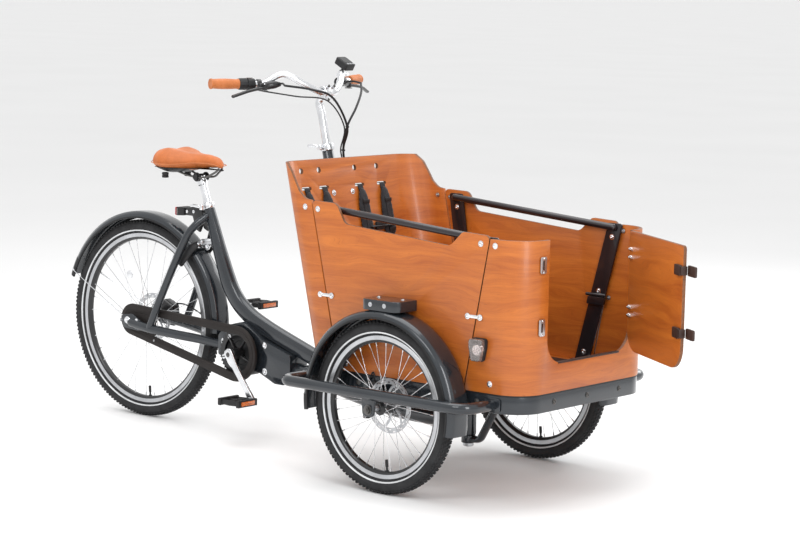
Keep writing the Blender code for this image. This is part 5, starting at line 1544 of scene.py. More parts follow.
    def lock(self) -> None:
        """Ring lock: a black horseshoe over the wheel with its steel works and key barrel."""
        lead = (at(0.25, 0, 0.585) - self.axle).normalized()
        across = Vector((lead.z, 0, -lead.x))
        middle = self.axle + lead * (0.33 + 0.026 + 0.004 - 0.052)
        outline = rounded([(0.0445, -0.02), (0.0445, 0.072), (-0.0445, 0.072), (-0.0445, -0.02)], 0.022, 8,
            closed=False)
        points = [middle + Vector((0, p[0], 0)) + lead * p[1] for p in outline]
        piece("ring_lock_hoop", sweep(points, (0.0135, 0.0072), 20, True), self.body, Finish.BLACK,
            smooth=50.0, replaces=["ring_lock"])
        works = []
        for reach, half, deep in ((0.07, 0.026, 0.011), (0.082, 0.018, 0.008)):
            spot = middle + lead * reach
            works.append(sweep([spot - Vector((0, half, 0)), spot + Vector((0, half, 0))], (deep, 0.011),
                16, True))
        works.append(rod(middle + lead * 0.074 - across * 0.01, middle + lead * 0.074 + across * 0.024,
            0.008, 20, 0.001))
        piece("ring_lock_works", merged(*works), self.body, Finish.STEEL, bevel=0.0008)
        spots = [(middle + lead * 0.072 + Vector((0, y, 0)) + across * 0.012, tuple(across))
            for y in (-0.033, -0.016, 0.018, 0.033)]
        bolted("ring_lock_screws", (0.0032, 0.0024), spots, Finish.CHROME, self.body)
        base = points[0] + across * 0.0145
        knob = merged(rod(base, base + across * 0.011, 0.0052, 20, 0.001),
            rod(base + across * 0.008, base + across * 0.0138, 0.0075, 24, 0.0012))
        piece("ring_lock_slider", knob, "lock_knob", Finish.CHROME, replaces=["lock_lever"])

    def tail_lamp(self) -> None:
        """Tail lamp on its bracket behind the seat tube, with reflector lens and cable tube."""
        housing = prism(rounded([(0.162, 0.689), (0.197, 0.691), (0.197, 0.716), (0.162, 0.717)], 0.004,
            4), -0.026, 0.026)
        piece("tail_lamp_housing", housing, self.body, Finish.BLACK, bevel=0.0018, replaces=["tail_lamp"])
        lens = prism(rounded([(0.1555, 0.691), (0.1622, 0.6885), (0.1622, 0.7175), (0.1555, 0.715)], 0.002,
            3), -0.025, 0.025)
        piece("tail_lamp_lens", lens, self.body, Finish.RED, bevel=0.0012)
        side_lens = prism(rounded(rect(0.1628, 0.694, 0.169, 0.712), 0.001, 2), -0.0264, 0.0264)
        piece("tail_lamp_side_window", side_lens, self.body, Finish.CLEAR)
        plates = []
        for side in (-1, 1):
            outline = rounded([(0.184, 0.693), (0.184, 0.716), (0.27, 0.722), (0.284, 0.672), (0.268,
                0.64), (0.246, 0.65), (0.232, 0.692)], 0.006, 4)
            plates.append(prism(outline, *sorted((side * 0.0175, side * 0.0205))))
        piece("tail_lamp_bracket", merged(*plates), self.body, Finish.BLACK_METAL, bevel=0.0006)
        bolts = [(at(x, side * 0.0205, z), (0, side, 0)) for side in (-1, 1)
            for x, z in ((0.206, 0.7045), (0.236, 0.7065), (0.262, 0.668))]
        bolted("tail_lamp_bolts", (0.0038, 0.0026), bolts, Finish.CHROME, self.body)

    def build(self) -> None:
        """Build the rear frame and what is fixed to it."""
        self.main_tube()
        self.lower_tube()
        for side, name in SIDES:
            self.stays(side, name)
        self.caliper()
        self.mudguard()
        self.lock()
        self.tail_lamp()


# ------------------------------------------------------------------ drive
@dataclass
class Drive:
    """Drive unit, cranks, chainring, chain and case, and the pedals."""

    bracket: Vector = field(default_factory=lambda: at(0.472, 0, 0.27))
    rear: Vector = field(default_factory=lambda: at(0, 0, 0.33))
    crank_length: float = 0.165
    crank_angle: float = radians(-53.0)
    pitch: float = 0.0127
    chain_y: float = -0.05
    teeth: tuple[int, int] = (38, 19)

    def loop(self, offset: float, step: Optional[float] = None) -> list[Vector]:
        """Return points round the two sprockets at an offset from the pitch line.

        Args:
            offset: Distance outside the pitch line.
            step: Spacing, where even points are wanted.

        Returns:
            The loop's points.
        """
        front, back = (self.pitch / (2 * sin(pi / n)) + offset for n in self.teeth)
        span = self.bracket - self.rear
        tilt = atan2(span.z, span.x)
        spread = acos((back - front) / span.length)
        ends = []
        for centre, radius, start, end, count in ((self.bracket, front, tilt - spread, tilt + spread, 40),
                (self.rear, back, tilt + spread, tilt - spread + 2 * pi, 28)):
            ends += [centre + Vector((p[0], 0, p[1])) for p in arc((0, 0), radius, start, end, count)]
        if step is None:
            return ends
        result, walked, target = [], 0.0, 0.0
        for a, b in zip(ends, [*ends[1:], ends[0]]):
            reach = (b - a).length
            while target < walked + reach:
                result.append(a.lerp(b, (target - walked) / reach))
                target += step
            walked += reach
        return result

    def chain(self) -> None:
        """Chain links on their pitch line, narrow and wide by turns."""
        points = self.loop(0.0, self.pitch)
        for kind, gap in (("inner", 0.0016), ("outer", 0.003)):
            plates = []
            for side in (-1, 1):
                y = side * gap
                outline = [*arc((0.0, self.pitch * 0.42), 0.004, 0.2, pi - 0.2, 6), (-0.0024, 0.0),
                    *arc((0.0, -self.pitch * 0.42), 0.004, pi + 0.2, 2 * pi - 0.2, 6), (0.0024, 0.0)]
                plates.append(prism(outline, y - 0.0005, y + 0.0005, shift=Vector()))
            plates.append(rod((0, -gap, self.pitch * 0.42), (0, gap, self.pitch * 0.42), 0.003, 10))
            places = []
            for k in range(0 if kind == "inner" else 1, len(points), 2):
                a, b = points[k], points[(k + 1) % len(points)]
                if (b - a).length < self.pitch * 1.4:
                    places.append(((a + b) / 2 + Vector((0, self.chain_y, 0)), tuple(b - a)))
            obj = Repeat.points(f"chain_{kind}_links", merged(*plates), places, Finish.DARK_STEEL,
                "rear_frame")
            if kind == "inner":
                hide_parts("chain")

    def band(self, low: float, high: float, near: float, far: float) -> Shape:
        """Closed band between two offsets from the chain and two distances across.

        Args:
            low: Inner offset.
            high: Outer offset.
            near: Its outer face.
            far: Its inner face.

        Returns:
            The band.
        """
        rings = []
        for a, b in zip(self.loop(high), self.loop(low)):
            rings.append([a + Vector((0, near, 0)), a + Vector((0, far, 0)), b + Vector((0, far, 0)),
                b + Vector((0, near, 0))])
        return skin(rings, along=True)

    def case(self) -> None:
        """Chain case with a raised rim, a seam and a closed rear end."""
        face = self.chain_y - 0.005
        piece("chain_case_band", self.band(-0.0135, 0.0138, face - 0.011, face), "rear_frame", Finish.CASE,
            bevel=0.0022, replaces=["chain_case"])
        piece("chain_case_rib", self.band(-0.004, 0.003, face - 0.012, face - 0.0105), "rear_frame",
            Finish.CASE, bevel=0.0004)
        span = self.bracket - self.rear
        tilt = atan2(span.z, span.x)
        cap = [(0.055, 0.372), (0.11, 0.352), (0.112, 0.288), (0.06, 0.272)]
        outline = [(p[0], p[1] + 0.33) for p in arc((0, 0), 0.046, tilt + 1.25, tilt - 1.25 + 2 * pi, 24)]
        plate = prism(rounded([*outline, cap[3], cap[2], cap[1], cap[0]], 0.004, 2), face - 0.0095,
            face - 0.0065)
        piece("chain_case_end", plate, "rear_frame", Finish.CASE, bevel=0.001)
        spots = [(self.rear + Vector((x, face - 0.0115, z)), (0, -1, 0))
            for x, z in ((0.1, 0.038), (0.33, 0.0), (0.105, -0.06), (0.3, -0.118))]
        bolted("chain_case_screws", (0.003, 0.0018), spots, Finish.STEEL, "rear_frame")

    def unit(self) -> None:
        """Round drive unit between the bracket plates, ribbed on its right cover."""
        profile = [(0.0108, -0.033), (0.038, -0.033), (0.04, -0.036), (0.06, -0.036), (0.066, -0.033),
            (0.074, -0.024), (0.0758, -0.018), (0.0758, 0.018), (0.074, 0.026), (0.066, 0.033), (0.0108,
            0.033)]
        shell = lathe(profile, self.bracket, (0, 1, 0), 72, closed=True)
        piece("drive_unit", shell, "rear_frame", Finish.BLACK, smooth=28.0, replaces=["drive_motor"])
        rib = block((-0.0016, 0.033, 0.03), (0.0016, 0.0345, 0.064))
        Repeat.round("drive_unit_ribs", moved(rib, Matrix.Translation(at(0, 0, 0)).inverted()), 24,
            self.bracket, Finish.BLACK, "rear_frame")
        ring = [(self.bracket + Vector((0.056 * cos(k * pi / 3 + 0.3), side * 0.0355,
            0.056 * sin(k * pi / 3 + 0.3))), (0, side, 0)) for k in range(6) for side in (-1, 1)]
        bolted("drive_unit_screws", (0.0036, 0.0028), ring, Finish.STEEL, "rear_frame")

    def crankset(self) -> None:
        """Toothed ring, five-arm spider, spindle and both crank arms."""
        radius, centre, y = self.pitch / (2 * sin(pi / self.teeth[0])), self.bracket, self.chain_y
        outline = []
        for k in range(self.teeth[0]):
            for share, r in ((0.0, -0.003), (0.28, -0.001), (0.42, 0.0026), (0.58, 0.0026), (0.72, -0.001)):
                angle = 2 * pi * (k + share) / self.teeth[0]
                outline.append((centre.x + (radius + r) * cos(angle), centre.z + (radius + r) * sin(angle)))
        ring = loose("chainring", prism(outline, y - 0.0012, y + 0.0012, shift=Vector()),
            [Finish.BLACK_METAL])
        cut(ring, rod(centre + Vector((0, -0.1, 0)), centre + Vector((0, 0.1, 0)), 0.058, 64))
        dressed(ring, "crank", [Finish.BLACK_METAL], smooth=25.0)
        arm = sweep([Vector((0.016, y - 0.001, 0)), Vector((0.04, y - 0.004, 0)),
            Vector((0.064, y - 0.002, 0))], [(0.0035, 0.0095), (0.0034, 0.0062), (0.0022, 0.008)], 16, True)
        Repeat.round("chainring_spider", arm, 5, centre, Finish.BLACK_METAL, "crank", radians(20))
        bolts = [(centre + Vector((0.061 * cos(t), y - 0.004, -0.061 * sin(t))), (0, -1, 0))
            for t in (radians(20 + 72 * k) for k in range(5))]
        bolted("chainring_bolts", (0.005, 0.0034), bolts, Finish.CHROME, "crank")
        hub = merged(rod(centre + Vector((0, -0.084, 0)), centre + Vector((0, -0.0375, 0)), 0.0175, 40,
            0.002), rod(centre + Vector((0, -0.09, 0)), centre + Vector((0, 0.09, 0)), 0.0098, 32),
            rod(centre + Vector((0, 0.0375, 0)), centre + Vector((0, 0.084, 0)), 0.015, 40, 0.002))
        piece("crank_spindle", hub, "crank", Finish.BLACK_METAL)
        for side, name in SIDES:
            self.arm(side, name)

    def tip(self, side: int) -> Vector:
        """Return the pedal axis on the crank's middle plane."""
        angle = self.crank_angle + (0 if side < 0 else pi)
        return self.bracket + Vector((self.crank_length * cos(angle), side * 0.09,
            self.crank_length * sin(angle)))

    def arm(self, side: int, name: str) -> None:
        """One forged crank arm: a broad boss, a slim waist with a shallow groove, and the pedal eye.

        Args:
            side: -1 on the right, 1 on the left.
            name: Name of the side, for the pieces' names.
        """
        root, tip = self.bracket + Vector((0, side * 0.09, 0)), self.tip(side)
        along = (tip - root).normalized()
        stations = ((-0.105, 0.01, 0.0052), (-0.07, 0.0165, 0.0062), (0.0, 0.0182, 0.0065), (0.09, 0.0165,
            0.0064), (0.26, 0.012, 0.006), (0.55, 0.0106, 0.0056), (0.82, 0.011, 0.0056), (0.94, 0.0126,
            0.0058), (1.0, 0.013, 0.0058), (1.05, 0.011, 0.0052), (1.078, 0.005, 0.0045))
        path = [root + along * (t * self.crank_length) for t, _, _ in stations]
        sizes = [(high, deep) for _, high, deep in stations]
        obj = loose(f"crank_arm_{name}", sweep(path, sizes, section=squared(0.5, 0.42, 36)), [Finish.ALLOY])
        out = Vector((0, side, 0))
        cut(obj, rod(root + out * 0.003, root + out * 0.02, 0.0078, 32),
            rod(tip + out * 0.0035, tip + out * 0.02, 0.0055, 24))
        dressed(obj, "crank", [Finish.ALLOY], bevel=0.0007, smooth=45.0, replaces=["crankset"] if side < 0
            else ())
        bolted(f"crank_bolt_{name}", (0.0052, 0.003), [(root + out * 0.0031, tuple(out))],
            Finish.DARK_STEEL, "crank")

    def pedal(self, side: int, name: str) -> None:
        """Platform pedal: two curved cage bars with teeth, a core on the spindle and four reflectors.

        Args:
            side: -1 on the right, 1 on the left.
            name: Name of the side, for the pieces' names.
        """
        body, tip = f"{name}_pedal", self.tip(side)
        start, wide, half, tall = 0.0071 + 0.014, 0.084, 0.0465, 0.0115
        bars = []
        for end in (-1, 1):
            x = end * (half - 0.007)
            outline = rounded(rect(x - 0.0068, -tall, x + 0.0068, tall), 0.003, 3)
            bars.append(prism(outline, start, start + wide, shift=Vector()))
            for k in range(7):
                y = start + 0.008 + k * (wide - 0.016) / 6
                bars.append(rod((x, y, -tall - 0.0003), (x, y, tall + 0.0003), 0.0018, 8))
        for k in range(3):
            y = start + 0.006 + k * (wide - 0.012) / 2
            bars.append(sweep([Vector((-half + 0.006, y, 0)), Vector((0, y, 0)),
                Vector((half - 0.006, y, 0))], [(0.007, 0.0032), (0.0095, 0.0045), (0.007, 0.0032)], 14))
        core = merged(*bars, rod((0, start + 0.002, 0), (0, start + wide - 0.004, 0), 0.0088, 24, 0.002))
        place = Matrix.Translation(tip) @ Matrix.Scale(side, 4, (0, 1, 0))
        piece(f"pedal_cage_{name}", moved(core, place), body, Finish.BLACK, bevel=0.0006,
            replaces=[f"pedal_{name}"])
        axle = rod((0, 0.0072, 0), (0, start + 0.004, 0), 0.0066, 24, 0.001)
        piece(f"pedal_axle_{name}", moved(axle, place), body, Finish.STEEL)
        panes = []
        for end in (-1, 1):
            x = end * (half + 0.0002)
            panes.append(block((x - 0.001, start + 0.012, -0.0065), (x + 0.001, start + wide - 0.012,
                0.0065)))
        glass = moved(merged(*panes), place @ Matrix.Translation(at(0, 0, 0)).inverted())
        piece(f"pedal_reflectors_{name}", glass, body, Finish.AMBER, bevel=0.0004)

    def build(self) -> None:
        """Build the drive."""
        self.unit()
        self.chain()
        self.case()
        self.crankset()
        for side, name in SIDES:
            self.pedal(side, name)


# ------------------------------------------------------------------ seat
@dataclass
class Seat:
    """Padded saddle on its shell, rails and clamp, the seatpost and its quick release."""

    body: str = "seat"
    rear_x: float = 0.09
    length: float = 0.258
    stations: tuple[tuple[float, float, float, float], ...] = ((0.0, 0.046, 0.884, 0.862), (0.02, 0.07,
        0.897, 0.846), (0.08, 0.091, 0.9065, 0.835), (0.2, 0.098, 0.9085, 0.829), (0.34, 0.091, 0.902,
        0.832), (0.48, 0.068, 0.8965, 0.84), (0.62, 0.043, 0.8945, 0.85), (0.78, 0.029, 0.8935, 0.852),
        (0.92, 0.0235, 0.8885, 0.851), (0.98, 0.018, 0.8805, 0.85), (1.0, 0.009, 0.87, 0.853))

    def ring(self, station: tuple[float, float, float, float], grow: float = 0.0) -> list[Vector]:
        """Return one cross section of the saddle: domed above, tucked in below.

        Args:
            station: Share of the length, half width, top and underside.
            grow: How far it is drawn out, or in.

        Returns:
            The section's points.
        """
        along, half, top, low = station
        middle = low + (top - low) * 0.42
        points = []
        for k in range(28):
            t = 2 * pi * k / 28
            across, rise = cos(t), sin(t)
            y = (half + grow) * (abs(across) ** 0.85) * (1 if across > 0 else -1)
            z = (middle + (top - middle + grow) * abs(rise) ** 0.9 if rise >= 0
                else middle - (middle - low + grow) * abs(rise) ** 0.7)
            y *= 1.0 if rise >= 0 else 1.0 + 0.16 * rise
            lobe = max(0.0, 1 - ((along - 0.2) / 0.34) ** 2)
            z += lobe * (0.007 * max(0.0, 1 - ((abs(y) / half - 0.62) / 0.36) ** 2) - 0.0045 * max(0.0,
                1 - (abs(y) / half / 0.26) ** 2)) * (rise > 0)
            points.append(at(self.rear_x + self.length * along, y,
                z - 0.006 * (along > 0.9) * (along - 0.9) * 10))
        return points

    def cover(self) -> None:
        """Padded cover, stitched round its skirt, with a shell below."""
        rings = [self.ring(station, -0.0035) for station in self.stations]
        obj = loose("saddle_cover", skin(rings), [Finish.TAN])
        Padding(0.005, 4.0, 0.005).fill(obj, lambda place: place.z < 0.842)
        dressed(obj, self.body, [Finish.TAN], replaces=["saddle"], smooth=80.0)
        inner = self.stations[1:-1]
        edge = []
        for sign in (-1, 1):
            side = [at(self.rear_x + self.length * a, sign * (half + 0.0006), low + (top - low) * 0.4)
                for a, half, top, low in inner]
            edge += side if sign < 0 else list(reversed(side))
        piece("saddle_piping", sweep(smooth_path([*edge, edge[0]], 5)[:-1], 0.0013, 8, closed=True),
            self.body, Finish.GRIP)
        shell = skin([[Vector((p.x, p.y * 0.9, min(p.z, 0.8535) - 0.0055)) for p in self.ring(s, -0.005)]
            for s in self.stations[1:-1]])
        piece("saddle_shell", shell, self.body, Finish.BLACK, smooth=40.0)

    def post(self) -> None:
        """Fluted seatpost with its head, the rails and a small elastomer."""
        lean = Vector((-0.36008, 0, 0.93292))
        foot, head = at(0.281, 0, 0.737) - lean * 0.16, at(0.281, 0, 0.737) + lean * 0.09
        flute = []
        for k in range(40):
            t = 2 * pi * k / 40
            dip = 1.0 - 0.035 * max(0.0, cos(2 * t)) ** 6
            flute.append((cos(t) * dip, sin(t) * dip))
        piece("seatpost_tube", sweep([foot, foot.lerp(head, 0.5), head], 0.0134, section=flute), self.body,
            Finish.CHROME, smooth=20.0, replaces=["seatpost"])
        piece("seatpost_head", rod(head - lean * 0.031, head - lean * 0.004, 0.0168, 36, 0.004), self.body,
            Finish.CHROME)
        clamp = merged(rod(head + Vector((0, -0.03, 0.0)), head + Vector((0, 0.03, 0)), 0.0105, 28,
            0.0015), rod(head + Vector((0.001, -0.024, 0.0)), head + Vector((0.001, -0.0185, 0)), 0.015,
            28, 0.001), rod(head + Vector((0.001, 0.0185, 0.0)), head + Vector((0.001, 0.024, 0)), 0.015,
            28, 0.001))
        piece("saddle_clamp", clamp, self.body, Finish.BLACK_METAL)
        rails = []
        for side in (-1, 1):
            y = side * 0.0215
            path = [at(0.132, side * 0.04, 0.853), at(0.15, side * 0.034, 0.842), (head.x - 0.03, y,
                head.z + 0.002), (head.x + 0.034, y, head.z + 0.001), at(0.318, side * 0.01, 0.838),
                at(0.335, side * 0.008, 0.852)]
            rails.append(sweep(smooth_path([Vector(p) for p in path], 6), 0.0035, 14, True))
        piece("saddle_rails", merged(*rails), self.body, Finish.DARK_STEEL)
        plugs = [(at(0.136, side * 0.052, 0.812), (0, 0, 1)) for side in (-1, 1)]
        turned = lathe([(0.004, 0.0), (0.0105, 0.001), (0.0115, 0.006), (0.0095, 0.009), (0.0115, 0.012),
            (0.0105, 0.018), (0.004, 0.019)], (0, 0, 0), (0, 0, 1), 24)
        Repeat.points("saddle_elastomers", turned, plugs, Finish.BLACK, self.body)

    def lever(self) -> None:
        """Quick release lever of the seat clamp with its pivot and nut."""
        top = at(0.281, 0, 0.737)
        release("seat_clamp", top + Vector((0.004, -0.0325, -0.012)), 0.045, "seat_clamp",
            "seat_clamp_lever")

    def build(self) -> None:
        """Build the seat."""
        self.cover()
        self.post()
        self.lever()


def release(name: str, centre: Vector, reach: float, body: str, node: str) -> None:
    """Curved quick release lever with a cam barrel.

    Args:
        name: Start of the piece's name.
        centre: Middle of the cam.
        reach: Length of the lever.
        body: The body that it rides on.
        node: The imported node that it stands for.
    """
    barrel = merged(rod(centre - Vector((0, 0.0, 0.0085)), centre + Vector((0, 0.0, 0.0085)), 0.0078, 24,
        0.001), sweep(smooth_path([centre, centre + Vector((-reach * 0.25, -0.005, 0.002)),
        centre + Vector((-reach * 0.65, -0.007, 0.004)), centre + Vector((-reach, -0.004, 0.002))], 5),
        (0.0052, 0.0034), 16, True))
    piece(f"{name}_quick_lever", barrel, body, Finish.CHROME, bevel=0.0003, replaces=[node])


# ------------------------------------------------------------------ box
def grained(bm: Shape, along: Sequence[float], across: Sequence[float]) -> Shape:
    """Lay the veneer flat on a body: U and V are distances along two directions.

    Args:
        bm: The body to change.
        along: Direction of the fibres.
        across: Direction across them.

    Returns:
        The same body.
    """
    uv = bm.loops.layers.uv.verify()
    u, v = Vector(along), Vector(across)
    for face in bm.faces:
        for loop in face.loops:
            loop[uv].uv = (loop.vert.co.dot(u), loop.vert.co.dot(v))
    return bm


def edged(bm: Shape, axis: int) -> Shape:
    """Give every face that doesn't look along an axis the sawn-edge finish."""
    return tinted(bm, 1, lambda face: abs(face.normal[axis]) < 0.7)


@dataclass
class Box:
    """Plywood box on its steel band: wrapped ends, side panels, floor, bench, rails and lamps."""

    body: str = "front_assembly"
    half: float = 0.318
    thick: float = 0.01
    bottom: float = 0.329
    front: float = 1.812
    lean: float = tan(radians(13.5))
    high: float = 0.925
    side_high: float = 0.822
    front_high: float = 0.765
    sill: float = 0.412
    opening: float = 0.203
    rows: tuple[float, ...] = (-0.215, -0.135, 0.03, 0.135)

    def rear_x(self, z: float) -> float:
        """Return the outside of the leaning rear wall at a height."""
        return 0.864 + self.lean * (self.high - z)

    def rear_joint(self, z: float) -> float:
        """Return the middle of the joint behind the side panel."""
        return 1.136 - self.lean * (z - self.bottom)

    def front_joint(self, z: float) -> float:
        """Return the middle of the joint ahead of the side panel."""
        return 1.607 + tan(radians(10.4)) * (z - self.bottom)

    def wrapped(self, end_x: float, far_x: float, corner: float, toward: int, top: float,
            lean: float) -> Shape:
        """Bend a sheet round both corners of one end of the box.

        Args:
            end_x: Where the sheet ends beside the side panels.
            far_x: Its outside at the bottom.
            corner: Outer radius of its corners.
            toward: 1 for the front, -1 for the rear.
            top: Level of its top edge.
            lean: Its lean, per metre of height.

        Returns:
            The bent sheet.
        """
        walls = []
        for inset in (0.0, self.thick):
            y, radius, centre = self.half - inset, corner - inset, far_x - toward * corner
            turn = arc((0, 0), radius, 0, pi / 2, 16)
            near = [(centre + toward * p.y, -self.half + corner - p.x) for p in turn]
            away = [(x, -side) for x, side in reversed(near)]
            walls.append([(end_x, -y), *near, *away, (end_x, y)])
        rings = []
        for (ax, ay), (bx, by) in zip(*walls):
            rise = lean * (self.bottom - top)
            rings.append([at(ax, ay, self.bottom), at(ax + rise, ay, top), at(bx + rise, by, top),
                at(bx, by, self.bottom)])
        return tinted(skin(rings), 1, lambda face: abs(face.normal.z) > 0.6)

    def rear_panel(self) -> None:
        """Wrapped rear wall with swept shoulders, hanging holes and strap slots."""
        bottom_x = self.rear_x(self.bottom)
        sheet = self.wrapped(1.134, bottom_x, 0.085, -1, self.high, self.lean)
        obj = loose("rear_wall", sheet, [Finish.PLY, Finish.PLY_EDGE])
        high, low = self.high, self.side_high
        start, end = self.rear_x(high), self.rear_joint(low)
        curve = rounded([(start + 0.02, high + 0.02), (start + 0.045, high - 0.004), (start + 0.066,
            high - 0.022), (start + 0.104, low + 0.022), (start + 0.128, low + 0.003), (end + 0.03,
            low - 0.004), (end + 0.03, high + 0.02)], [0, 0.03, 0.03, 0.03, 0.03, 0, 0], 8)
        tools = [prism(curve, -0.5, 0.5)]
        for row in self.rows:
            z = high - 0.032
            tools.append(rod(at(self.rear_x(z) - 0.03, row, z), at(self.rear_x(z) + 0.03, row, z), 0.009,
                28))
            z = high - 0.085
            slot = rounded([(row + 0.012 - 0.022, z - 0.005), (row + 0.034, z - 0.005), (row + 0.034,
                z + 0.005), (row - 0.01, z + 0.005)], 0.0048, 5)
            tools.append(prism(slot, self.rear_x(z) - 0.03, self.rear_x(z) + 0.03, "X"))
        cut(obj, *tools, index=1)
        dressed(obj, self.body, [Finish.PLY, Finish.PLY_EDGE], bevel=0.0011, replaces=["box_rear_panel"])

    def side_panel(self, side: int, name: str) -> None:
        """Flat side panel with the dip in its top edge.

        Args:
            side: -1 on the right, 1 on the left.
            name: Name of the side, for the pieces' names.
        """
        low, high, gap, front_top = self.bottom, self.side_high, 0.002, self.front_high + 0.012
        outline = [(self.rear_joint(low) + gap, low), (self.rear_joint(high) + gap, high), (1.115,
            high - 0.002), (1.15, high - 0.06), (1.545, front_top - 0.044), (1.59, front_top),
            (self.front_joint(front_top) - gap, front_top - 0.004), (self.front_joint(low) - gap, low)]
        shape = rounded(outline, [0, 0.012, 0.025, 0.025, 0.03, 0.02, 0.015, 0], 7)
        bm = mirrored(prism(shape, -self.half, -self.half + self.thick), side)
        piece(f"side_wall_{name}", edged(grained(bm, (1, 0, 0), (0, 0, 1)), 1), self.body, Finish.PLY,
            Finish.PLY_EDGE, bevel=0.0011, replaces=[f"box_side_{name}"])

    def front_panel(self) -> None:
        """Wrapped front wall with the door opening."""
        sheet = self.wrapped(1.577, self.front, 0.095, 1, self.front_high, 0.0)
        obj = loose("front_wall", sheet, [Finish.PLY, Finish.PLY_EDGE])
        low, high = self.bottom - 0.05, self.front_high + 0.05
        wedge = [(1.527, low), (self.front_joint(low) + 0.002, low), (self.front_joint(high) + 0.002,
            high), (1.527, high)]
        door = rounded(rect(-self.opening, self.sill, self.opening, high), [0.07, 0.07, 0, 0], 12)
        cut(obj, prism(wedge, -0.5, 0.5), prism(door, self.front - 0.05, self.front + 0.05, "X"), index=1)
        dressed(obj, self.body, [Finish.PLY, Finish.PLY_EDGE], bevel=0.0011, replaces=["box_front_panel"])

    def outline(self, inset: float) -> list[Vector]:
        """Return the box's plan just above its bottom, drawn in by an inset.

        Args:
            inset: How far it is drawn in.

        Returns:
            The outline's points.
        """
        rear_x, front_x, side = self.rear_x(self.bottom) + inset, self.front - inset, self.half - inset
        return rounded(rect(rear_x, -side, front_x, side), [0.085 - inset, 0.095 - inset, 0.095 - inset,
            0.085 - inset], 14)

    def base(self) -> None:
        """Floor board, and the steel band below with its lower lip and bolts."""
        floor = grained(prism(self.outline(0.0109), self.bottom, self.bottom + 0.012, "Z"), (1, 0, 0), (0,
            1, 0))
        piece("floor_board", edged(floor, 2), self.body, Finish.PLY, Finish.PLY_EDGE, bevel=0.001,
            replaces=["box_floor"])
        mat = grained(prism(self.outline(0.035), self.bottom + 0.0118, self.bottom + 0.0128, "Z"), (1, 0,
            0), (0, 1, 0))
        piece("floor_mat", mat, self.body, Finish.BLACK, bevel=0.0003)
        rings = []
        for outside, inside in zip(self.outline(0.002), self.outline(0.024)):
            rings.append([at(outside.x, outside.y, 0.275), at(outside.x, outside.y, 0.3284),
                at(inside.x, inside.y, 0.3284), at(inside.x, inside.y, 0.275)])
        piece("band_rail", skin(rings, along=True), self.body, Finish.FRAME, bevel=0.0022,
            replaces=["chassis_band"])
        lip = []
        for outside, inside in zip(self.outline(0.0012), self.outline(0.004)):
            lip.append([at(outside.x, outside.y, 0.3245), at(outside.x, outside.y, 0.3288),
                at(inside.x, inside.y, 0.3288), at(inside.x, inside.y, 0.3245)])
        piece("band_seal", skin(lip, along=True), self.body, Finish.TRIM)
        spots = [(at(x, side * 0.3162, 0.302), (0, side, 0)) for side in (-1, 1)
            for x in (1.06, 1.215, 1.5, 1.655)]
        spots += [(at(self.front - 0.0018, y, 0.302), (1, 0, 0)) for y in (-0.16, 0.0, 0.16)]
        bolted("band_bolts", (0.006, 0.004), spots, Finish.DARK_STEEL, self.body)

    def links(self) -> None:
        """Chrome joint straps, sill strip, strikers and the bolts in the panels."""
        strap = rounded(rect(-0.03, -0.0048, 0.03, 0.0048), 0.0047, 6)
        spots, plates = [], []
        for side in (-1, 1):
            for x, z in ((1.083, 0.546), (1.639, 0.541)):
                low, high = sorted((side * 0.3179, side * 0.32))
                plates.append(prism(strap, low, high, shift=at(x, 0, z)))
                spots += [(at(x + dx, side * 0.32, z), (0, side, 0)) for dx in (-0.022, 0.022)]
            for x, z in ((0.994, 0.801), (1.044, 0.798), (1.656, 0.749), (1.707, 0.747), (1.7, 0.356),
                    (1.06, 0.352), (1.165, 0.35), (1.56, 0.35)):
                spots.append((at(x, side * 0.3181, z), (0, side, 0)))
        piece("joint_straps", merged(*plates), self.body, Finish.CHROME, bevel=0.0006)
        bolted("panel_bolts", (0.0062, 0.0042), spots, Finish.CHROME, self.body)
        inner = [(place - Vector((0, aim[1] * 0.0121, 0)), (0, -aim[1], 0)) for place, aim in spots[2:]]
        Repeat.points("panel_nuts", hex_nut(0.0052, 0.0042), inner, Finish.STEEL, self.body)
        spots = [(self.wall(y, 0.822, 0.0), (1, 0, 0.24)) for y in (-0.083, 0.004)]
        bolted("rear_wall_bolts", (0.0062, 0.0042), spots, Finish.CHROME, self.body)
        strip = prism(rounded(rect(-0.15, 0.4095, 0.15, 0.4144), 0.002, 4), self.front - 0.0118,
            self.front + 0.0018, "X")
        piece("sill_strip", strip, self.body, Finish.LATCH, bevel=0.001)
        plates, slits, pins = [], [], []
        for z in (0.696, 0.52):
            outline = rounded(rect(-0.247, z - 0.024, -0.221, z + 0.024), 0.006, 5)
            plates.append(prism(outline, self.front, self.front + 0.004, "X"))
            slits.append(prism(rect(-0.24, z - 0.013, -0.232, z + 0.013), self.front + 0.0036,
                self.front + 0.0043, "X"))
            pins += [(at(self.front + 0.004, -0.234, z + dz), (1, 0, 0)) for dz in (-0.02, 0.02)]
        piece("strikers", merged(*plates), self.body, Finish.STEEL, bevel=0.0008)
        piece("striker_tongues", merged(*slits), self.body, Finish.LATCH, bevel=0.0008)
        bolted("striker_bolts", (0.003, 0.002), pins, Finish.CHROME, self.body)

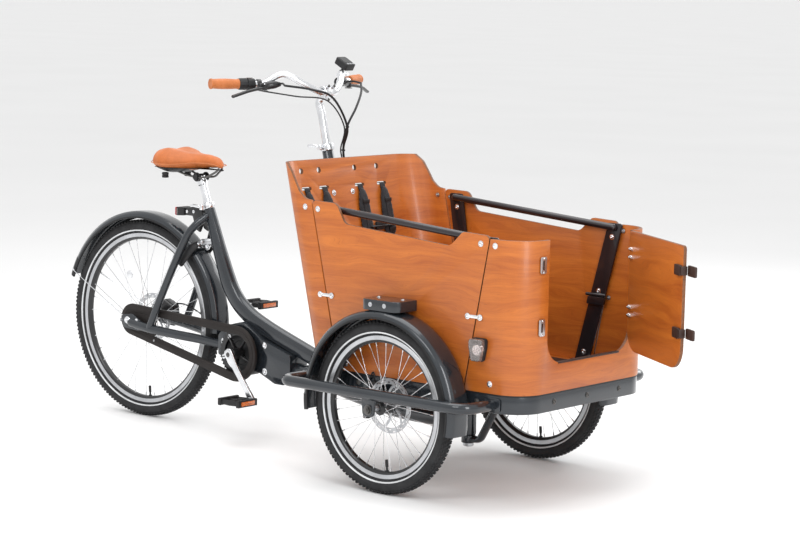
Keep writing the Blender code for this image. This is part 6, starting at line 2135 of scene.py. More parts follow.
    def seat(self) -> None:
        """Bench board on its front board, with the battery below."""
        rear = self.rear_x(0.566) + self.thick + 0.004
        deck = prism(rounded(rect(rear, 0.554, 1.29, 0.566), [0.001, 0.005, 0.005, 0.001], 5), -0.231,
            0.231)
        board = prism(rounded(rect(1.26, 0.3413, 1.272, 0.5545), 0.001, 2), -0.231, 0.231)
        wood = merged(grained(deck, (0, 1, 0), (1, 0, 1)), grained(board, (0, 1, 0), (0, 0, 1)))
        piece("bench_boards", tinted(wood, 1, lambda face: abs(face.normal.y) > 0.7), self.body,
            Finish.PLY, Finish.PLY_EDGE, bevel=0.0008, replaces=["bench"])
        rear = self.rear_x(self.bottom) + self.thick + 0.09
        case = prism(rounded(rect(rear, -0.105, rear + 0.1, 0.105), 0.014, 6), 0.3413, 0.4313, "Z")
        piece("battery_case", case, self.body, Finish.BLACK, bevel=0.004, segments=3, replaces=["battery"])
        trim = merged(*[prism(rounded(rect(rear - 0.001, -0.105 + k, rear + 0.101, -0.095 + k), 0.002, 3),
            0.35, 0.4222, "Z") for k in (0.03, 0.17)])
        piece("battery_bands", trim, self.body, Finish.TRIM, bevel=0.001)
        handle = sweep(smooth_path([at(rear + 0.05, -0.045, 0.43), at(rear + 0.05, -0.04, 0.452),
            at(rear + 0.05, 0.04, 0.452), at(rear + 0.05, 0.045, 0.43)], 6), (0.0048, 0.0085), 16, True)
        piece("battery_handle", handle, self.body, Finish.BLACK)

    def wall(self, y: float, z: float, off: float) -> Vector:
        """Return a place at a distance inside the rear wall."""
        return at(self.rear_x(z) + self.thick * 1.03 + off, y, z)

    def harness(self, name: str, rows: Pair) -> None:
        """One child's harness: two stuffed shoulder pads, their straps and a chest buckle.

        Args:
            name: Name of the seat's side.
            rows: Places of its two straps across the wall.
        """
        high, low = self.high - 0.093, self.high - 0.247
        shapes = []
        for row in rows:
            rings = []
            for k in range(15):
                z = low + (high - low) * k / 14
                end = min(1.0, sqrt(max(0.0, 1 - max(0.0, (abs(k - 7) - 5) / 2.1) ** 2)))
                wide = (0.0305 - 0.015 * max(0.0, (k - 7) / 7) ** 1.6) * (0.35 + 0.65 * end)
                middle, deep = row + 0.012, 0.0048 * (0.4 + 0.6 * end)
                rings.append([self.wall(middle + wide * cos(t), z, 0.0075 + deep * sin(t))
                    for t in [2 * pi * i / 20 for i in range(20)]])
            shapes.append(skin(rings))
        obj = loose(f"harness_pads_{name}", merged(*shapes), [Finish.PAD])
        Padding(0.004, 4.0, 0.0022).fill(obj)
        dressed(obj, self.body, [Finish.PAD], smooth=80.0, replaces=[f"harness_{name}"])
        straps, clips = [], []
        section = [(1, -1), (1, 1), (-1, 1), (-1, -1)]
        for row in rows:
            y = row + 0.012
            route = [self.wall(y, 0.84, -0.012), self.wall(y, 0.839, 0.0008), self.wall(y, 0.812, 0.006),
                self.wall(y, 0.795, 0.0152), self.wall(y, 0.745, 0.016), self.wall(y, 0.695, 0.0152),
                self.wall(y, 0.674, 0.007), self.wall(y, 0.655, 0.005), self.wall(y, 0.6, 0.006),
                self.wall(y, 0.575, 0.013)]
            straps.append(sweep(smooth_path(route, 6), (0.0008, 0.011), section=section))
            for z in (0.7, 0.79):
                clips.append(moved(block((-0.0025, -0.0145, -0.006), (0.0025, 0.0145, 0.006)),
                    Matrix.Translation(self.wall(y, z, 0.017) - at(0, 0, 0))))
        middle = (rows[0] + rows[1]) / 2 + 0.012
        low_z = low + 0.035
        across = [self.wall(rows[0] + 0.012, low_z, 0.0172), self.wall(middle, low_z, 0.012),
            self.wall(rows[1] + 0.012, low_z, 0.0172)]
        straps.append(sweep(smooth_path(across, 8), (0.011, 0.0008), section=section))
        piece(f"harness_straps_{name}", merged(*straps), self.body, Finish.STRAP)
        buckle = moved(block((-0.0045, -0.02, -0.013), (0.0045, 0.02, 0.013)),
            Matrix.Translation(self.wall(middle, low_z, 0.0125) - at(0, 0, 0)))
        piece(f"harness_buckles_{name}", merged(buckle, *clips), self.body, Finish.BLACK, bevel=0.0016)

    def rail(self, side: int, name: str) -> None:
        """Hand rail on two flat posts with brackets and bolts.

        Args:
            side: -1 on the right, 1 on the left.
            name: Name of the side, for the pieces' names.
        """
        inside = self.half - self.thick - 0.004
        y = -inside + 0.012
        start, end = at(1.075, y, 0.8), at(1.68, y, 0.756)
        tube = sweep([start, end], 0.0104, 28, True)
        posts, spots = [tube], []
        for foot_x, head in ((1.15, start), (1.575, end)):
            foot_z, wide, head_x = 0.3413, 0.026, head.x - REAR_AXLE_X
            slope = (head_x - foot_x) / (head.z - foot_z)
            top = head.z + 0.012
            outline = rounded([(foot_x - wide, foot_z), (foot_x + wide, foot_z),
                (foot_x + wide + slope * (top - foot_z), top), (foot_x - wide + slope * (top - foot_z),
                top)], [0.001, 0.001, 0.008, 0.008], 5)
            posts.append(prism(outline, -inside, -inside + 0.006))
            foot = rounded(rect(foot_x - wide, -inside + 0.001, foot_x + wide, -inside + 0.04), [0, 0,
                0.008, 0.008], 4)
            posts.append(prism(foot, 0.3413, 0.3463, "Z"))
            fold = foot_x + slope * (0.53 - foot_z)
            posts.append(prism(rounded([(fold - 0.031, 0.518), (fold + 0.031, 0.518), (fold + 0.036,
                0.542), (fold - 0.026, 0.542)], 0.004, 4), -inside + 0.0055, -inside + 0.015))
            posts.append(rod(at(fold - 0.034, -inside + 0.012, 0.548),
                at(fold + 0.038, -inside + 0.012, 0.548), 0.0052, 20, 0.001))
            for z in (0.37, 0.56, head.z - 0.03):
                x = foot_x + slope * (z - foot_z)
                spots.append((at(x, -side * (-inside + 0.006) * -1, z), (0, -side, 0)))
            spots += [(at(foot_x + dx, side * (inside - 0.028), 0.3463), (0, 0, 1))
                for dx in (-0.014, 0.014)]
        piece(f"hand_rail_{name}", mirrored(merged(*posts), side), self.body, Finish.POST, bevel=0.0008,
            replaces=[f"rail_{name}"])
        spots = [(Vector((p.x, side * abs(p.y), p.z)), aim) for p, aim in spots]
        bolted(f"hand_rail_bolts_{name}", (0.0062, 0.004), spots, Finish.CHROME, self.body)

    def lamp(self, side: int, name: str) -> None:
        """Front corner lamp: a silver housing with a clear, ribbed cover.

        Args:
            side: -1 on the right, 1 on the left.
            name: Name of the side, for the pieces' names.
        """
        y = -self.half - 0.0003
        back = prism(rounded([(1.649, 0.418), (1.681, 0.418), (1.69, 0.459), (1.69, 0.484), (1.64, 0.484),
            (1.64, 0.459)], 0.008, 6), y - 0.01, y)
        options = {"replaces": ["front_lamp"]} if side < 0 else {}
        piece(f"corner_lamp_{name}", mirrored(back, side), self.body, Finish.BLACK, bevel=0.0012, **options)
        cover = prism(rounded([(1.65, 0.4195), (1.68, 0.4195), (1.6885, 0.46), (1.6885, 0.4825), (1.6415,
            0.4825), (1.6415, 0.46)], 0.008, 6), y - 0.03, y - 0.0095)
        piece(f"corner_lamp_cover_{name}", mirrored(cover, side), self.body, Finish.CLEAR, bevel=0.005,
            segments=4)
        bulb = merged(rod(at(1.665, y - 0.0098, 0.451), at(1.665, y - 0.014, 0.451), 0.015, 32, 0.002),
            rod(at(1.665, y - 0.0138, 0.451), at(1.665, y - 0.02, 0.451), 0.006, 20, 0.002))
        piece(f"corner_lamp_reflector_{name}", mirrored(bulb, side), self.body, Finish.CHROME)

    def build(self) -> None:
        """Build the box and what is fixed on and in it."""
        self.rear_panel()
        self.front_panel()
        self.base()
        self.links()
        self.seat()
        self.harness("right", self.rows[:2])
        self.harness("left", self.rows[2:])
        for side, name in SIDES:
            self.side_panel(side, name)
            self.rail(side, name)
            self.lamp(side, name)


@dataclass
class Door:
    """Door leaf swung open, its hinges, and the two rubber latches on its free edge."""

    box: Box = field(default_factory=Box)
    hinge: Vector = field(default_factory=lambda: at(1.818, 0.203, 0))
    angle: float = radians(56.5)
    latches: Pair = (0.696, 0.52)

    def turn(self) -> Matrix:
        """Return the movement from shut to the open position."""
        return (Matrix.Translation(self.hinge) @ Matrix.Rotation(self.angle, 4,
            "Z") @ Matrix.Translation(-self.hinge))

    def build(self) -> None:
        """Build the door."""
        box, about = self.box, self.turn()
        free, hung, low, high = -box.opening + 0.008, box.opening - 0.003, box.sill + 0.003, box.front_high
        outline = rounded(rect(free, low, hung, high), [0.067, 0.067, 0.008, 0.012], 12)
        leaf = edged(grained(prism(outline, box.front - box.thick, box.front, "X"), (0, 1, 0), (0, 0, 1)),
            0)
        piece("door_leaf_board", moved(leaf, about), "door_leaf", Finish.PLY, Finish.PLY_EDGE,
            bevel=0.0011, replaces=["door"])
        spots, fixed, inner, knuckles, leaves, plates = [], [], [], [], [], []
        for z in (0.7, 0.53):
            knuckles.append(rod(self.hinge + Vector((0.0, 0.0, z - 0.024)),
                self.hinge + Vector((0, 0, z + 0.024)), 0.0046, 20, 0.0008))
            near = rounded(rect(0.203, z - 0.021, 0.232, z + 0.021), 0.004, 4)
            plates.append(prism(near, box.front + 0.0001, box.front + 0.0022, "X"))
            flap = rounded(rect(0.167, z - 0.021, 0.202, z + 0.021), 0.004, 4)
            leaves.append(prism(flap, box.front + 0.0001, box.front + 0.0022, "X"))
            for dz in (-0.012, 0.012):
                for y in (0.18, 0.191):
                    inner.append((about @ at(box.front - box.thick, y, z + dz),
                        tuple(about.to_3x3() @ Vector((-1, 0, 0)))))
                spots.append((about @ at(box.front + 0.0022, 0.18, z + dz),
                    tuple(about.to_3x3() @ Vector((1, 0, 0)))))
                fixed.append((at(box.front + 0.0022, 0.222, z + dz), (1, 0, 0)))
        piece("door_hinge_plates", merged(*plates, *knuckles), "front_assembly", Finish.STEEL, bevel=0.0005)
        piece("door_hinge_flaps", moved(merged(*leaves), about), "door_leaf", Finish.STEEL, bevel=0.0005)
        bolted("door_hinge_bolts", (0.004, 0.0024), spots, Finish.CHROME, "door_leaf")
        Repeat.points("door_hinge_nuts", hex_nut(0.0046, 0.0046), inner, Finish.CHROME, "door_leaf")
        bolted("door_hinge_fixed_bolts", (0.004, 0.0024), fixed, Finish.CHROME, "front_assembly")
        for node, z in zip(("upper", "lower"), self.latches):
            x, y = box.front + 0.005, free - 0.0005
            strap = rounded(rect(y - 0.0485, z - 0.015, y + 0.003, z + 0.015), 0.005, 5)
            body = prism(strap, x - 0.0004, x + 0.0062, "X")
            ribs = [prism(rounded(rect(y - 0.045 + k * 0.008, z - 0.012, y - 0.041 + k * 0.008, z + 0.012),
                0.0012, 2), x + 0.0058, x + 0.0072, "X") for k in range(3)]
            piece(f"latch_strap_{node}", moved(merged(body, *ribs), about), f"{node}_latch", Finish.LATCH,
                bevel=0.001, replaces=[f"latch_{node}"])
            mount = rounded(rect(y + 0.009, z - 0.0125, y + 0.032, z + 0.0125), 0.004, 5)
            back = rounded(rect(y + 0.0035, z - 0.015, y + 0.046, z + 0.015), 0.005, 5)
            inside = box.front - box.thick
            mounts = merged(prism(mount, box.front + 0.0001, box.front + 0.005, "X"),
                prism(back, inside - 0.0085, inside - 0.0001, "X"),
                prism(rect(y - 0.005, z - 0.0125, y + 0.0002, z + 0.0125), inside - 0.008,
                box.front + 0.0012, "X"))
            piece(f"latch_mount_{node}", moved(mounts, about), "door_leaf", Finish.LATCH, bevel=0.0016)
            holds = [(about @ at(box.front + 0.005, y + dy, z), tuple(about.to_3x3() @ Vector((1, 0, 0))))
                for dy in (0.015, 0.025)]
            bolted(f"latch_bolts_{node}", (0.003, 0.002), holds, Finish.CHROME, "door_leaf")


# ------------------------------------------------------------------ front chassis
@dataclass
class Chassis:
    """Kingpin bridge, kingpin, guard tubes, axles, mudguards and calipers of the front."""

    body: str = "front_assembly"
    axle_x: float = 1.361
    axle_z: float = 0.2535
    wheel_y: float = 0.372
    guard_y: float = 0.442
    guard_z: float = 0.299
    band: float = 0.316
    pin_x: float = 1.381

    def bridge(self) -> None:
        """Cross beam with its webs, axle plates, pivot boss and the brace below."""
        inside, top, low, x = self.band - 0.022 - 0.0003, 0.3284, 0.217, self.pin_x
        outline = rounded(rect(x - 0.062, low + 0.03, x + 0.042, top), 0.006, 4)
        beam = loose("front_bridge", prism(outline, -inside, inside), [Finish.FRAME])
        brace = rounded([(x, 0, 0.113), (x + 0.045, 0, 0.116), (x + 0.105, 0, low + 0.01), (x + 0.105, 0,
            top - 0.012)], 0.02, 6, closed=False)
        brace = [p + at(0, 0, 0) for p in brace]
        pieces = [rod(at(x, 0, 0.206), at(x, 0, low + 0.05), 0.024, 40),
            rod(at(x, 0, 0.102), at(x, 0, 0.1275), 0.0215, 40, 0.002), sweep(brace, (0.0105, 0.0155), 20),
            block((x + 0.032, -0.016, top - 0.026), (x + 0.112, 0.016, top))]
        for side in (-1, 1):
            plate = rounded([(self.axle_x - 0.026, 0.2295), (self.axle_x + 0.026, 0.2295),
                (self.axle_x + 0.03, top - 0.02), (self.axle_x - 0.03, top - 0.02)], 0.01, 6)
            outer = side * (inside - 0.002)
            pieces.append(prism(plate, *sorted((outer, outer - side * 0.01))))
        cut(beam, *pieces, operation="UNION")
        cut(beam, rod(at(x, 0, 0.0), at(x, 0, 0.245), 0.0136, 32),
            rod(at(self.axle_x, -0.5, self.axle_z), at(self.axle_x, 0.5, self.axle_z), 0.0084, 32))
        dressed(beam, self.body, [Finish.FRAME], bevel=0.0014, replaces=["kingpin_bridge"])
        pin = lathe([(0.006, -0.012), (0.014, -0.01), (0.016, -0.008), (0.016, -0.0003), (0.0126, -0.0003),
            (0.0126, 0.138), (0.006, 0.139)], at(x, 0, 0.102), (0, 0, 1), 40)
        piece("pivot_pin", pin, self.body, Finish.STEEL, smooth=30.0, replaces=["kingpin"])
        cross = [block((x0, -inside, 0.3), (x0 + 0.024, inside, 0.3282)) for x0 in (1.13, 1.64)]
        piece("floor_cross_bars", merged(*cross), self.body, Finish.FRAME, bevel=0.0016)

    def guard(self, side: int, name: str) -> None:
        """Bent guard tube with the hanger of the outer axle end, and the axle with its nuts.

        Args:
            side: -1 on the right, 1 on the left.
            name: Name of the side, for the pieces' names.
        """
        rear, front, y = 1.025, 1.711, self.guard_y
        route = [(rear, -self.band - 0.0003, self.guard_z), (rear, -y + 0.022, self.guard_z),
            (rear + 0.022, -y, self.guard_z), (front, -y, self.guard_z), (front, -self.band - 0.0003,
            self.guard_z)]
        path = [p + at(0, 0, 0) for p in rounded(route, [0, 0.03, 0.03, 0.05, 0], 8, closed=False)]
        plate = rounded([(self.axle_x - 0.026, self.guard_z - 0.002), (self.axle_x - 0.02,
            self.axle_z - 0.02), (self.axle_x + 0.02, self.axle_z - 0.02), (self.axle_x + 0.026,
            self.guard_z - 0.002)], [0.001, 0.014, 0.014, 0.001], 6)
        obj = loose(f"guard_bar_{name}", mirrored(sweep(path, 0.0163, 28), side), [Finish.FRAME])
        cut(obj, mirrored(prism(plate, -y - 0.003, -y + 0.005), side), operation="UNION")
        cut(obj, rod(at(self.axle_x, -0.6, self.axle_z), at(self.axle_x, 0.6, self.axle_z), 0.0084, 28))
        dressed(obj, self.body, [Finish.FRAME], bevel=0.0006, smooth=45.0, replaces=[f"guard_tube_{name}"])
        flanges = [prism(rounded(rect(x - 0.028, self.guard_z - 0.021, x + 0.028, self.guard_z + 0.021),
            0.01, 5), -self.band - 0.0042, -self.band - 0.0002) for x in (rear, front)]
        piece(f"guard_flanges_{name}", mirrored(merged(*flanges), side), self.body, Finish.FRAME,
            bevel=0.0008)
        outer, inner = -(y + 0.0035), -0.2795
        spin = rod(at(self.axle_x, outer - 0.006, self.axle_z), at(self.axle_x, inner, self.axle_z),
            0.0078, 28, 0.001)
        piece(f"stub_axle_{name}", mirrored(spin, side), self.body, Finish.STEEL, replaces=[f"axle_{name}"])
        ends = [(at(self.axle_x, side * (y + 0.0031), self.axle_z), (0, side, 0)),
            (at(self.axle_x, side * 0.2812, self.axle_z), (0, -side, 0))]
        Repeat.points(f"axle_nuts_{name}", hex_nut(0.011, 0.0082), ends, Finish.DARK_STEEL, self.body)

    def mudguard(self, side: int, name: str) -> None:
        """Mudguard with trim, its mounting block, bolts and rear rubber end.

        Args:
            side: -1 on the right, 1 on the left.
            name: Name of the side, for the pieces' names.
        """
        centre = at(self.axle_x, -self.wheel_y, self.axle_z)
        sheet, trim = mudguard(centre, 0.2795, 0.082, radians(188), radians(-10), 84)
        piece(f"front_guard_sheet_{name}", mirrored(sheet, side), self.body, Finish.FRAME, smooth=45.0,
            replaces=[f"front_mudguard_{name}"])
        piece(f"front_guard_trim_{name}", mirrored(trim, side), self.body, Finish.TRIM)
        end, _ = mudguard(centre, 0.2803, 0.0832, radians(188), radians(178), 8)
        piece(f"front_guard_end_{name}", mirrored(end, side), self.body, Finish.TRIM, smooth=45.0)
        x, half, top = self.axle_x, 0.07, self.axle_z + 0.2825
        mount = rounded(rect(x - half, -0.408, x + half, -self.band - 0.0023), [0.024, 0.024, 0.002,
            0.002], 8)
        piece(f"guard_mount_{name}", mirrored(prism(mount, top - 0.001, top + 0.0305, "Z"), side),
            self.body, Finish.FRAME, bevel=0.0035, segments=3)
        spots = [(at(x + dx, side * 0.408, top + 0.016), (0, side, 0)) for dx in (-0.03, 0.022)]
        spots += [(at(x + dx, side * 0.352, top + 0.0305), (0, 0, 1)) for dx in (-0.045, 0.045)]
        bolted(f"guard_mount_bolts_{name}", (0.0048, 0.0034), spots, Finish.STEEL, self.body)

    def caliper(self, side: int, name: str) -> None:
        """Disc brake caliper on a bracket below the band.

        Args:
            side: -1 on the right, 1 on the left.
            name: Name of the side, for the pieces' names.
        """
        y = -0.316
        x, z = self.axle_x - 0.062, self.axle_z + 0.026
        outline = rounded([(x - 0.024, z - 0.034), (x + 0.012, z - 0.04), (x + 0.02, z - 0.008),
            (x + 0.014, z + 0.034), (x - 0.024, z + 0.034)], 0.008, 5)
        shell = merged(prism(outline, y - 0.026, y - 0.002),
            rod(at(x - 0.006, y - 0.025, z - 0.004), at(x - 0.006, y - 0.031, z - 0.004), 0.013, 24, 0.002))
        piece(f"front_caliper_{name}", mirrored(shell, side), self.body, Finish.BLACK_METAL, bevel=0.0014)
        pot = merged(rod(at(x - 0.04, y - 0.012, 0.202), at(x - 0.04, y - 0.012, 0.272), 0.012, 28, 0.002),
            rod(at(x - 0.04, y - 0.012, 0.262), at(x - 0.04, y - 0.012, 0.292), 0.006, 20, 0.001))
        piece(f"front_brake_pot_{name}", mirrored(pot, side), self.body, Finish.BLACK)
        hose = smooth_path([at(x - 0.01, y - 0.014, z + 0.03), at(x - 0.02, y - 0.012, z + 0.06),
            at(x - 0.06, y + 0.004, 0.3), at(x - 0.14, y + 0.03, 0.302), at(1.1, -0.2, 0.3)], 7)
        piece(f"front_brake_hose_{name}", mirrored(sweep(hose, 0.0026, 10), side), self.body, Finish.CABLE)

    def build(self) -> None:
        """Build the front chassis."""
        self.bridge()
        for side, name in SIDES:
            self.guard(side, name)
            self.mudguard(side, name)
            self.caliper(side, name)


# ------------------------------------------------------------------ steering column and bar
@dataclass
class Bars:
    """Steering column, stem, handlebar, grips, shifter, brake levers, display, bell and cables."""

    body: str = "bar_assembly"
    clamp: Vector = field(default_factory=lambda: at(0.79, 0, 1.123))
    end: Vector = field(default_factory=lambda: at(0.623, 0.34, 1.148))
    inner: Vector = field(default_factory=lambda: at(0.659, 0.25, 1.147))
    radius: float = 0.0111
    box: Box = field(default_factory=Box)

    def column_x(self, z: float) -> float:
        """Return the column's axis at a height."""
        return self.box.rear_x(z) - 0.046 - 0.0175

    def axis(self, z: float) -> Vector:
        """Return a place on the column's axis."""
        return at(self.column_x(z), 0, z)

    def along(self, distance: float, side: int, lift: Sequence[float] = (0, 0, 0)) -> Vector:
        """Return a place at a distance in from one end of the bar.

        Args:
            distance: Distance from the bar's end.
            side: -1 on the right, 1 on the left.
            lift: A further shift.

        Returns:
            The place.
        """
        ahead = (self.inner - self.end).normalized()
        place = self.end + ahead * distance
        return Vector((place.x, side * place.y, place.z)) + Vector(lift)

    def facing(self, side: int) -> Vector:
        """Return the direction of the straight part of the bar, outwards to inwards."""
        ahead = (self.inner - self.end).normalized()
        return Vector((ahead.x, side * ahead.y, ahead.z))

    def column(self) -> None:
        """Column tube with its lined top, on two bolted brackets."""
        lean = (self.axis(0.962) - self.axis(0.56)).normalized()
        reach = (self.axis(0.962) - self.axis(0.56)).length
        tube = lathe([(0.006, 0.0), (0.0165, 0.0), (0.0175, 0.001), (0.0175, reach - 0.001), (0.0168,
            reach), (0.0134, reach), (0.0134, reach - 0.24), (0.006, reach - 0.24)], self.axis(0.56), lean,
            40, closed=True)
        brackets, spots = [], []
        for z in (0.6, 0.86):
            x = self.box.rear_x(z)
            lean_x = self.box.lean
            outline = [(self.column_x(z) + 0.015, z - 0.014), (x + 0.014 * lean_x - 0.0006, z - 0.014),
                (x - 0.014 * lean_x - 0.0006, z + 0.014), (self.column_x(z) + 0.008, z + 0.014)]
            brackets.append(prism(outline, -0.022, 0.022))
            brackets.append(lathe([(0.0172, -0.013), (0.0205, -0.013), (0.0212, -0.012), (0.0212, 0.012),
                (0.0205, 0.013), (0.0172, 0.013)], self.axis(z), lean, 36, closed=True))
            spots += [(at(self.column_x(z) + 0.024, side * 0.022, z), (0, side, 0)) for side in (-1, 1)]
        piece("column_tube", tube, "front_assembly", Finish.FRAME, smooth=50.0,
            replaces=["steering_column"])
        piece("column_brackets", merged(*brackets), "front_assembly", Finish.FRAME, bevel=0.001)
        bolted("column_bolts", (0.005, 0.0034), spots, Finish.CHROME, "front_assembly")
        top = self.axis(0.962)
        collar = merged(lathe([(0.014, -0.022), (0.0208, -0.022), (0.0214, -0.02), (0.0214, -0.002),
            (0.0206, 0.0), (0.014, 0.0)], top, lean, 40, closed=True),
            sweep([top + Vector((-0.002, -0.018, -0.012)), top + Vector((-0.002, 0.021, -0.012))], 0.0062,
            16))
        piece("column_clamp", collar, "front_assembly", Finish.ALLOY, bevel=0.0006)
        release("stem_clamp", at(self.column_x(0.962), -0.0295, 0.952), 0.045, "stem_clamp",
            "stem_clamp_lever")

    def stem(self) -> None:
        """Bent stem tube with its bar clamp, cap and four bolts."""
        route = rounded([self.axis(0.792), self.axis(1.057), at(0.754, 0, 1.093), self.clamp], 0.03, 8,
            closed=False)
        tube = sweep(route, 0.0128, 32)
        turn = [(0.0115, -0.0236), (0.018, -0.0236), (0.019, -0.0222), (0.019, -0.003), (0.0178, -0.0022),
            (0.0178, 0.0022), (0.019, 0.003), (0.019, 0.0222), (0.018, 0.0236), (0.0115, 0.0236)]
        clamp = lathe(turn, self.clamp, (0, 1, 0), 48, closed=True)
        lugs = [block((0.79 + 0.008, side * 0.0125 - 0.0075, 1.123 + up * 0.0195 - 0.0045), (0.79 + 0.0185,
            side * 0.0125 + 0.0075, 1.123 + up * 0.0195 + 0.0015)) for side in (-1, 1) for up in (-1, 1)]
        piece("stem_tube", merged(tube, clamp), self.body, Finish.ALLOY, bevel=0.0004, replaces=["stem"])
        piece("stem_lugs", merged(*lugs), self.body, Finish.ALLOY, bevel=0.0012)
        spots = [(at(0.79 + 0.0185, side * 0.0125, 1.123 + up * 0.021 - 0.0015), (1, 0, 0))
            for side in (-1, 1) for up in (-1, 1)]
        bolted("stem_bolts", (0.0034, 0.003), spots, Finish.DARK_STEEL, self.body)

    def bar(self) -> None:
        """Bar bent up and back on both sides, with its end plugs."""
        half = [self.clamp, at(0.79, -0.035, 1.123), at(0.768, -0.085, 1.149), at(0.728, -0.135, 1.177),
            self.along(0.172, -1), self.along(0.156, -1)]
        right = smooth_path(half, 7) + [self.along(0.0, -1)]
        path = [Vector((p.x, -p.y, p.z)) for p in reversed(right[1:])] + right
        piece("bar_tube", sweep(path, 0.01105, 32), self.body, Finish.ALLOY, smooth=50.0,
            replaces=["handlebar"])
        for side, name, reach in ((-1, "right", 0.088), (1, "left", 0.096)):
            aim = self.facing(side)
            start = self.along(-0.004, side)
            total = reach + 0.004
            profile = [(0.0113, 0.0), (0.015, 0.0), (0.0163, 0.0022)]
            for k in range(14):
                d = 0.01 + (total - 0.02) * k / 13
                swell = 0.015 + 0.0013 * sin(pi * k / 13)
                profile += [(swell - 0.0006, d - 0.0012), (swell, d), (swell, d + 0.0022), (swell - 0.0006,
                    d + 0.0034)]
            profile += [(0.0163, total - 0.0022), (0.0155, total), (0.0113, total)]
            grip = lathe(profile, start, aim, 40, closed=True)
            piece(f"grip_cover_{name}", grip, self.body, Finish.GRIP, smooth=35.0,
                replaces=[f"grip_{name}"])
            plug = merged(rod(start + aim * -0.0012, start + aim * 0.006, 0.0112, 32, 0.001),
                lathe([(0.0112, -0.0016), (0.0158, -0.0016), (0.0162, 0.0), (0.0112, 0.0)], start, aim, 36,
                closed=True))
            piece(f"bar_plug_{name}", plug, self.body, Finish.GRIP)

    def shifter(self) -> None:
        """Twist shifter: a ribbed collar that turns on the bar, and its fixed housing."""
        aim, start = self.facing(-1), self.along(0.0886, -1)
        ribs = []
        for k in range(48):
            t = 2 * pi * k / 48
            lift = 1.0 if k % 4 < 2 else 0.955
            ribs.append((cos(t) * lift, sin(t) * lift))
        collar = sweep([start + aim * d for d in (0.0, 0.002, 0.024, 0.026)], [0.016, 0.0178, 0.0186,
            0.0172], section=ribs)
        house = lathe([(0.0113, 0.027), (0.0168, 0.027), (0.0188, 0.029), (0.0188, 0.044), (0.017, 0.0514),
            (0.0113, 0.0514)], start, aim, 40, closed=True)
        obj = loose("shifter_collar", collar, [Finish.BLACK])
        cut(obj, rod(start - aim * 0.01, start + aim * 0.1, 0.0113, 28))
        dressed(obj, "shifter", [Finish.BLACK], bevel=0.0003, smooth=30.0, replaces=["twist_shifter"])
        piece("shifter_housing", house, "shifter", Finish.TRIM, smooth=30.0)
        spot = start + aim * 0.036
        window = block((-0.0065, -0.009, 0.0), (0.0065, 0.009, 0.0022))
        place = Matrix.Translation(spot + Vector((0, 0, 0.018)) - at(0, 0, 0))
        piece("shifter_window", moved(window, place), "shifter", Finish.CLEAR, bevel=0.0008)

    def levers(self) -> None:
        """Brake levers with their blades, master cylinders and bar clamps."""
        for side, name in SIDES:
            pivot = self.along(0.15, side, (0.03, side * -0.004, -0.01))
            tip = self.along(0.03, side, (0.052, 0, -0.036))
            middle = self.along(0.09, side, (0.05, 0, -0.018))
            path = smooth_path([pivot, middle, tip], 8)
            sizes = [(0.0072 - 0.0014 * sin(pi * k / (len(path) - 1)), 0.005) for k in range(len(path))]
            blade = merged(sweep(path, sizes, 20, True),
                rod(pivot - Vector((0, 0, 0.0072)), pivot + Vector((0, 0, 0.0072)), 0.0078, 28, 0.001))
            piece(f"brake_blade_{name}", blade, f"{name}_brake_lever", Finish.BLACK_METAL,
                replaces=[f"brake_lever_{name}"])
            pin = [(pivot + Vector((0, 0, 0.0112)), (0, 0, 1))]
            bolted(f"brake_pin_{name}", (0.0032, 0.0018), pin, Finish.CHROME, self.body)
            aim = self.facing(side)
            hold = self.along(0.156, side)
            ring = lathe([(0.0113, -0.0065), (0.015, -0.0065), (0.0155, -0.005), (0.0155, 0.005), (0.015,
                0.0065), (0.0113, 0.0065)], hold, aim, 36, closed=True)
            base = hold + Vector((0.0145, 0, -0.004))
            body = sweep([base + aim * -0.004, base + Vector((0.008, 0, 0)) + aim * 0.01,
                base + Vector((0.014, 0, 0.004)) + aim * 0.034,
                base + Vector((0.016, 0, 0.005)) + aim * 0.046],
                [(0.0092, 0.008), (0.0125, 0.011), (0.0118, 0.01), (0.0074, 0.0066)], 24, True)
            yokes = [block((pivot.x - REAR_AXLE_X - 0.012, pivot.y - 0.0075, pivot.z + dz - 0.0013),
                (pivot.x - REAR_AXLE_X + 0.0075, pivot.y + 0.0075, pivot.z + dz + 0.0013))
                for dz in (-0.0095, 0.0095)]
            piece(f"brake_master_{name}", merged(ring, body, *yokes), self.body, Finish.BLACK_METAL,
                bevel=0.0007)
            bolts = [(hold + Vector((-0.015, 0, 0.002)), (-1, 0, 0))]
            bolted(f"brake_clamp_bolt_{name}", (0.0032, 0.0024), bolts, Finish.CHROME, self.body)

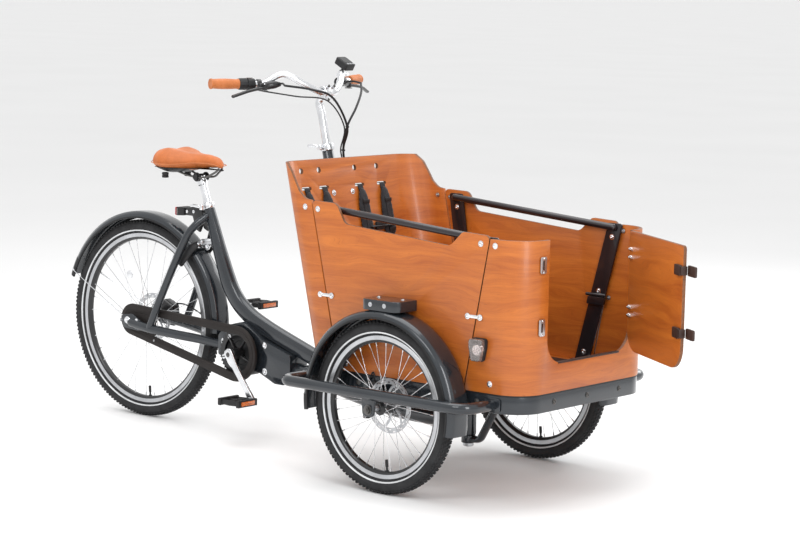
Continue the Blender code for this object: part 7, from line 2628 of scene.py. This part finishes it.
    def display(self) -> None:
        """Small display on an arm above the left of the bar, and a bell."""
        hold = at(0.712, 0.16, 1.193)
        tilt = (Matrix.Translation(hold) @ Matrix.Rotation(radians(28.0), 4,
            "Y") @ Matrix.Translation(-hold))
        lx, ly, lz = 0.712, 0.16, 1.1922
        case = prism(rounded(rect(lx - 0.026, ly - 0.018, lx + 0.026, ly + 0.026), 0.006, 5), lz + 0.003,
            lz + 0.0255, "Z")
        piece("display_case", moved(case, tilt), self.body, Finish.BLACK, bevel=0.0026, segments=3,
            replaces=["display"])
        glass = prism(rounded(rect(lx - 0.021, ly - 0.013, lx + 0.012, ly + 0.021), 0.003, 4), lz + 0.0252,
            lz + 0.0262, "Z")
        piece("display_glass", moved(glass, tilt), self.body, Finish.BLACK_METAL)
        keys = [prism(rounded(rect(lx + 0.015, ly - 0.01 + k * 0.012, lx + 0.022, ly - 0.002 + k * 0.012),
            0.002, 3), lz + 0.0252, lz + 0.0266, "Z") for k in range(3)]
        piece("display_keys", moved(merged(*keys), tilt), self.body, Finish.STEEL, bevel=0.0004)
        grip = self.along(0.186, 1)
        arm = sweep(smooth_path([grip + Vector((0, 0, 0.004)), grip + Vector((0.004, -0.006, 0.016)),
            hold + Vector((0.002, 0.004, 0.002))], 6), 0.0048, 16, True)
        ring = lathe(rect(0.0114, -0.006, 0.0152, 0.006), grip, self.facing(1), 32, closed=True)
        piece("display_arm", merged(arm, ring), self.body, Finish.BLACK, bevel=0.0006)
        seat = self.along(0.132, 1, (-0.01, 0, 0.016))
        dome = lathe([(0.0205, 0.0), (0.0202, 0.004), (0.018, 0.009), (0.013, 0.0128), (0.0065, 0.0148),
            (0.002, 0.0152)], seat, (0, 0, 1), 40)
        base = rod(seat - Vector((0, 0, 0.008)), seat + Vector((0, 0, 0.001)), 0.008, 24, 0.001)
        piece("bell_dome", dome, self.body, Finish.CHROME, smooth=50.0)
        piece("bell_base", base, self.body, Finish.BLACK)

    def cables(self) -> None:
        """Control cables from the levers down behind the rear wall."""
        tail = [at(0.872, 0.004, 1.02), at(0.846, 0.018, 0.95), at(0.848, 0.029, 0.88),
            at(0.885, 0.031, 0.7)]
        right = [at(0.775, -0.178, 1.146), at(0.835, -0.12, 1.135), at(0.868, -0.06, 1.11)]
        left = [at(0.775, 0.178, 1.146), at(0.835, 0.11, 1.12), at(0.866, 0.05, 1.075)]
        runs = [sweep(smooth_path([*route, *tail], 9), 0.0036, 16, True) for route in (right, left)]
        piece("cable_runs", merged(*runs), self.body, Finish.CABLE, replaces=["control_cables"])
        leads = []
        for side, reach in ((-1, right), (1, left)):
            start = self.along(0.156, side, (0.03, 0, 0.002)) + self.facing(side) * 0.044
            leads.append(sweep(smooth_path([start, (start + reach[0]) / 2 + Vector((0.004, 0, 0.004)),
                reach[0]], 6), 0.0032, 14, True))
        shift = self.along(0.142, -1, (0.0, 0, -0.016))
        leads.append(sweep(smooth_path([shift, shift + self.facing(-1) * 0.03 + Vector((0.012, 0, -0.006)),
            at(0.78, -0.13, 1.112), at(0.846, -0.06, 1.1), at(0.868, -0.006, 1.022),
            at(0.844, 0.008, 0.952), at(0.843, 0.014, 0.925)], 8), 0.0023, 12, True))
        piece("cable_leads", merged(*leads), self.body, Finish.CABLE)
        ties = [(at(0.872, 0.005, 1.02), (0.4, 0, 0.9)), (at(0.846, 0.018, 0.945), (0.1, 0, 1.0))]
        wrap = lathe(rect(0.0046, -0.002, 0.0058, 0.002), (0, 0, 0), (0, 0, 1), 20, closed=True)
        Repeat.points("cable_ties", wrap, ties, Finish.BLACK, self.body)

    def build(self) -> None:
        """Build the steering."""
        self.column()
        self.stem()
        self.bar()
        self.shifter()
        self.levers()
        self.display()
        self.cables()


# ------------------------------------------------------------------ stage
@dataclass
class Stage:
    """Pale floor, soft studio light and the camera."""

    lens: float = 108.95
    sensor: float = 36.0
    target: Vector = field(default_factory=lambda: at(1.123, -0.028, 0.611))
    distance: float = 7.345
    azimuth: float = radians(39.706)
    elevation: float = radians(6.965)
    roll: float = radians(1.262)

    def camera(self) -> None:
        """Place the camera on its orbit round the target."""
        data = bpy.data.cameras.new("camera")
        data.lens, data.sensor_width = self.lens, self.sensor
        back = Vector((sin(self.azimuth) * cos(self.elevation), -cos(self.azimuth) * cos(self.elevation),
            sin(self.elevation)))
        level = Vector((0, 0, 1)).cross(back).normalized()
        upright = back.cross(level)
        right = level * cos(self.roll) + upright * sin(self.roll)
        up = upright * cos(self.roll) - level * sin(self.roll)
        matrix = Matrix((right, up, back)).transposed().to_4x4()
        matrix.translation = self.target + back * self.distance
        camera = bpy.data.objects.new("camera", data)
        camera.matrix_world = matrix
        bpy.context.scene.collection.objects.link(camera)
        bpy.context.scene.camera = camera

    def floor(self) -> None:
        """Lay a wide pale floor."""
        tree = Tree("studio_floor")
        cloud = tree.noise(tree.place(), 0.6, 2.0)
        base = tree.colours(cloud, (0.3, (0.86, 0.86, 0.86)), (0.7, (0.88, 0.88, 0.88)))
        material = tree.surface(Base_Color=base, Roughness=0.75)
        mesh = bpy.data.meshes.new("floor")
        far = 600.0
        mesh.from_pydata([(-far, -far, 0), (far, -far, 0), (far, far, 0), (-far, far, 0)], [],
            [(0, 1, 2, 3)])
        mesh.materials.append(material)
        floor = bpy.data.objects.new("studio_floor", mesh)
        bpy.context.scene.collection.objects.link(floor)

    def lamp(self, name: str, place: Vector, size: Pair, power: float) -> None:
        """Hang one rectangular softbox that looks at the bicycle.

        Args:
            name: The lamp's name.
            place: Where it hangs.
            size: Its two sides.
            power: Its power in watts.
        """
        data = bpy.data.lights.new(name, "AREA")
        data.shape, data.size, data.size_y, data.energy = "RECTANGLE", size[0], size[1], power
        lamp = bpy.data.objects.new(name, data)
        lamp.location = place
        lamp.rotation_euler = (self.target - place).to_track_quat("-Z", "Y").to_euler()
        bpy.context.scene.collection.objects.link(lamp)

    def light(self) -> None:
        """Light the stage from a bright room, a large overhead box and two sides."""
        world = bpy.data.worlds.new("studio")
        world.use_nodes = True
        world.node_tree.nodes["Background"].inputs["Color"].default_value = (1.0, 1.0, 1.0, 1.0)
        world.node_tree.nodes["Background"].inputs["Strength"].default_value = 0.95
        bpy.context.scene.world = world
        bpy.context.scene.view_settings.view_transform = "Standard"
        self.lamp("overhead", at(0.6, 0.0, 4.2), (4.2, 3.0), 95.0)
        self.lamp("front_left_box", at(1.7, -4.4, 3.9), (2.6, 1.4), 62.0)
        self.lamp("front_right_box", at(5.4, -2.0, 2.4), (1.2, 2.8), 72.0)
        self.lamp("back_box", at(1.2, 4.6, 2.8), (3.0, 1.6), 50.0)

    def build(self) -> None:
        """Set the stage."""
        self.camera()
        self.floor()
        self.light()


def main() -> None:
    """Build every sub-assembly in order."""
    logging.basicConfig(level=logging.INFO, format="%(name)s: %(message)s")
    for builder in (Stage().build, wheels, RearFrame().build, Drive().build, Seat().build, Box().build,
            Door().build, Chassis().build, Bars().build):
        builder()


if __name__ == "__main__":
    main()
